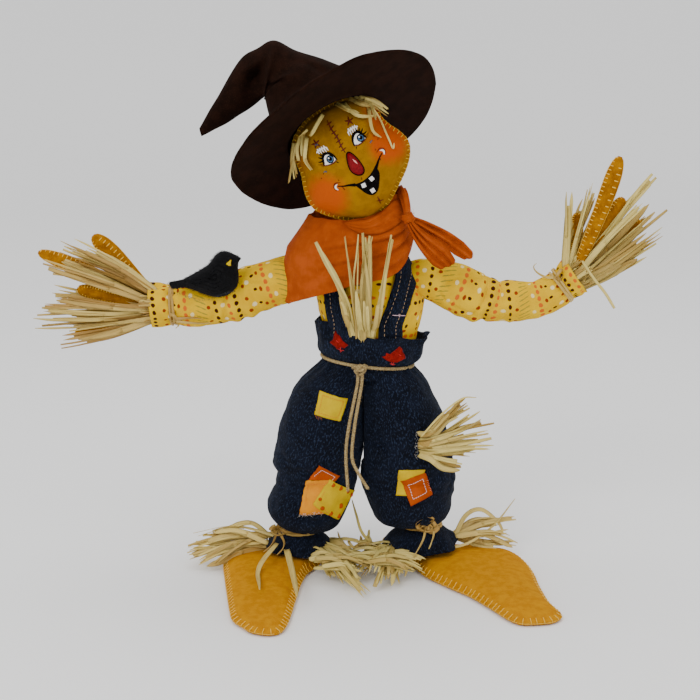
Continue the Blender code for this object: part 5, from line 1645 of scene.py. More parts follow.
    # the two ends of the cloth beyond the knot, each pleated along its length
    tails = {
        "upper": (
            (
                (0.0485, -0.0375, 0.3140, 0.0022), (0.0560, -0.0380, 0.3098, 0.0042), (0.0680, -0.0390, 0.3035, 0.0052),
                (0.0800, -0.0400, 0.2965, 0.0058), (0.0910, -0.0400, 0.2880, 0.0064), (0.0990, -0.0395, 0.2818, 0.0046),
            ),
            2,
        ),
        "lower": (
            (
                (0.0480, -0.0410, 0.3120, 0.0022), (0.0520, -0.0430, 0.3055, 0.0042), (0.0590, -0.0445, 0.2968, 0.0062),
                (0.0670, -0.0455, 0.2890, 0.0082), (0.0755, -0.0450, 0.2812, 0.0092), (0.0815, -0.0445, 0.2750, 0.0070),
            ),
            3,
        ),
    }
    ends = []
    for name, (table, waves) in tails.items():
        path = smooth([row[:3] for row in table], 50)
        half = np.interp(np.linspace(0, 1, 50), np.linspace(0, 1, len(table)), [row[3] for row in table])
        _, side, face = frames(path, FRONT)
        rows_of_tail = []
        for i, p in enumerate(path):
            t = i / 49
            line = []
            for k in range(33):
                s = k / 16 - 1
                wave = math.sin(waves * math.pi * s + 0.6 + 0.5 * t) * (0.0013 + 0.0010 * (1 - t)) * min(1, 0.3 + 2 * t)
                wave += 0.0008 * wobble(p + side[i] * s * 0.01, 140, waves)
                end = (0.0016 * math.sin(2.2 * s + waves) - 0.0012 * s * s) * max(0, (t - 0.85) / 0.15)
                along = unit(path[min(i + 1, 49)] - path[max(i - 1, 0)])
                line.append(p + side[i] * s * half[i] + face[i] * wave + along * end)
            rows_of_tail.append(line)
        tail = Shape().net(rows_of_tail, closed=False)
        ends.append(
            emit(
                f"bandana_tail_{name}_cloth", tail, ORANGE, "torso", replaces=(f"bandana_tail_{name}",),
                slot="orange_cotton", thick=0.0007, offset=0.0, outward=False,
            )
        )
        for k in range(33):
            for _ in range(3):
                way = unit(np.array(rows_of_tail[-1][k]) - np.array(rows_of_tail[-4][k]))
                hair(
                    edge, np.array(rows_of_tail[-1][k]) - way * 0.0004, way + scatter(rng) * 0.6,
                    rng.uniform(0.0008, 0.0018), 0.00008, rng.random(),
                )
    loose = emit("bandana_fray", edge, fray, "torso", slot="orange_cotton")
    return cloth, [crossing, rolled, tied, *ends, loose]


shirt_shape = build_shirt()
waist_shape = build_waist()
build_straps(shirt_shape)
build_red_patches(waist_shape)
build_chest_straw()
build_waist_tie()
bandana, bandana_trim = build_bandana()


# ------------------------------------------------------------------ arms
SLEEVE = {
    "right": (
        (-0.0240, 0.2590, 0.0110), (-0.0330, 0.2588, 0.0168), (-0.0420, 0.2585, 0.0190), (-0.0520, 0.2575, 0.0197),
        (-0.0640, 0.2545, 0.0203), (-0.0760, 0.2500, 0.0208), (-0.0880, 0.2455, 0.0209), (-0.1000, 0.2420, 0.0210),
        (-0.1140, 0.2388, 0.0213), (-0.1280, 0.2368, 0.0211), (-0.1400, 0.2357, 0.0200), (-0.1470, 0.2352, 0.0178),
        (-0.1515, 0.2350, 0.0152), (-0.1560, 0.2348, 0.0172), (-0.1630, 0.2346, 0.0188), (-0.1712, 0.2344, 0.0193),
    ),
    "left": (
        (0.0470, 0.2580, 0.0120), (0.0560, 0.2582, 0.0160), (0.0670, 0.2575, 0.0182), (0.0770, 0.2550, 0.0192),
        (0.0870, 0.2508, 0.0204), (0.0980, 0.2455, 0.0212), (0.1080, 0.2412, 0.0208), (0.1180, 0.2388, 0.0186),
        (0.1270, 0.2368, 0.0166), (0.1360, 0.2377, 0.0180), (0.1480, 0.2382, 0.0170), (0.1600, 0.2402, 0.0163),
        (0.1700, 0.2440, 0.0160), (0.1775, 0.2488, 0.0150), (0.1810, 0.2513, 0.0134), (0.1850, 0.2542, 0.0152),
        (0.1890, 0.2574, 0.0166), (0.1930, 0.2606, 0.0172),
    ),
}
SLEEVE_BEND = {
    "right": ((-0.0830, 0, 0.2475), (-0.1050, 0, 0.2405)),
    "left": ((0.1070, 0, 0.2418), (0.1300, 0, 0.2385)),
}
WRIST = {"right": (-0.1515, 0.2350, 0.0152), "left": (0.1810, 0.2513, 0.0134)}


CREASES = {  # height, place and width of the folds across the sleeve's front, near the elbow
    "right": ((-0.0022, 0.0, 0.0018), (0.0014, -0.0045, 0.0032)),
    "left": ((-0.0030, 0.0, 0.0016), (0.0020, -0.0042, 0.0036), (0.0016, 0.0060, 0.0050)),
}


def sleeve_rings(side):
    rows, columns = 130, 110
    table = through(SLEEVE[side], rows)
    centre = np.stack((table[:, 0], np.zeros(rows), table[:, 1]), axis=1)
    along = np.gradient(centre, axis=0)
    along /= np.linalg.norm(along, axis=1)[:, None]
    up = np.cross(along, (0, 1, 0)) * (1 if side == "left" else -1)
    up *= np.sign(up[:, 2])[:, None]
    tie = vec(WRIST[side][0], 0, WRIST[side][1])
    elbow = vec(-0.0940, 0, 0.2440) if side == "right" else vec(0.1160, 0, 0.2392)
    made = []
    seed = 3 if side == "right" else 8
    for j in range(rows):
        c = centre[j]
        far_tie = np.dot(c - tie, along[j])
        past = max(0.0, far_tie)
        far_elbow = np.dot(c - elbow, along[j])
        ring = []
        for i in range(columns):
            a = 2 * math.pi * i / columns
            out = vec(0, -math.sin(a), 0) + up[j] * math.cos(a)
            r = table[j, 2]
            p = c + out * r
            pleat = math.sin(15 * a + 2 * math.sin(2 * a) + seed) * 0.0011 * math.exp(-(abs(far_tie) / 0.0075) ** 1.4)
            cuff = 0.0011 * math.sin(6 * a + seed) * min(1, past / 0.012)
            wrinkle = math.sin((far_elbow + 0.0035 * math.cos(a + 0.5)) * 2 * math.pi / 0.0125)
            wrinkle = 0.0013 * wrinkle * hump(far_elbow, 0.0165) * (0.55 - 0.45 * math.cos(a))
            soft = 0.0016 * wobble(p, 42, seed) + 0.0008 * wobble(p, 95, seed + 1)
            ridge = max(0.0, 1 - abs(wobble(p * (0.7, 1, 1), 34, seed + 5)) * 7)
            crease = -0.0014 * ridge * min(1, abs(far_tie) / 0.01)
            if side == "left":
                line, ahead = c[0] - 0.1085 - 0.0100 * math.cos(a - 0.6) * 0.6, math.sin(a + 0.35)
            else:
                line, ahead = c[0] + 0.1060 - 0.0040 * math.cos(a), math.sin(a + 0.1)
            for size, off, width in CREASES[side]:
                crease += size * hump(line + off, width) * max(0, ahead)
            lean = along[j] * (0.0016 * math.cos(a + 0.8) + 0.0006 * wobble(p, 120, seed)) * min(1, past / 0.012)
            ring.append(p + out * (pleat + cuff + wrinkle + soft + crease) + lean)
        made.append(ring)
    return np.array(made)


def build_sleeve(side):
    rows = sleeve_rings(side)
    shape = Shape().net(rows)
    a, b = SLEEVE_BEND[side]
    emit(
        f"{side}_sleeve_cloth", shape, PRINT_ARM, blend=(f"{side}_upper_arm", f"{side}_forearm", a, b),
        replaces=(f"{side}_upper_sleeve", f"{side}_forearm_sleeve"), slot="printed_cotton", thick=0.0008, offset=-1.0,
    )
    rng = random.Random(len(side))
    edge = Shape()
    for p, q in zip(rows[-1], rows[-3]):
        way = unit(p - q)
        hair(edge, p - way * 0.0003, way + scatter(rng) * 0.7, rng.uniform(0.0006, 0.0015), 0.00008, rng.random())
    emit(f"{side}_cuff_fray", edge, YELLOW_CLOTH, f"{side}_forearm", slot="printed_cotton")


FINGERS = {  # route of each finger, its y, its widest half width
    "right": (
        (((-0.1640, 0.2370), (-0.1800, 0.2530), (-0.2010, 0.2760), (-0.2195, 0.2935)), 0.0060, 0.0072),
        (((-0.1640, 0.2360), (-0.1950, 0.2500), (-0.2300, 0.2660), (-0.2655, 0.2800)), 0.0010, 0.0060),
        (((-0.1640, 0.2340), (-0.1850, 0.2375), (-0.2100, 0.2430), (-0.2330, 0.2490)), -0.0020, 0.0060),
        (((-0.1640, 0.2320), (-0.1880, 0.2260), (-0.2150, 0.2170), (-0.2380, 0.2080)), 0.0060, 0.0055),
    ),
    "left": (
        (((0.1900, 0.2600), (0.2000, 0.2880), (0.2125, 0.3240), (0.2245, 0.3620)), -0.0130, 0.0066),
        (((0.1900, 0.2600), (0.2030, 0.2820), (0.2180, 0.3060), (0.2300, 0.3270)), -0.0050, 0.0064),
        (((0.1900, 0.2590), (0.2080, 0.2780), (0.2290, 0.2930), (0.2480, 0.3060)), 0.0020, 0.0060),
        (((0.1900, 0.2600), (0.1930, 0.2820), (0.1935, 0.2990), (0.1930, 0.3130)), 0.0060, 0.0050),
    ),
}


def build_hand(side):
    felt_shape, stitches = Shape(), Shape()
    for n, (route, y, widest) in enumerate(FINGERS[side]):
        path = smooth([(x, y * min(1.0, 0.25 + k / 2), z) for k, (x, z) in enumerate(route)], 60)
        _, side_way, face = frames(path, FRONT)
        rows, halves = [], []
        for i, p in enumerate(path):
            t = i / 59
            half = widest * (0.50 + 0.50 * min(1, t / 0.72) ** 0.8)
            if t > 0.80:
                half = widest * math.sqrt(max(0.0, 1 - ((t - 0.80) / 0.205) ** 2))
            half = max(half, 0.0006)
            halves.append(half)
            ring = []
            for k in range(28):
                a = 2 * math.pi * k / 28
                c, s = math.cos(a), math.sin(a)
                thick = 0.0030 * math.sqrt(max(0.0, 1 - abs(c) ** 2.2)) * min(1.0, half / 0.003) + 0.0005
                bump = 1 + 0.10 * wobble(p + side_way[i] * c * 0.004, 200, n)
                ring.append(p + side_way[i] * c * half + face[i] * math.copysign(thick, s) * bump)
            rows.append(ring)
        felt_shape.net(rows, caps=(True, True))
        for sign in (1, -1):
            last = None
            for k in range(10, 60, 2):
                reach = min(0.0022, halves[k] * 0.6)
                edge = path[k] + side_way[k] * sign * halves[k]
                inward = -side_way[k] * sign
                for f in (1, -1) if n or sign * side_way[30][0] < 0 else ():
                    thread(
                        stitches,
                        [
                            edge + inward * reach + face[k] * f * 0.0027,
                            edge + inward * reach * 0.45 + face[k] * f * 0.0021, edge - inward * 0.0003,
                        ],
                        0.00046,
                    )
                if last is not None:
                    thread(stitches, [last - inward * 0.0003, edge - inward * 0.0003], 0.00028)
                last = edge
        if n == 0:  # the row of hand stitches down the thumb's face
            sign = 1 if side_way[30][0] > 0 else -1
            for k in range(12, 56, 3):
                a, b = (
                    path[k] + side_way[k] * sign * halves[k] * s + face[k] * 0.0033 * math.sqrt(1 - s * s)
                    for s in (0.15, 0.75)
                )
                thread(
                    stitches,
                    [
                        a - face[k] * 0.0004, a * 0.7 + b * 0.3 + face[k] * 0.0004,
                        a * 0.3 + b * 0.7 + face[k] * 0.0004, b - face[k] * 0.0002,
                    ],
                    0.00052,
                )
    emit(f"{side}_hand_felt_painted_shade", felt_shape, HAND_FELT_SHADED, f"{side}_forearm", replaces=(f"{side}_hand",), slot="gold_felt")
    emit(f"{side}_hand_stitches", stitches, PALE_THREAD, f"{side}_forearm", slot="gold_felt")


def leaf(shape, rng, route, width, facing=FRONT, splits=2, tone=None, points=22):
    """One palm leaf: a broad strip, hollow along its length, whose tip is split into narrow ends."""
    path = smooth(route, points)
    _, side, face = frames(path, facing)
    tone = rng.uniform(0.0, 1.0) if tone is None else tone
    roll, twist = rng.uniform(-0.6, 0.6), rng.uniform(-0.7, 0.7)
    body = int(points * rng.uniform(0.70, 0.92))
    ribbon(
        shape, path[:body], width, facing, tone, twist=twist, start_twist=roll, curl=rng.uniform(0.15, 0.6),
        ends=(0.6, 0.45),
    )
    first = int(body * 0.5)
    t = np.linspace(0, 1, points - first)[:, None]
    for k in range(splits):
        off = ((k + 0.5) / splits - 0.5) * width
        strip = path[first:] + side[first:] * off * (0.6 + t) + face[first:] * (
            rng.uniform(-1, 1) * 0.0014 * t + 0.0003
        )
        count = max(4, int(len(strip) * rng.uniform(0.75, 1.0)))
        ribbon(
            shape, strip[:count], width / splits * 0.85, facing, min(1.0, max(0.0, tone + rng.uniform(-0.2, 0.2))),
            twist=rng.uniform(-0.8, 0.8), start_twist=roll + twist * 0.6, curl=rng.uniform(0.1, 0.5),
            ends=(0.6, rng.choice((0.08, 0.25, 0.8))),
        )


def between(table, share):
    """The point a share of the way along a list of points."""
    s = share * (len(table) - 1)
    i = min(int(s), len(table) - 2)
    return np.array(table[i], float) * (1 - s + i) + np.array(table[i + 1], float) * (s - i)


def strand(shape, rng, a, b, width, bow, tone=None, ends=None):
    """One narrow strand from a to b, bowed a little and seldom quite flat."""
    a, b = np.asarray(a, float), np.asarray(b, float)
    off = scatter(rng) * bow
    kink = scatter(rng) * bow * 0.5
    route = [a, a + (b - a) * 0.35 + off, a + (b - a) * 0.7 + off * 0.6 + kink, b]
    ribbon(
        shape, smooth(route, 18), width, FRONT, rng.uniform(0.0, 1.0) if tone is None else tone,
        twist=rng.uniform(-1.2, 1.2), start_twist=rng.uniform(-0.6, 0.6), curl=rng.uniform(0.0, 0.55),
        ends=ends or (0.7, rng.choice((0.08, 0.25, 0.6, 0.9))),
    )


CUFF_R = 0.0108
PACKED_STRAWS = 60
HAND_STRAW = {  # root, way across it, then each bunch: leaves, y at the tips, shares of the cuff, widths, tips
    "right": (
        (-0.1620, 0.2345), (0, 1), (
            (
                12, -0.0110, (1.0, 0.05), (0.0042, 0.0066),
                (
                    (-0.2400, 0.2960), (-0.2480, 0.2930), (-0.2520, 0.2850), (-0.2600, 0.2790), (-0.2580, 0.2730),
                    (-0.2530, 0.2660),
                ),
            ),
            (
                14, -0.0080, (-0.1, -1.0), (0.0040, 0.0064),
                (
                    (-0.2620, 0.2480), (-0.2680, 0.2400), (-0.2740, 0.2320), (-0.2763, 0.2200), (-0.2700, 0.2070),
                    (-0.2498, 0.1923),
                ),
            ),
            (
                9, 0.0110, (0.8, -0.8), (0.0040, 0.0060),
                ((-0.2450, 0.2850), (-0.2600, 0.2550), (-0.2650, 0.2350), (-0.2500, 0.2080)),
            ),
        ),
    ),
    "left": (
        (0.1890, 0.2580), (-0.60, 0.80), (
            (1, -0.0060, (1.0, 1.0), (0.0070, 0.0072), ((0.1838, 0.3480), (0.1840, 0.3470))),
            (3, -0.0060, (0.8, 0.5), (0.0034, 0.0044), ((0.2000, 0.3400), (0.2070, 0.3450))),
            (
                11, -0.0110, (0.25, -0.9), (0.0046, 0.0072),
                (
                    (0.2420, 0.3360), (0.2559, 0.3464), (0.2616, 0.3321), (0.2674, 0.3160), (0.2713, 0.3042),
                    (0.2520, 0.2860),
                ),
            ),
            (2, -0.0120, (-0.8, -1.0), (0.0080, 0.0090), ((0.2500, 0.2840), (0.2490, 0.2800))),
            (
                9, 0.0100, (0.9, -0.9), (0.0042, 0.0060),
                ((0.1960, 0.3250), (0.2200, 0.3420), (0.2480, 0.3360), (0.2620, 0.3100), (0.2500, 0.2860)),
            ),
        ),
    ),
}


def build_hand_straw(side):
    rng = random.Random(60 + len(side))
    shape = Shape()
    (root_x, root_z), across, bunches = HAND_STRAW[side]
    root = vec(root_x, 0, root_z)
    across = unit(vec(across[0], 0, across[1]))
    for count, y, shares, widths, tips in bunches:
        for n in range(count):
            s = (n + rng.random()) / count
            x, z = between(tips, s)
            reach = rng.choice((1.04, 1.0, 0.95, 0.88)) if count > 3 else 1.0
            tip = root + (vec(x, 0, z) - root) * reach + vec(0, y + rng.uniform(-0.008, 0.006), 0)
            share = shares[0] + (shares[1] - shares[0]) * s
            deep = rng.uniform(-0.002, 0.012) if y > 0 else rng.uniform(-0.011, -0.002)
            start = root + across * CUFF_R * share + vec(0, deep, 0)
            bend = vec(rng.uniform(-1, 1), rng.uniform(-0.8, 0.8), rng.uniform(-1, 1)) * 0.0030
            bend = bend + across * 0.0030 * share
            leaf(
                shape, rng, (start, start + (tip - start) * 0.4 + bend, start + (tip - start) * 0.75 + bend * 0.6, tip),
                rng.uniform(*widths), splits=rng.choice((1, 2, 2, 3)),
            )
    outward = vec(across[2], 0, -across[0]) * (1 if side == "left" else -1)
    for _ in range(PACKED_STRAWS):  # short ones, which fill the mouth of the cuff
        a, r = 2 * math.pi * rng.random(), math.sqrt(rng.random())
        inside = across * r * math.cos(a) + vec(0, 1.15 * r * math.sin(a), 0)
        start = root + inside * CUFF_R - outward * 0.007
        tip = start + (outward + inside * 0.35) * rng.uniform(0.014, 0.030)
        leaf(
            shape, rng, (start, (start + tip) / 2, tip), rng.uniform(0.0034, 0.0054), facing=unit(scatter(rng)),
            points=12,
        )
    rows = []
    for r, deep in ((1.0, 0.0040), (0.8, 0.0022), (0.5, 0.0006), (0.15, 0.0)):
        turn = circle(40)
        rows.append(
            [root - outward * deep + (across * math.cos(a) + vec(0, 1.12 * math.sin(a), 0)) * 0.0118 * r for a in turn]
        )
    shape.net(rows, caps=(False, True))
    if side == "left":
        strand(
            shape, rng, (0.1943, -0.022, 0.2759), (0.2222, -0.026, 0.2362), 0.0026, bow=0.002, tone=0.95,
            ends=(0.9, 0.8),
        )
    emit(
        f"{side}_hand_straw_strands", shape, TAN_STRAW if side == "right" else PALE_STRAW, f"{side}_forearm",
        replaces=(f"{side}_hand_straw",), slot="straw",
    )


TURN_POINTS = 46


def wrapped_tie(shape, centre, across, radius, rng, wraps=3, width=0.0016):
    """A tie of rolled raffia that goes several times round a gathered place."""
    depth_way = vec(0, 1, 0)
    points = []
    normal = unit(np.cross(across, depth_way))
    count = TURN_POINTS * wraps
    for i in range(count + 1):
        a = 2 * math.pi * i / TURN_POINTS
        t = i / count
        r = radius + 0.0005 * math.sin(3.3 * a) + 0.0003 * wraps * 0.5
        points.append(
            np.asarray(centre) + across * math.cos(a) * r + depth_way * math.sin(a) * r + normal * (
                0.0012 * (t - 0.5) * wraps * 1.6 + 0.0008 * math.sin(a * 0.63)
            )
        )
    path = np.array(points)
    twine(shape, path, width * 0.72, normal, pitch=0.012, plies=2, tone=rng.uniform(0.2, 0.6), around=12)


def build_wrist_tie(side):
    rng = random.Random(80 + len(side))
    x, z, radius = WRIST[side]
    along = unit(vec(-1, 0, -0.05)) if side == "right" else unit(vec(0.80, 0, 0.60))
    across = unit(vec(-along[2], 0, along[0]))
    shape = Shape()
    wrapped_tie(shape, vec(x, 0, z), across, radius + 0.0012, rng)
    body = f"{side}_forearm"
    if side == "right":
        knot = vec(-0.1500, -0.0160, 0.2255)
        loops = (
            (
                (-0.0035, 0.001, 0.0035), (0.0005, -0.0022, 0.0030), (0.0030, -0.0020, -0.0010),
                (-0.0005, -0.0014, -0.0030), (-0.0030, -0.001, 0.0),
            ),
        )
        tails = (
            ((0.0, -0.001, -0.001), (0.0100, -0.0035, -0.0028), (0.0220, -0.0050, -0.0035), (0.0330, -0.0040, -0.0030)),
            ((0.0, -0.001, 0.0), (0.0080, -0.0030, 0.0005), (0.0200, -0.0045, 0.0010), (0.0260, -0.0035, -0.0002)),
            ((0.0, 0.0, -0.001), (0.0040, -0.0020, -0.0050), (0.0020, -0.0010, -0.0080)),
        )
    else:
        knot = vec(0.1765, -0.0110, 0.2600)
        loops = (
            (
                (-0.0030, 0.0, -0.0020), (-0.0010, -0.0030, 0.0030), (0.0020, -0.0010, 0.0062), (0.0040, 0.001, 0.0030),
                (0.0010, -0.0020, -0.0010),
            ),
            ((0.002, 0.0, -0.003), (0.0, -0.0035, -0.0010), (-0.0026, -0.0015, 0.0014)),
        )
        tails = (
            (
                (-0.0020, 0.0, 0.0), (-0.0105, -0.0010, 0.0010), (-0.0180, -0.0020, 0.0050), (-0.0212, -0.0020, 0.0095),
                (-0.0190, -0.0020, 0.0125),
            ),
            ((0.0, 0.0, -0.001), (0.0050, -0.0035, -0.0080), (0.0110, -0.0025, -0.0140)),
        )
    for loop in loops:
        ribbon(shape, smooth(knot + np.array(loop), 24), 0.0030, FRONT, 0.35, twist=1.6, curl=0.5, ends=(0.8, 0.7))
    for tail in tails:
        ribbon(
            shape, smooth(knot + np.array(tail), 24), 0.0026, FRONT, rng.uniform(0.2, 0.7), twist=1.8, curl=0.6,
            ends=(0.8, 0.3),
        )
    emit(f"{side}_wrist_tie_raffia", shape, TAN_STRAW, body, replaces=(f"{side}_wrist_tie",), slot="straw")


CROW_Y = -0.024
NAP_FIBRES = 5200


def build_crow():
    outline = smooth((
        (-0.1512, 0.2582), (-0.1436, 0.2588), (-0.1303, 0.2657), (-0.1191, 0.2725), (-0.1136, 0.2793),
        (-0.1091, 0.2833), (-0.1035, 0.2841), (-0.0980, 0.2822), (-0.0935, 0.2799), (-0.0911, 0.2782),
        (-0.0930, 0.2753), (-0.0937, 0.2702), (-0.0932, 0.2634), (-0.0941, 0.2565), (-0.0980, 0.2508),
        (-0.1047, 0.2468), (-0.1124, 0.2457), (-0.1214, 0.2480), (-0.1303, 0.2514), (-0.1392, 0.2537),
        (-0.1481, 0.2525), (-0.1508, 0.2548),
    ), 120, True)
    middle = vec(-0.1130, 0.2640)
    rows = []
    levels = [(s, 0.0105 * math.sqrt(1 - s**2.2)) for s in (0.12, 0.3, 0.48, 0.64, 0.78, 0.89, 0.96)]
    for side, table in ((1, levels + [(1.0, 0.0012)]), (-1, [(1.0, 0.0012)] + levels[::-1])):
        for s, depth in table:
            ring = []
            for q in outline:
                p = middle + (q - middle) * s
                thin = min(1.0, max(0.25, (p[0] + 0.158) / 0.030))
                off = ((p[0] + 0.1190) / 0.016) ** 2 + ((p[1] - 0.2590) / 0.0065) ** 2
                wing = 0.0012 * math.exp(-(off**2)) * side
                out = depth * thin * side
                ring.append(
                    vec(
                        p[0], CROW_Y - out - (wing if side == 1 else 0) + 0.0004 * wobble((p[0], out, p[1]), 260, 3),
                        p[1],
                    )
                )
            rows.append(ring)
    body = Shape().net(rows, caps=(True, True))
    emit("crow_plush", body, PLUSH, "right_forearm", replaces=("crow",), slot="black_plush")

    rng = random.Random(12)
    nap = Shape()
    points = body.all()
    centre = points.mean(0)
    for _ in range(NAP_FIBRES):
        k = rng.randrange(len(points))
        p = points[k]
        out = unit((p - centre) * (0.5, 2.2, 1.0))
        lay = vec(-0.9, 0, -0.35)
        way = out * rng.uniform(0.4, 1.0) + lay * rng.uniform(0.4, 1.2) + scatter(rng) * 0.35
        hair(
            nap, p + vec(rng.uniform(-1, 1), 0, rng.uniform(-1, 1)) * 0.0006, way, rng.uniform(0.0010, 0.0022), 0.00010,
            rng.random(),
        )
    emit("crow_nap", nap, PLUSH, "right_forearm", slot="black_plush")
    fringe = Shape()
    for _ in range(90):
        t = rng.random()
        p = vec(
            -0.1440 + 0.050 * t, -0.0340 + rng.uniform(-0.002, 0.004),
            0.2520 - 0.0068 * math.sin(math.pi * min(1, t * 1.2)),
        )
        hair(
            fringe, p, (rng.uniform(-1, 1), rng.uniform(-0.8, 0.2), rng.uniform(-1.6, -0.2)),
            rng.uniform(0.0016, 0.0042), 0.00009, rng.random(), bend=vec(rng.uniform(-1, 1), 0, 0.6) * 0.0012,
        )
    emit("crow_loose_fibres", fringe, GREY_PAINT, "right_forearm", slot="black_plush")
    skin = Skin(body)
    eye = Shape()
    blob(
        eye, skin, from_front,
        ((-0.1030, 0.2746), (-0.0998, 0.2776), (-0.0988, 0.2774), (-0.0990, 0.2734), (-0.1006, 0.2730)), 0.0012,
        thick=0.0006, count=30, sharp=True,
    )
    emit("crow_eye", eye, YELLOW_CLOTH, "right_forearm", slot="patch_cotton")


# ------------------------------------------------------------------ legs
LEG = {  # height, outer x, inner x, half depth
    "right": (
        (0.1900, -0.0215, 0.0160, 0.0205), (0.1835, -0.0268, 0.0158, 0.0262), (0.1719, -0.0412, 0.0155, 0.0322),
        (0.1600, -0.0502, 0.0152, 0.0348), (0.1415, -0.0580, 0.0148, 0.0368), (0.1250, -0.0632, 0.0142, 0.0378),
        (0.1116, -0.0660, 0.0130, 0.0376), (0.0998, -0.0672, 0.0108, 0.0366), (0.0890, -0.0645, 0.0090, 0.0352),
        (0.0806, -0.0636, 0.0072, 0.0346), (0.0690, -0.0692, 0.0042, 0.0352), (0.0576, -0.0752, 0.0004, 0.0352),
        (0.0492, -0.0742, -0.0035, 0.0338), (0.0425, -0.0694, -0.0075, 0.0312), (0.0372, -0.0640, -0.0125, 0.0262),
        (0.0345, -0.0606, -0.0190, 0.0212), (0.0336, -0.0600, -0.0290, 0.0164), (0.0322, -0.0606, -0.0292, 0.0166),
        (0.0285, -0.0660, -0.0240, 0.0205), (0.0230, -0.0715, -0.0185, 0.0248), (0.0172, -0.0748, -0.0152, 0.0272),
    ),
    "left": (
        (0.1900, 0.0522, 0.0100, 0.0205), (0.1820, 0.0540, 0.0100, 0.0262), (0.1692, 0.0662, 0.0095, 0.0326),
        (0.1560, 0.0718, 0.0090, 0.0352), (0.1433, 0.0780, 0.0088, 0.0370), (0.1320, 0.0818, 0.0088, 0.0380),
        (0.1207, 0.0850, 0.0088, 0.0384), (0.1080, 0.0884, 0.0090, 0.0380), (0.0943, 0.0918, 0.0096, 0.0370),
        (0.0860, 0.0915, 0.0096, 0.0362), (0.0769, 0.0912, 0.0104, 0.0358), (0.0690, 0.0905, 0.0128, 0.0354),
        (0.0608, 0.0896, 0.0158, 0.0348), (0.0520, 0.0878, 0.0188, 0.0330), (0.0455, 0.0850, 0.0215, 0.0300),
        (0.0412, 0.0815, 0.0270, 0.0252), (0.0395, 0.0800, 0.0360, 0.0200), (0.0388, 0.0790, 0.0470, 0.0160),
        (0.0370, 0.0794, 0.0474, 0.0162), (0.0325, 0.0850, 0.0410, 0.0200), (0.0255, 0.0925, 0.0335, 0.0250),
        (0.0180, 0.0975, 0.0292, 0.0275),
    ),
}
LEG_TIE = {"right": 0.0330, "left": 0.0380}
SPLIT = 0.1150
CROTCH = (0.0260, 0.1180)
KNEE_Z = 0.0900
ABOVE_KNEE = 0.096
TROUSER_TOP = 0.1830
HEM_LOWEST = 0.0072


def leg_rings(side):
    rows, columns = 190, 150
    table = through(LEG[side], rows)
    ankle = LEG_TIE[side]
    seed = 2 if side == "right" else 6
    sign = -1 if side == "right" else 1
    outward = math.pi if sign < 0 else 0
    made = []
    tie_row = int(np.argmin(np.abs(table[:, 0] - ankle) + (np.arange(rows) < rows * 0.6) * 1.0))
    for j in range(rows):
        z, outer, inner, depth = table[j]
        cx, half = (outer + inner) / 2, abs(outer - inner) / 2
        below = max(0.0, (j - tie_row) / (rows - tie_row))
        gap = (j - tie_row) / rows
        ring = []
        for i, p in enumerate(oval((cx, 0, z), half, depth, columns, 2.25)):
            a = 2 * math.pi * i / columns
            out = unit((p - vec(cx, 0, z)) * (1 / half, 1 / depth, 0))
            near_waist = math.exp(-max(0.0, (TROUSER_TOP - z)) / 0.0115)
            near_tie = math.exp(-abs(gap) / 0.030)
            fold = 0.0013 * near_waist * math.sin(12 * a + 2.2 * math.sin(2 * a) + seed)
            fold += 0.0017 * near_tie * math.sin(11 * a + 1.6 * math.sin(3 * a) + seed)
            fold += 0.0022 * below * math.sin(5 * a + seed)
            calm = (1 - near_tie) * (1 - 0.7 * near_waist)
            soft = 0.0020 * wobble(p, 22, seed) + 0.0017 * wobble(p * (1, 1, 0.6), 48, seed + 1)
            fold += (soft + 0.0006 * wobble(p, 120, seed)) * calm
            ridge = 1 - abs(wobble(p * (0.9, 0.8, 1.5), 27, seed + 3)) * 5.5
            fold -= 0.0019 * max(0.0, ridge) * calm * (0.35 + 0.65 * hump(z - 0.075, 0.045))
            # folds that gather at the back and inside of the knee, and a pucker at the front of the crotch
            knee = hump(z - KNEE_Z, 0.016)
            wave = math.sin((z + 0.004 * math.cos(a * 2)) * 2 * math.pi / 0.0135)
            fold += 0.0012 * knee * wave * (0.35 + 0.65 * max(0.0, math.cos(a - outward)))
            far = math.hypot(p[0] - CROTCH[0], z - CROTCH[1])
            star = math.cos(5 * math.atan2(z - CROTCH[1], p[0] - CROTCH[0]) + 1.0)
            front = max(0.0, -p[1] / max(depth, 1e-6))
            if side == "left":
                fold += (0.0016 * star - 0.0022) * hump(far, 0.014) * front
            q = p + out * fold
            hem = max(0.0, (below - 0.55) / 0.45)
            drop = 0.0032 * math.cos(a - outward) + 0.0022 * math.sin(a) + 0.0012 * math.sin(4 * a + seed)
            q[2] += hem * drop
            q[2] = max(q[2], HEM_LOWEST)
            if z > ABOVE_KNEE:  # each leg keeps to its own side
                q[0] = min(q[0], 0.0117) if sign < 0 else max(q[0], 0.0119)
            ring.append(q)
        made.append(ring)
    return np.array(made), table[:, 0]


def hip_blend(side):
    return "torso", f"{side}_thigh", (0, 0, 0.1720), (0, 0, 0.1280)


def knee_blend(side):
    return f"{side}_thigh", f"{side}_shin", (0, 0, 0.1080), (0, 0, 0.0800)


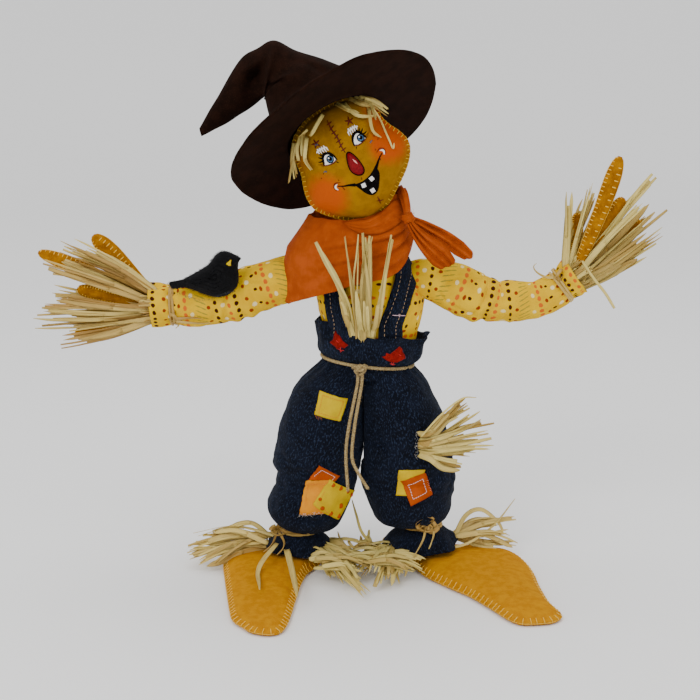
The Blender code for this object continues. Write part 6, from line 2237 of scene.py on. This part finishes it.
def build_leg(side):
    rings, heights = leg_rings(side)
    cut = int(np.argmin(np.abs(heights - SPLIT)))
    whole = Shape().net(rings)
    halves = {"thigh": rings[:cut + 1], "shin": rings[cut:]}
    girths = np.linalg.norm(np.diff(np.concatenate((rings, rings[:, :1]), axis=1), axis=1), axis=2).sum(1)
    ups = np.linalg.norm(np.diff(rings, axis=0), axis=2).mean(1)
    far = np.concatenate(((0,), np.cumsum(ups)))
    # normals of the whole leg, so that the split between the two pieces doesn't show
    around = np.roll(rings, -1, axis=1) - np.roll(rings, 1, axis=1)
    down = np.gradient(rings, axis=0)
    normals = np.cross(around, down)
    centre = rings.mean(1, keepdims=True)
    flip = np.sign((normals * (rings - centre)).sum(2).mean())
    normals = normals * flip / np.maximum(np.linalg.norm(normals, axis=2), 1e-12)[:, :, None]
    step = girths.mean() / rings.shape[1]
    for name, rows in halves.items():
        first = 0 if name == "thigh" else cut
        shape = Shape()
        count, across = rows.shape[:2]
        faces, uvs = [], []
        for r in range(count - 1):
            for c in range(across):
                d = (c + 1) % across
                corner = ((c, r), (c + 1, r), (c + 1, r + 1), (c, r + 1))
                face = (r * across + c, r * across + d, (r + 1) * across + d, (r + 1) * across + c)
                uv = tuple((u * step, far[first + v]) for u, v in corner)
                faces.append(face[::-1])
                uvs.append(uv[::-1])
        shape.add(rows, faces, uvs)
        bodies = hip_blend(side) if name == "thigh" else knee_blend(side)
        made = emit(
            f"{side}_trouser_{name}_cloth", shape, DENIM, blend=bodies,
            replaces=(f"{side}_trouser_{name}",), slot="denim", outward=False,
        )
        mesh = made.data
        test = mesh.polygons[len(mesh.polygons) // 2]
        i = test.vertices[0]
        if np.dot(np.array(test.normal), normals[first:first + count].reshape(-1, 3)[i]) < 0:
            mesh.flip_normals()
        mesh.normals_split_custom_set_from_vertices(normals[first:first + count].reshape(-1, 3).tolist())
    return whole


def emit_all(name, blend, replaces, pieces):
    """The pieces of one patch, the first of which stands for the patch of the frame."""
    for k, (suffix, shape, look, slot) in enumerate(pieces):
        emit(f"{name}_{suffix}", shape, look, blend=blend, replaces=() if k else replaces, slot=slot)


def build_leg_patches(legs):
    right, left = Skin(legs["right"]), Skin(legs["left"])

    cloth, stitch = Shape(), Shape()
    at = patch(
        cloth, right, ((-0.0299, 0.1469), (-0.0083, 0.1406), (-0.0020, 0.1595), (-0.0254, 0.1668)), 0.0006, seed=1,
        crease=0.0004,
    )
    running_stitches(stitch, at, ((0.13, 0.14), (0.86, 0.12), (0.88, 0.86), (0.14, 0.88), (0.13, 0.14)), pitch=0.0018)
    for k in range(5):
        p = at(0.05 + 0.05 * k, 0.0)
        hair(stitch, p, (-0.4 + 0.12 * k, -0.5, -1.0), 0.0030 + 0.0010 * (k % 3), 0.00014, 0.5, bend=(0.001, 0, 0.0004))
    emit_all("right_thigh_patch", hip_blend("right"), ("right_thigh_patch",), (
        ("cloth", cloth, YELLOW_CLOTH, "patch_cotton"), ("thread", stitch, RUST_THREAD, "patch_cotton"),
    ))

    # the figure's right knee: three patches, one over another
    rust, amber, dotted, stitch, white = Shape(), Shape(), Shape(), Shape(), Shape()
    at = patch(
        rust, right, ((-0.0352, 0.0890), (-0.0182, 0.0815), (-0.0090, 0.0912), (-0.0264, 0.1028)), 0.0006, seed=2,
        crease=0.0006,
    )
    running_stitches(
        white, at, ((0.12, 0.30), (0.20, 0.86), (0.84, 0.84), (0.86, 0.40), (0.60, 0.25)), pitch=0.0019, radius=0.00020,
    )
    at = patch(
        amber, right, ((-0.0430, 0.0587), (-0.0123, 0.0585), (-0.0150, 0.0889), (-0.0373, 0.0889)), 0.0014, seed=3,
        crease=0.0007, ragged=0.0008,
    )
    running_stitches(stitch, at, ((0.12, 0.10), (0.10, 0.88), (0.90, 0.90)), pitch=0.0021)
    at = patch(
        dotted, right, ((-0.0320, 0.0672), (-0.0113, 0.0495), (0.0025, 0.0740), (-0.0177, 0.0900)), 0.0022, seed=4,
        crease=0.0005, ragged=0.0004,
    )
    running_stitches(stitch, at, ((0.10, 0.60), (0.10, 0.10), (0.60, 0.08)), pitch=0.0021)
    dots = Shape()
    for s, t, size in (
        (0.18, 0.92, 0.0019), (0.46, 0.93, 0.0021), (0.74, 0.92, 0.0021), (0.93, 0.86, 0.0018), (0.80, 0.42, 0.0024),
        (0.91, 0.12, 0.0020), (0.62, 0.09, 0.0021), (0.32, 0.10, 0.0019), (0.10, 0.30, 0.0016),
    ):
        centre = at(s, t)
        rows = []
        for share, high in ((1.0, -0.0006), (1.0, 0.00040), (0.6, 0.00048), (0.1, 0.00050)):
            rows.append([centre + FRONT * high + vec(math.cos(a), 0, math.sin(a)) * size * share for a in circle(20)])
        dots.net(rows, caps=(True, True))
    rng = random.Random(31)
    for k in range(34):
        x = -0.0430 + 0.0230 * rng.random()
        p = right.front(x, 0.0592 + rng.uniform(-0.001, 0.0015), 0.0016)
        hair(
            white, p, (rng.uniform(-0.8, 0.8), -0.4, -1), rng.uniform(0.0016, 0.0042), 0.00011, rng.random(),
            bend=(rng.uniform(-0.002, 0.002), 0, 0.001),
        )
    emit_all("right_knee_patch", knee_blend("right"), ("right_knee_patches",), (
        ("rust", rust, RUST_CLOTH, "orange_cotton"), ("amber", amber, AMBER_CLOTH, "orange_cotton"),
        ("dotted", dotted, YELLOW_CLOTH, "patch_cotton"), ("dots", dots, RUST_CLOTH, "orange_cotton"),
        ("thread", stitch, RUST_THREAD, "orange_cotton"), ("white_thread", white, WHITE_THREAD, "twine"),
    ))

    yellow, rust, white = Shape(), Shape(), Shape()
    patch(
        yellow, left, ((0.0394, 0.0752), (0.0597, 0.0752), (0.0639, 0.0984), (0.0415, 0.0984)), 0.0006, seed=5,
        crease=0.0005,
    )
    at = patch(
        rust, left, ((0.0522, 0.0656), (0.0702, 0.0752), (0.0643, 0.0957), (0.0437, 0.0884)), 0.0014, seed=6,
        crease=0.0005,
    )
    running_stitches(
        white, at, ((0.20, 0.22), (0.80, 0.20), (0.82, 0.80), (0.20, 0.80), (0.20, 0.22)), pitch=0.0021, radius=0.00024,
    )
    for k in range(6):
        p = at(0.95, 0.2 + 0.1 * k)
        hair(white, p, (1, -0.3, rng.uniform(-0.6, 0.4)), rng.uniform(0.001, 0.0022), 0.0001, 0.5)
    emit_all("left_knee_patch", knee_blend("left"), ("left_knee_patches",), (
        ("yellow", yellow, YELLOW_CLOTH, "patch_cotton"), ("rust", rust, RUST_CLOTH, "orange_cotton"),
        ("thread", white, WHITE_THREAD, "twine"),
    ))


def build_ankle_tie(side):
    rng = random.Random(90 + len(side))
    shape = Shape()
    x0, x1 = (-0.0600, -0.0290) if side == "right" else (0.0470, 0.0790)
    centre = vec((x0 + x1) / 2, 0, LEG_TIE[side])
    wrapped_tie(shape, centre, vec(1, 0, 0), (x1 - x0) / 2 + 0.0014, rng, wraps=2, width=0.0015)
    if side == "right":
        knot = vec(-0.0640, -0.0130, 0.0375)
        tails = (
            ((0, 0, 0), (0.0120, -0.0090, -0.0010), (0.0240, -0.0120, -0.0020)),
            ((0, 0, 0), (-0.0040, -0.0060, -0.0110), (-0.0120, -0.0080, -0.0190)),
            ((0, 0, 0), (0.0060, -0.0070, -0.0120), (0.0000, -0.0130, -0.0200)),
            ((0, 0, 0), (0.0150, -0.0080, 0.0015), (0.0290, -0.0120, -0.0015)),
        )
    else:
        knot = vec(0.0660, -0.0250, 0.0462)
        tails = (
            ((0, 0, 0), (-0.0030, -0.0060, -0.0120), (-0.0100, -0.0110, -0.0240), (-0.0165, -0.0160, -0.0335)),
            ((0, 0, 0), (-0.0070, 0.0010, -0.0060), (-0.0180, 0.0070, -0.0065)),
            ((0.004, 0, 0), (0.0060, -0.0050, -0.0080), (0.0020, -0.0090, -0.0200)),
        )
    for k in range(7):
        a = 2 * math.pi * k / 7 + rng.uniform(-0.3, 0.3)
        r = rng.uniform(0.0040, 0.0068) * (1.45 if side == "left" else 1.0)
        loop = [
            knot, knot + vec(math.cos(a) * r, -0.0030 - 0.0015 * rng.random(), math.sin(a) * r * 0.75),
            knot + vec(math.cos(a + 0.9) * r * 1.15, -0.0035, math.sin(a + 0.9) * r * 0.8),
            knot + vec(math.cos(a + 1.6) * r * 0.4, -0.0015, math.sin(a + 1.6) * r * 0.4),
        ]
        ribbon(
            shape, smooth(loop, 22), rng.uniform(0.0026, 0.0042), vec(math.cos(a), -0.6, math.sin(a)),
            rng.uniform(0.0, 0.5), twist=rng.uniform(-2, 2), curl=0.8, ends=(0.7, 0.6),
        )
    for tail in tails:
        ribbon(
            shape, smooth(knot + np.array(tail), 24), 0.0025, FRONT, rng.uniform(0.1, 0.6), twist=2.0, curl=0.7,
            ends=(0.8, 0.4),
        )
    emit(f"{side}_ankle_tie_raffia", shape, TAN_STRAW, f"{side}_shin", replaces=(f"{side}_ankle_tie",), slot="straw")


def build_thigh_straw(legs):
    rng = random.Random(51)
    skin = Skin(legs["left"])
    shape = Shape()
    tips = (
        (0.0880, 0.1620), (0.1017, 0.1640), (0.1110, 0.1600), (0.1242, 0.1457), (0.1200, 0.1360), (0.1238, 0.1254),
        (0.1140, 0.1100), (0.1090, 0.0952),
    )
    for n in range(19):
        s = (n + rng.random()) / 19
        x, z = between(tips, s)
        rz = 0.1300 - 0.0190 * s + rng.uniform(-0.001, 0.001)
        rx = 0.0575 + 0.0015 * s + rng.uniform(-0.001, 0.002)
        root = skin.front(rx, rz, -0.0010)
        lead = root + vec(0.010, -0.0060 - 0.003 * rng.random(), (z - rz) * 0.10)
        tip = root + (vec(x, -0.0520 + rng.uniform(-0.008, 0.010), z) - root) * rng.choice((1.0, 0.95, 0.85, 0.72))
        bend = scatter(rng) * 0.0028
        leaf(
            shape, rng, (root, lead, (lead + tip) / 2 + bend, tip), rng.uniform(0.0034, 0.0060),
            splits=rng.choice((1, 2, 2)),
        )
    bow = smooth(
        ((0.0600, -0.0420, 0.1290), (0.0760, -0.0500, 0.1500), (0.0930, -0.0540, 0.1650), (0.1050, -0.0540, 0.1660)),
        26,
    )
    ribbon(shape, bow, 0.0016, FRONT, 0.9, twist=0.8, ends=(0.9, 0.4))
    emit("left_thigh_straw_strands", shape, PALE_STRAW, "left_thigh", replaces=("left_thigh_straw",), slot="straw")
    fray = Shape()
    for _ in range(70):
        p = skin.front(0.0570 + rng.uniform(-0.0015, 0.0012), 0.1200 + rng.uniform(-0.0115, 0.0115), 0.0004)
        hair(
            fray, p, (rng.uniform(-1, 0.6), -0.6, rng.uniform(-1, 1)), rng.uniform(0.0008, 0.0022), 0.0001,
            rng.random(),
        )
    emit("left_thigh_slit_fray", fray, WHITE_THREAD, "left_thigh", slot="denim")


# ------------------------------------------------------------------ feet
SOLE = {
    "right": (
        (-0.1112, -0.0074), (-0.1071, -0.0416), (-0.1015, -0.0825), (-0.0967, -0.1155), (-0.0925, -0.1365),
        (-0.0838, -0.1493), (-0.0771, -0.1585), (-0.0649, -0.1635), (-0.0560, -0.1605), (-0.0517, -0.1467),
        (-0.0488, -0.1208), (-0.0467, -0.0937), (-0.0437, -0.0594), (-0.0385, -0.0294), (-0.0296, -0.0100),
        (-0.0262, 0.0060), (-0.0330, 0.0210), (-0.0480, 0.0290), (-0.0660, 0.0310), (-0.0850, 0.0280),
        (-0.1010, 0.0190), (-0.1095, 0.0070),
    ),
    "left": (
        (0.0571, -0.0143), (0.0660, -0.0360), (0.0852, -0.0627), (0.1009, -0.0828), (0.1171, -0.1110),
        (0.1272, -0.1310), (0.1364, -0.1420), (0.1487, -0.1424), (0.1625, -0.1390), (0.1700, -0.1300),
        (0.1688, -0.1190), (0.1635, -0.1000), (0.1600, -0.0634), (0.1590, -0.0333), (0.1550, -0.0060), (0.1450, 0.0160),
        (0.1280, 0.0260), (0.1060, 0.0310), (0.0850, 0.0335), (0.0660, 0.0310), (0.0520, 0.0220), (0.0472, 0.0080),
        (0.0500, -0.0040),
    ),
}


SOLE_STITCHES = 78
SOLE_SEAM = 0.965  # the outline's share at which the foot's two pieces of felt meet


def build_foot(side):
    outline = smooth(SOLE[side], 300, True)
    tangent = np.roll(outline, -1, axis=0) - np.roll(outline, 1, axis=0)
    normal = np.stack((tangent[:, 1], -tangent[:, 0]), axis=1)
    normal /= np.linalg.norm(normal, axis=1)[:, None]
    if (normal * (outline - outline.mean(0))).sum() < 0:
        normal = -normal
    middle = outline.mean(0)
    gather = np.cos(np.linspace(0, 2 * math.pi * SOLE_STITCHES, len(outline), endpoint=False))
    rows = []
    seed = 3 if side == "right" else 5

    def tall(y):
        share = min(1, max(0, (0.02 - y) / 0.17))
        return 0.0165 + (0.0090 - 0.0165) * share

    def ring(scale, grow, height):
        points = []
        for q, n, g in zip(outline, normal, gather):
            flat = middle + (q - middle) * scale * SOLE_SEAM + n * (grow - 0.00025 * g * (1 if grow else 0))
            z = height
            if height is None:
                s = scale
                lift = (1 - s**2.6) ** 0.5
                z = 0.0040 + (tall(flat[1]) - 0.0040) * lift
                z += 0.0009 * wobble((flat[0], flat[1], 0), 48, seed) * lift + 0.0003 * g * math.exp(-(1 - s) / 0.03)
                z += -0.0011 * hump(flat[0] - middle[0] - 0.004, 0.008) * lift * hump(flat[1] + 0.04, 0.05)
            points.append(vec(*flat, z))
        rows.append(points)

    for scale, height in ((0.08, 0.0004), (0.5, 0.0003), (0.9, 0.0003)):
        ring(scale, 0.0, height)
    ring(1.0, 0.0004, 0.0006)
    for grow, height in (
        (0.0016, 0.0011), (0.0021, 0.0017), (0.0019, 0.0024), (0.0021, 0.0031), (0.0016, 0.0038), (0.0004, 0.0040),
    ):
        ring(1.0, grow, height)
    for scale in (0.995, 0.975, 0.945, 0.90, 0.84, 0.76, 0.66, 0.54, 0.42, 0.30, 0.18, 0.07):
        ring(scale, 0.0, None)
    shape = Shape().net(rows, caps=(True, True))
    made = emit(f"{side}_foot_felt", shape, GOLD_FELT, f"{side}_foot", replaces=(f"{side}_foot",), slot="gold_felt")
    skin = Skin(shape)
    threads = Shape()
    step = len(outline) / SOLE_STITCHES
    for k in range(SOLE_STITCHES):
        i, j = int(k * step) % len(outline), int((k + 1) * step) % len(outline)
        q, n = outline[i], normal[i]
        base = middle + (q - middle) * SOLE_SEAM
        top = []
        for inward in (-0.0022, -0.0012, 0.0):
            spot = base + n * inward
            p = vec(spot[0], spot[1], 0.05)
            top.append(skin.cast(p, (0, 0, -1), 0.00026 if inward > -0.0020 else -0.0001))
        outer = [vec(*(base + n * g), z) for g, z in ((0.0018, 0.0040), (0.0023, 0.0028), (0.0023, 0.0018))]
        thread(threads, [*top, *outer], 0.00036, facing=(0.1, 0.2, 1))
        q2, n2 = outline[j], normal[j]
        base2 = middle + (q2 - middle) * SOLE_SEAM
        thread(
            threads, [vec(*(base + n * 0.0024), 0.0024), vec(*(base2 + n2 * 0.0024), 0.0024)], 0.00022,
            facing=(0, 0, 1),
        )
    emit(f"{side}_foot_stitches", threads, PALE_THREAD, f"{side}_foot", slot="gold_felt")
    return skin


FOOT_STRAW = {
    "right": {
        "root": (-0.0740, 0.0020, 0.0225), "spread": 0.010, "count": 19,
        "tips": (
            (-0.1240, 0.0060, 0.0300), (-0.1380, 0.0150, 0.0240), (-0.1540, 0.0080, 0.0200), (-0.1560, -0.0040, 0.0120),
            (-0.1530, -0.0160, 0.0060), (-0.1420, -0.0260, 0.0030), (-0.1270, -0.0340, 0.0020),
            (-0.1350, 0.0340, 0.0100),
        ),
        "single": (
            (
                0.0042, (-0.0636, -0.0200, 0.0260), (-0.0750, -0.0480, 0.0200), (-0.0783, -0.0640, 0.0150),
                (-0.0745, -0.1000, 0.0150),
            ),
            (
                0.0058, (-0.0551, -0.0280, 0.0230), (-0.0500, -0.0600, 0.0180), (-0.0483, -0.0731, 0.0160),
                (-0.0435, -0.1150, 0.0150),
            ),
        ),
        "cuff": (-0.0270, -0.0060, 0.0190), "heap": (-0.0300, 0.0200),
        "ends": (
            (-0.0200, -0.0420), (-0.0100, -0.0620), (0.0072, -0.0820), (0.0165, -0.1010), (0.0250, -0.0780),
            (0.0220, -0.0300), (0.0180, -0.0050),
        ),
    },
    "left": {
        "root": (0.0960, 0.0120, 0.0230), "spread": 0.002, "count": 9,
        "tips": (
            (0.1300, 0.0000, 0.0050), (0.1500, 0.0100, 0.0100), (0.1640, 0.0180, 0.0150), (0.1600, 0.0300, 0.0340),
            (0.1400, 0.0300, 0.0300), (0.1280, 0.0400, 0.0260),
        ),
        "single": (
            (0.0030, (0.0560, -0.0230, 0.0200), (0.0500, -0.0350, 0.0120), (0.0470, -0.0470, 0.0060)),
            (0.0026, (0.0450, -0.0200, 0.0180), (0.0400, -0.0400, 0.0080), (0.0420, -0.0560, 0.0030)),
        ),
        "cuff": (0.0400, -0.0080, 0.0190), "heap": (0.0000, 0.0440),
        "ends": (
            (0.0480, -0.0480), (0.0400, -0.0660), (0.0285, -0.0860), (0.0120, -0.0780), (0.0020, -0.0420),
            (-0.0050, -0.0200), (0.0040, 0.0000),
        ),
    },
}
FOOT_RAY = 0.08
HEAP_LEAVES = 50


def build_floor_straw(side, foot):
    """Straw round the ankle, and the heap that spills from the cuff between the feet."""
    rng = random.Random(70 + len(side))
    shape, pile = Shape(), Shape()
    plan = FOOT_STRAW[side]

    def down(p, clearance=0.0016):
        hit = foot.tree.ray_cast(Vector((p[0], p[1], FOOT_RAY)), Vector((0, 0, -1)))[0]
        ground_z = (hit[2] if hit is not None else 0.0) + clearance
        return vec(p[0], p[1], max(p[2], ground_z))

    root = vec(*plan["root"])
    for n in range(plan["count"]):
        tip = between(plan["tips"], (n + rng.random()) / plan["count"])
        reach = rng.choice((1.0, 0.97, 0.9, 0.8))
        a = root + vec(rng.uniform(-0.004, plan["spread"]), rng.uniform(-0.011, 0.012), rng.uniform(-0.006, 0.004))
        b = root + (tip - root) * reach
        mid = (a + b) / 2 + vec(rng.uniform(-1, 1) * 0.005, rng.uniform(-1, 1) * 0.005, rng.uniform(-0.002, 0.010))
        route = [down(p) for p in smooth([a, mid, b], 9)]
        leaf(
            shape, rng, route, rng.uniform(0.0040, 0.0068), facing=(0.10, -0.8, 0.8), splits=rng.choice((1, 2, 2)),
            tone=rng.uniform(0.35, 1),
        )
    if side == "left":
        loop = (
            (0.0930, 0.0060, 0.0230), (0.1040, 0.0150, 0.0400), (0.1180, 0.0220, 0.0430), (0.1330, 0.0280, 0.0300),
            (0.1380, 0.0290, 0.0215),
        )
        ribbon(shape, smooth(loop, 30), 0.0042, (0, -1, 0.3), 0.8, twist=0.8, curl=0.4, ends=(0.9, 0.9))
        long_one = (
            (0.0820, -0.0120, 0.0180), (0.1050, -0.0020, 0.0200), (0.1300, 0.0180, 0.0300), (0.1500, 0.0330, 0.0500),
        )
        ribbon(shape, smooth(long_one, 30), 0.0026, (0, -1, 0.5), 0.7, twist=1.2, ends=(0.9, 0.4))
    for width, *single in plan["single"]:
        ribbon(
            shape, [down(p, 0.0012) for p in smooth(single, 16)], width, (0, -0.6, 1), 0.75, twist=0.7, curl=0.5,
            ends=(0.9, 0.3),
        )

    cuff = vec(*plan["cuff"])
    for n in range(HEAP_LEAVES):
        x, y = between(plan["ends"], (n + rng.random()) / HEAP_LEAVES)
        a = cuff + vec(rng.uniform(-0.010, 0.008), rng.uniform(-0.012, 0.010), rng.uniform(-0.006, 0.003))
        b = cuff + (vec(x, y, rng.uniform(0.001, 0.008)) - cuff) * rng.choice((1.0, 0.9, 0.75))
        if n % 2:  # every other leaf lies across the heap
            a = a + (b - a) * 0.5 + vec(-0.016, 0.004, 0.004) + vec(rng.uniform(-1, 1), rng.uniform(-1, 1), 0) * 0.006
            b = a + vec(rng.uniform(0.026, 0.046), rng.uniform(-0.024, 0.012), rng.uniform(-0.006, 0.003))
        mid = (a + b) / 2 + vec(rng.uniform(-1, 1) * 0.0035, rng.uniform(-1, 1) * 0.0035, rng.uniform(0.001, 0.007))
        route = [down(p) for p in smooth([a, mid, b], 10)]
        leaf(
            pile, rng, route, rng.uniform(0.0028, 0.0056), facing=(rng.uniform(-0.3, 0.3), -0.8, 1),
            splits=rng.choice((1, 2, 2)), points=14, tone=rng.uniform(0.25, 1),
        )
    for _ in range(5):
        a = vec(rng.uniform(*plan["heap"]), rng.uniform(-0.01, 0.02), 0.012)
        b = a + vec(rng.uniform(-1, 1) * 0.022, rng.uniform(0, 0.02), rng.uniform(0.002, 0.010))
        strand(pile, rng, a, b, rng.uniform(0.0016, 0.0030), bow=0.003)
    if side == "left":
        rising = (
            (0.0300, 0.0020, 0.0100), (0.0121, -0.0050, 0.0295), (0.0060, -0.0050, 0.0480), (0.0019, -0.0050, 0.0614),
        )
        ribbon(pile, smooth(rising, 26), 0.0032, FRONT, 0.9, twist=1.0, curl=0.5, ends=(0.9, 0.3))
    emit(
        f"{side}_ankle_straw_strands", shape, TAN_STRAW, f"{side}_foot", replaces=(f"{side}_ankle_straw",),
        slot="straw",
    )
    emit(f"{side}_foot_straw_strands", pile, PALE_STRAW, f"{side}_foot", replaces=(f"{side}_foot_straw",), slot="straw")


for side in ("right", "left"):
    build_sleeve(side)
    build_hand(side)
    build_hand_straw(side)
    build_wrist_tie(side)
build_crow()
legs = {}
for side in ("right", "left"):
    legs[side] = build_leg(side)
    build_ankle_tie(side)
build_leg_patches(legs)
build_thigh_straw(legs)
feet = {side: build_foot(side) for side in ("right", "left")}
for side, foot in feet.items():
    build_floor_straw(side, foot)


# ------------------------------------------------------------------ metal parts that stay
for name, node in frame["nodes"].items():
    if name.endswith("_wire"):
        node.data.materials.clear()
        node.data.materials.append(STEEL)

# ------------------------------------------------------------------ studio
rings = [(0.02, 0), (1.2, 0), (3.0, 0)] + [
    (3.0 + 1.4 * math.sin(a), 1.5 * (1 - math.cos(a))) for a in np.linspace(0.12, 1.5, 14)
]
bowl = [(r * math.cos(a), r * math.sin(a), z) for r, z in rings for a in circle(64)]
sides = [
    (k * 64 + i, k * 64 + (i + 1) % 64, (k + 1) * 64 + (i + 1) % 64, (k + 1) * 64 + i)
    for k in range(len(rings) - 1)
    for i in range(64)
]
floor_mesh = bpy.data.meshes.new("floor")
floor_mesh.from_pydata(bowl, [], [*sides, tuple(range(64))[::-1]])
floor_mesh.shade_smooth()
floor = bpy.data.objects.new("floor", floor_mesh)
bpy.context.scene.collection.objects.link(floor)
floor.location.z = CAD_BOX[0][2] - 0.0002
ground = Look("pale_floor", roughness=0.85, specular=0.1)
floor_mesh.materials.append(ground.done(
    ground.mix(
        ground.ramp(ground.node("ShaderNodeTexNoise", {"Scale": 3.0}).outputs["Fac"], 0.3, 0.7), (0.93, 0.93, 0.93),
        (0.95, 0.95, 0.95),
    )
))

world = bpy.data.worlds.new("studio")
world.use_nodes = True
world.node_tree.nodes["Background"].inputs["Color"].default_value = (1.0, 1.0, 1.0, 1)
world.node_tree.nodes["Background"].inputs["Strength"].default_value = 1.05
bpy.context.scene.world = world


def light(name, at, aim, size, power):
    made = bpy.data.objects.new(name, bpy.data.lights.new(name, "AREA"))
    made.data.shape = "RECTANGLE"
    made.data.size = size[0]
    made.data.size_y = size[1]
    made.data.energy = power
    made.location = at
    made.rotation_euler = (Vector(aim) - Vector(at)).to_track_quat("-Z", "Y").to_euler()
    bpy.context.scene.collection.objects.link(made)


light("key", (-0.9, -1.5, 1.5), (0, 0, 0.22), (0.9, 0.7), 17)
light("fill", (1.5, -1.2, 0.9), (0, 0, 0.22), (1.0, 1.0), 4)
light("top", (0.1, 0.3, 1.7), (0, 0, 0.2), (1.0, 0.8), 6)
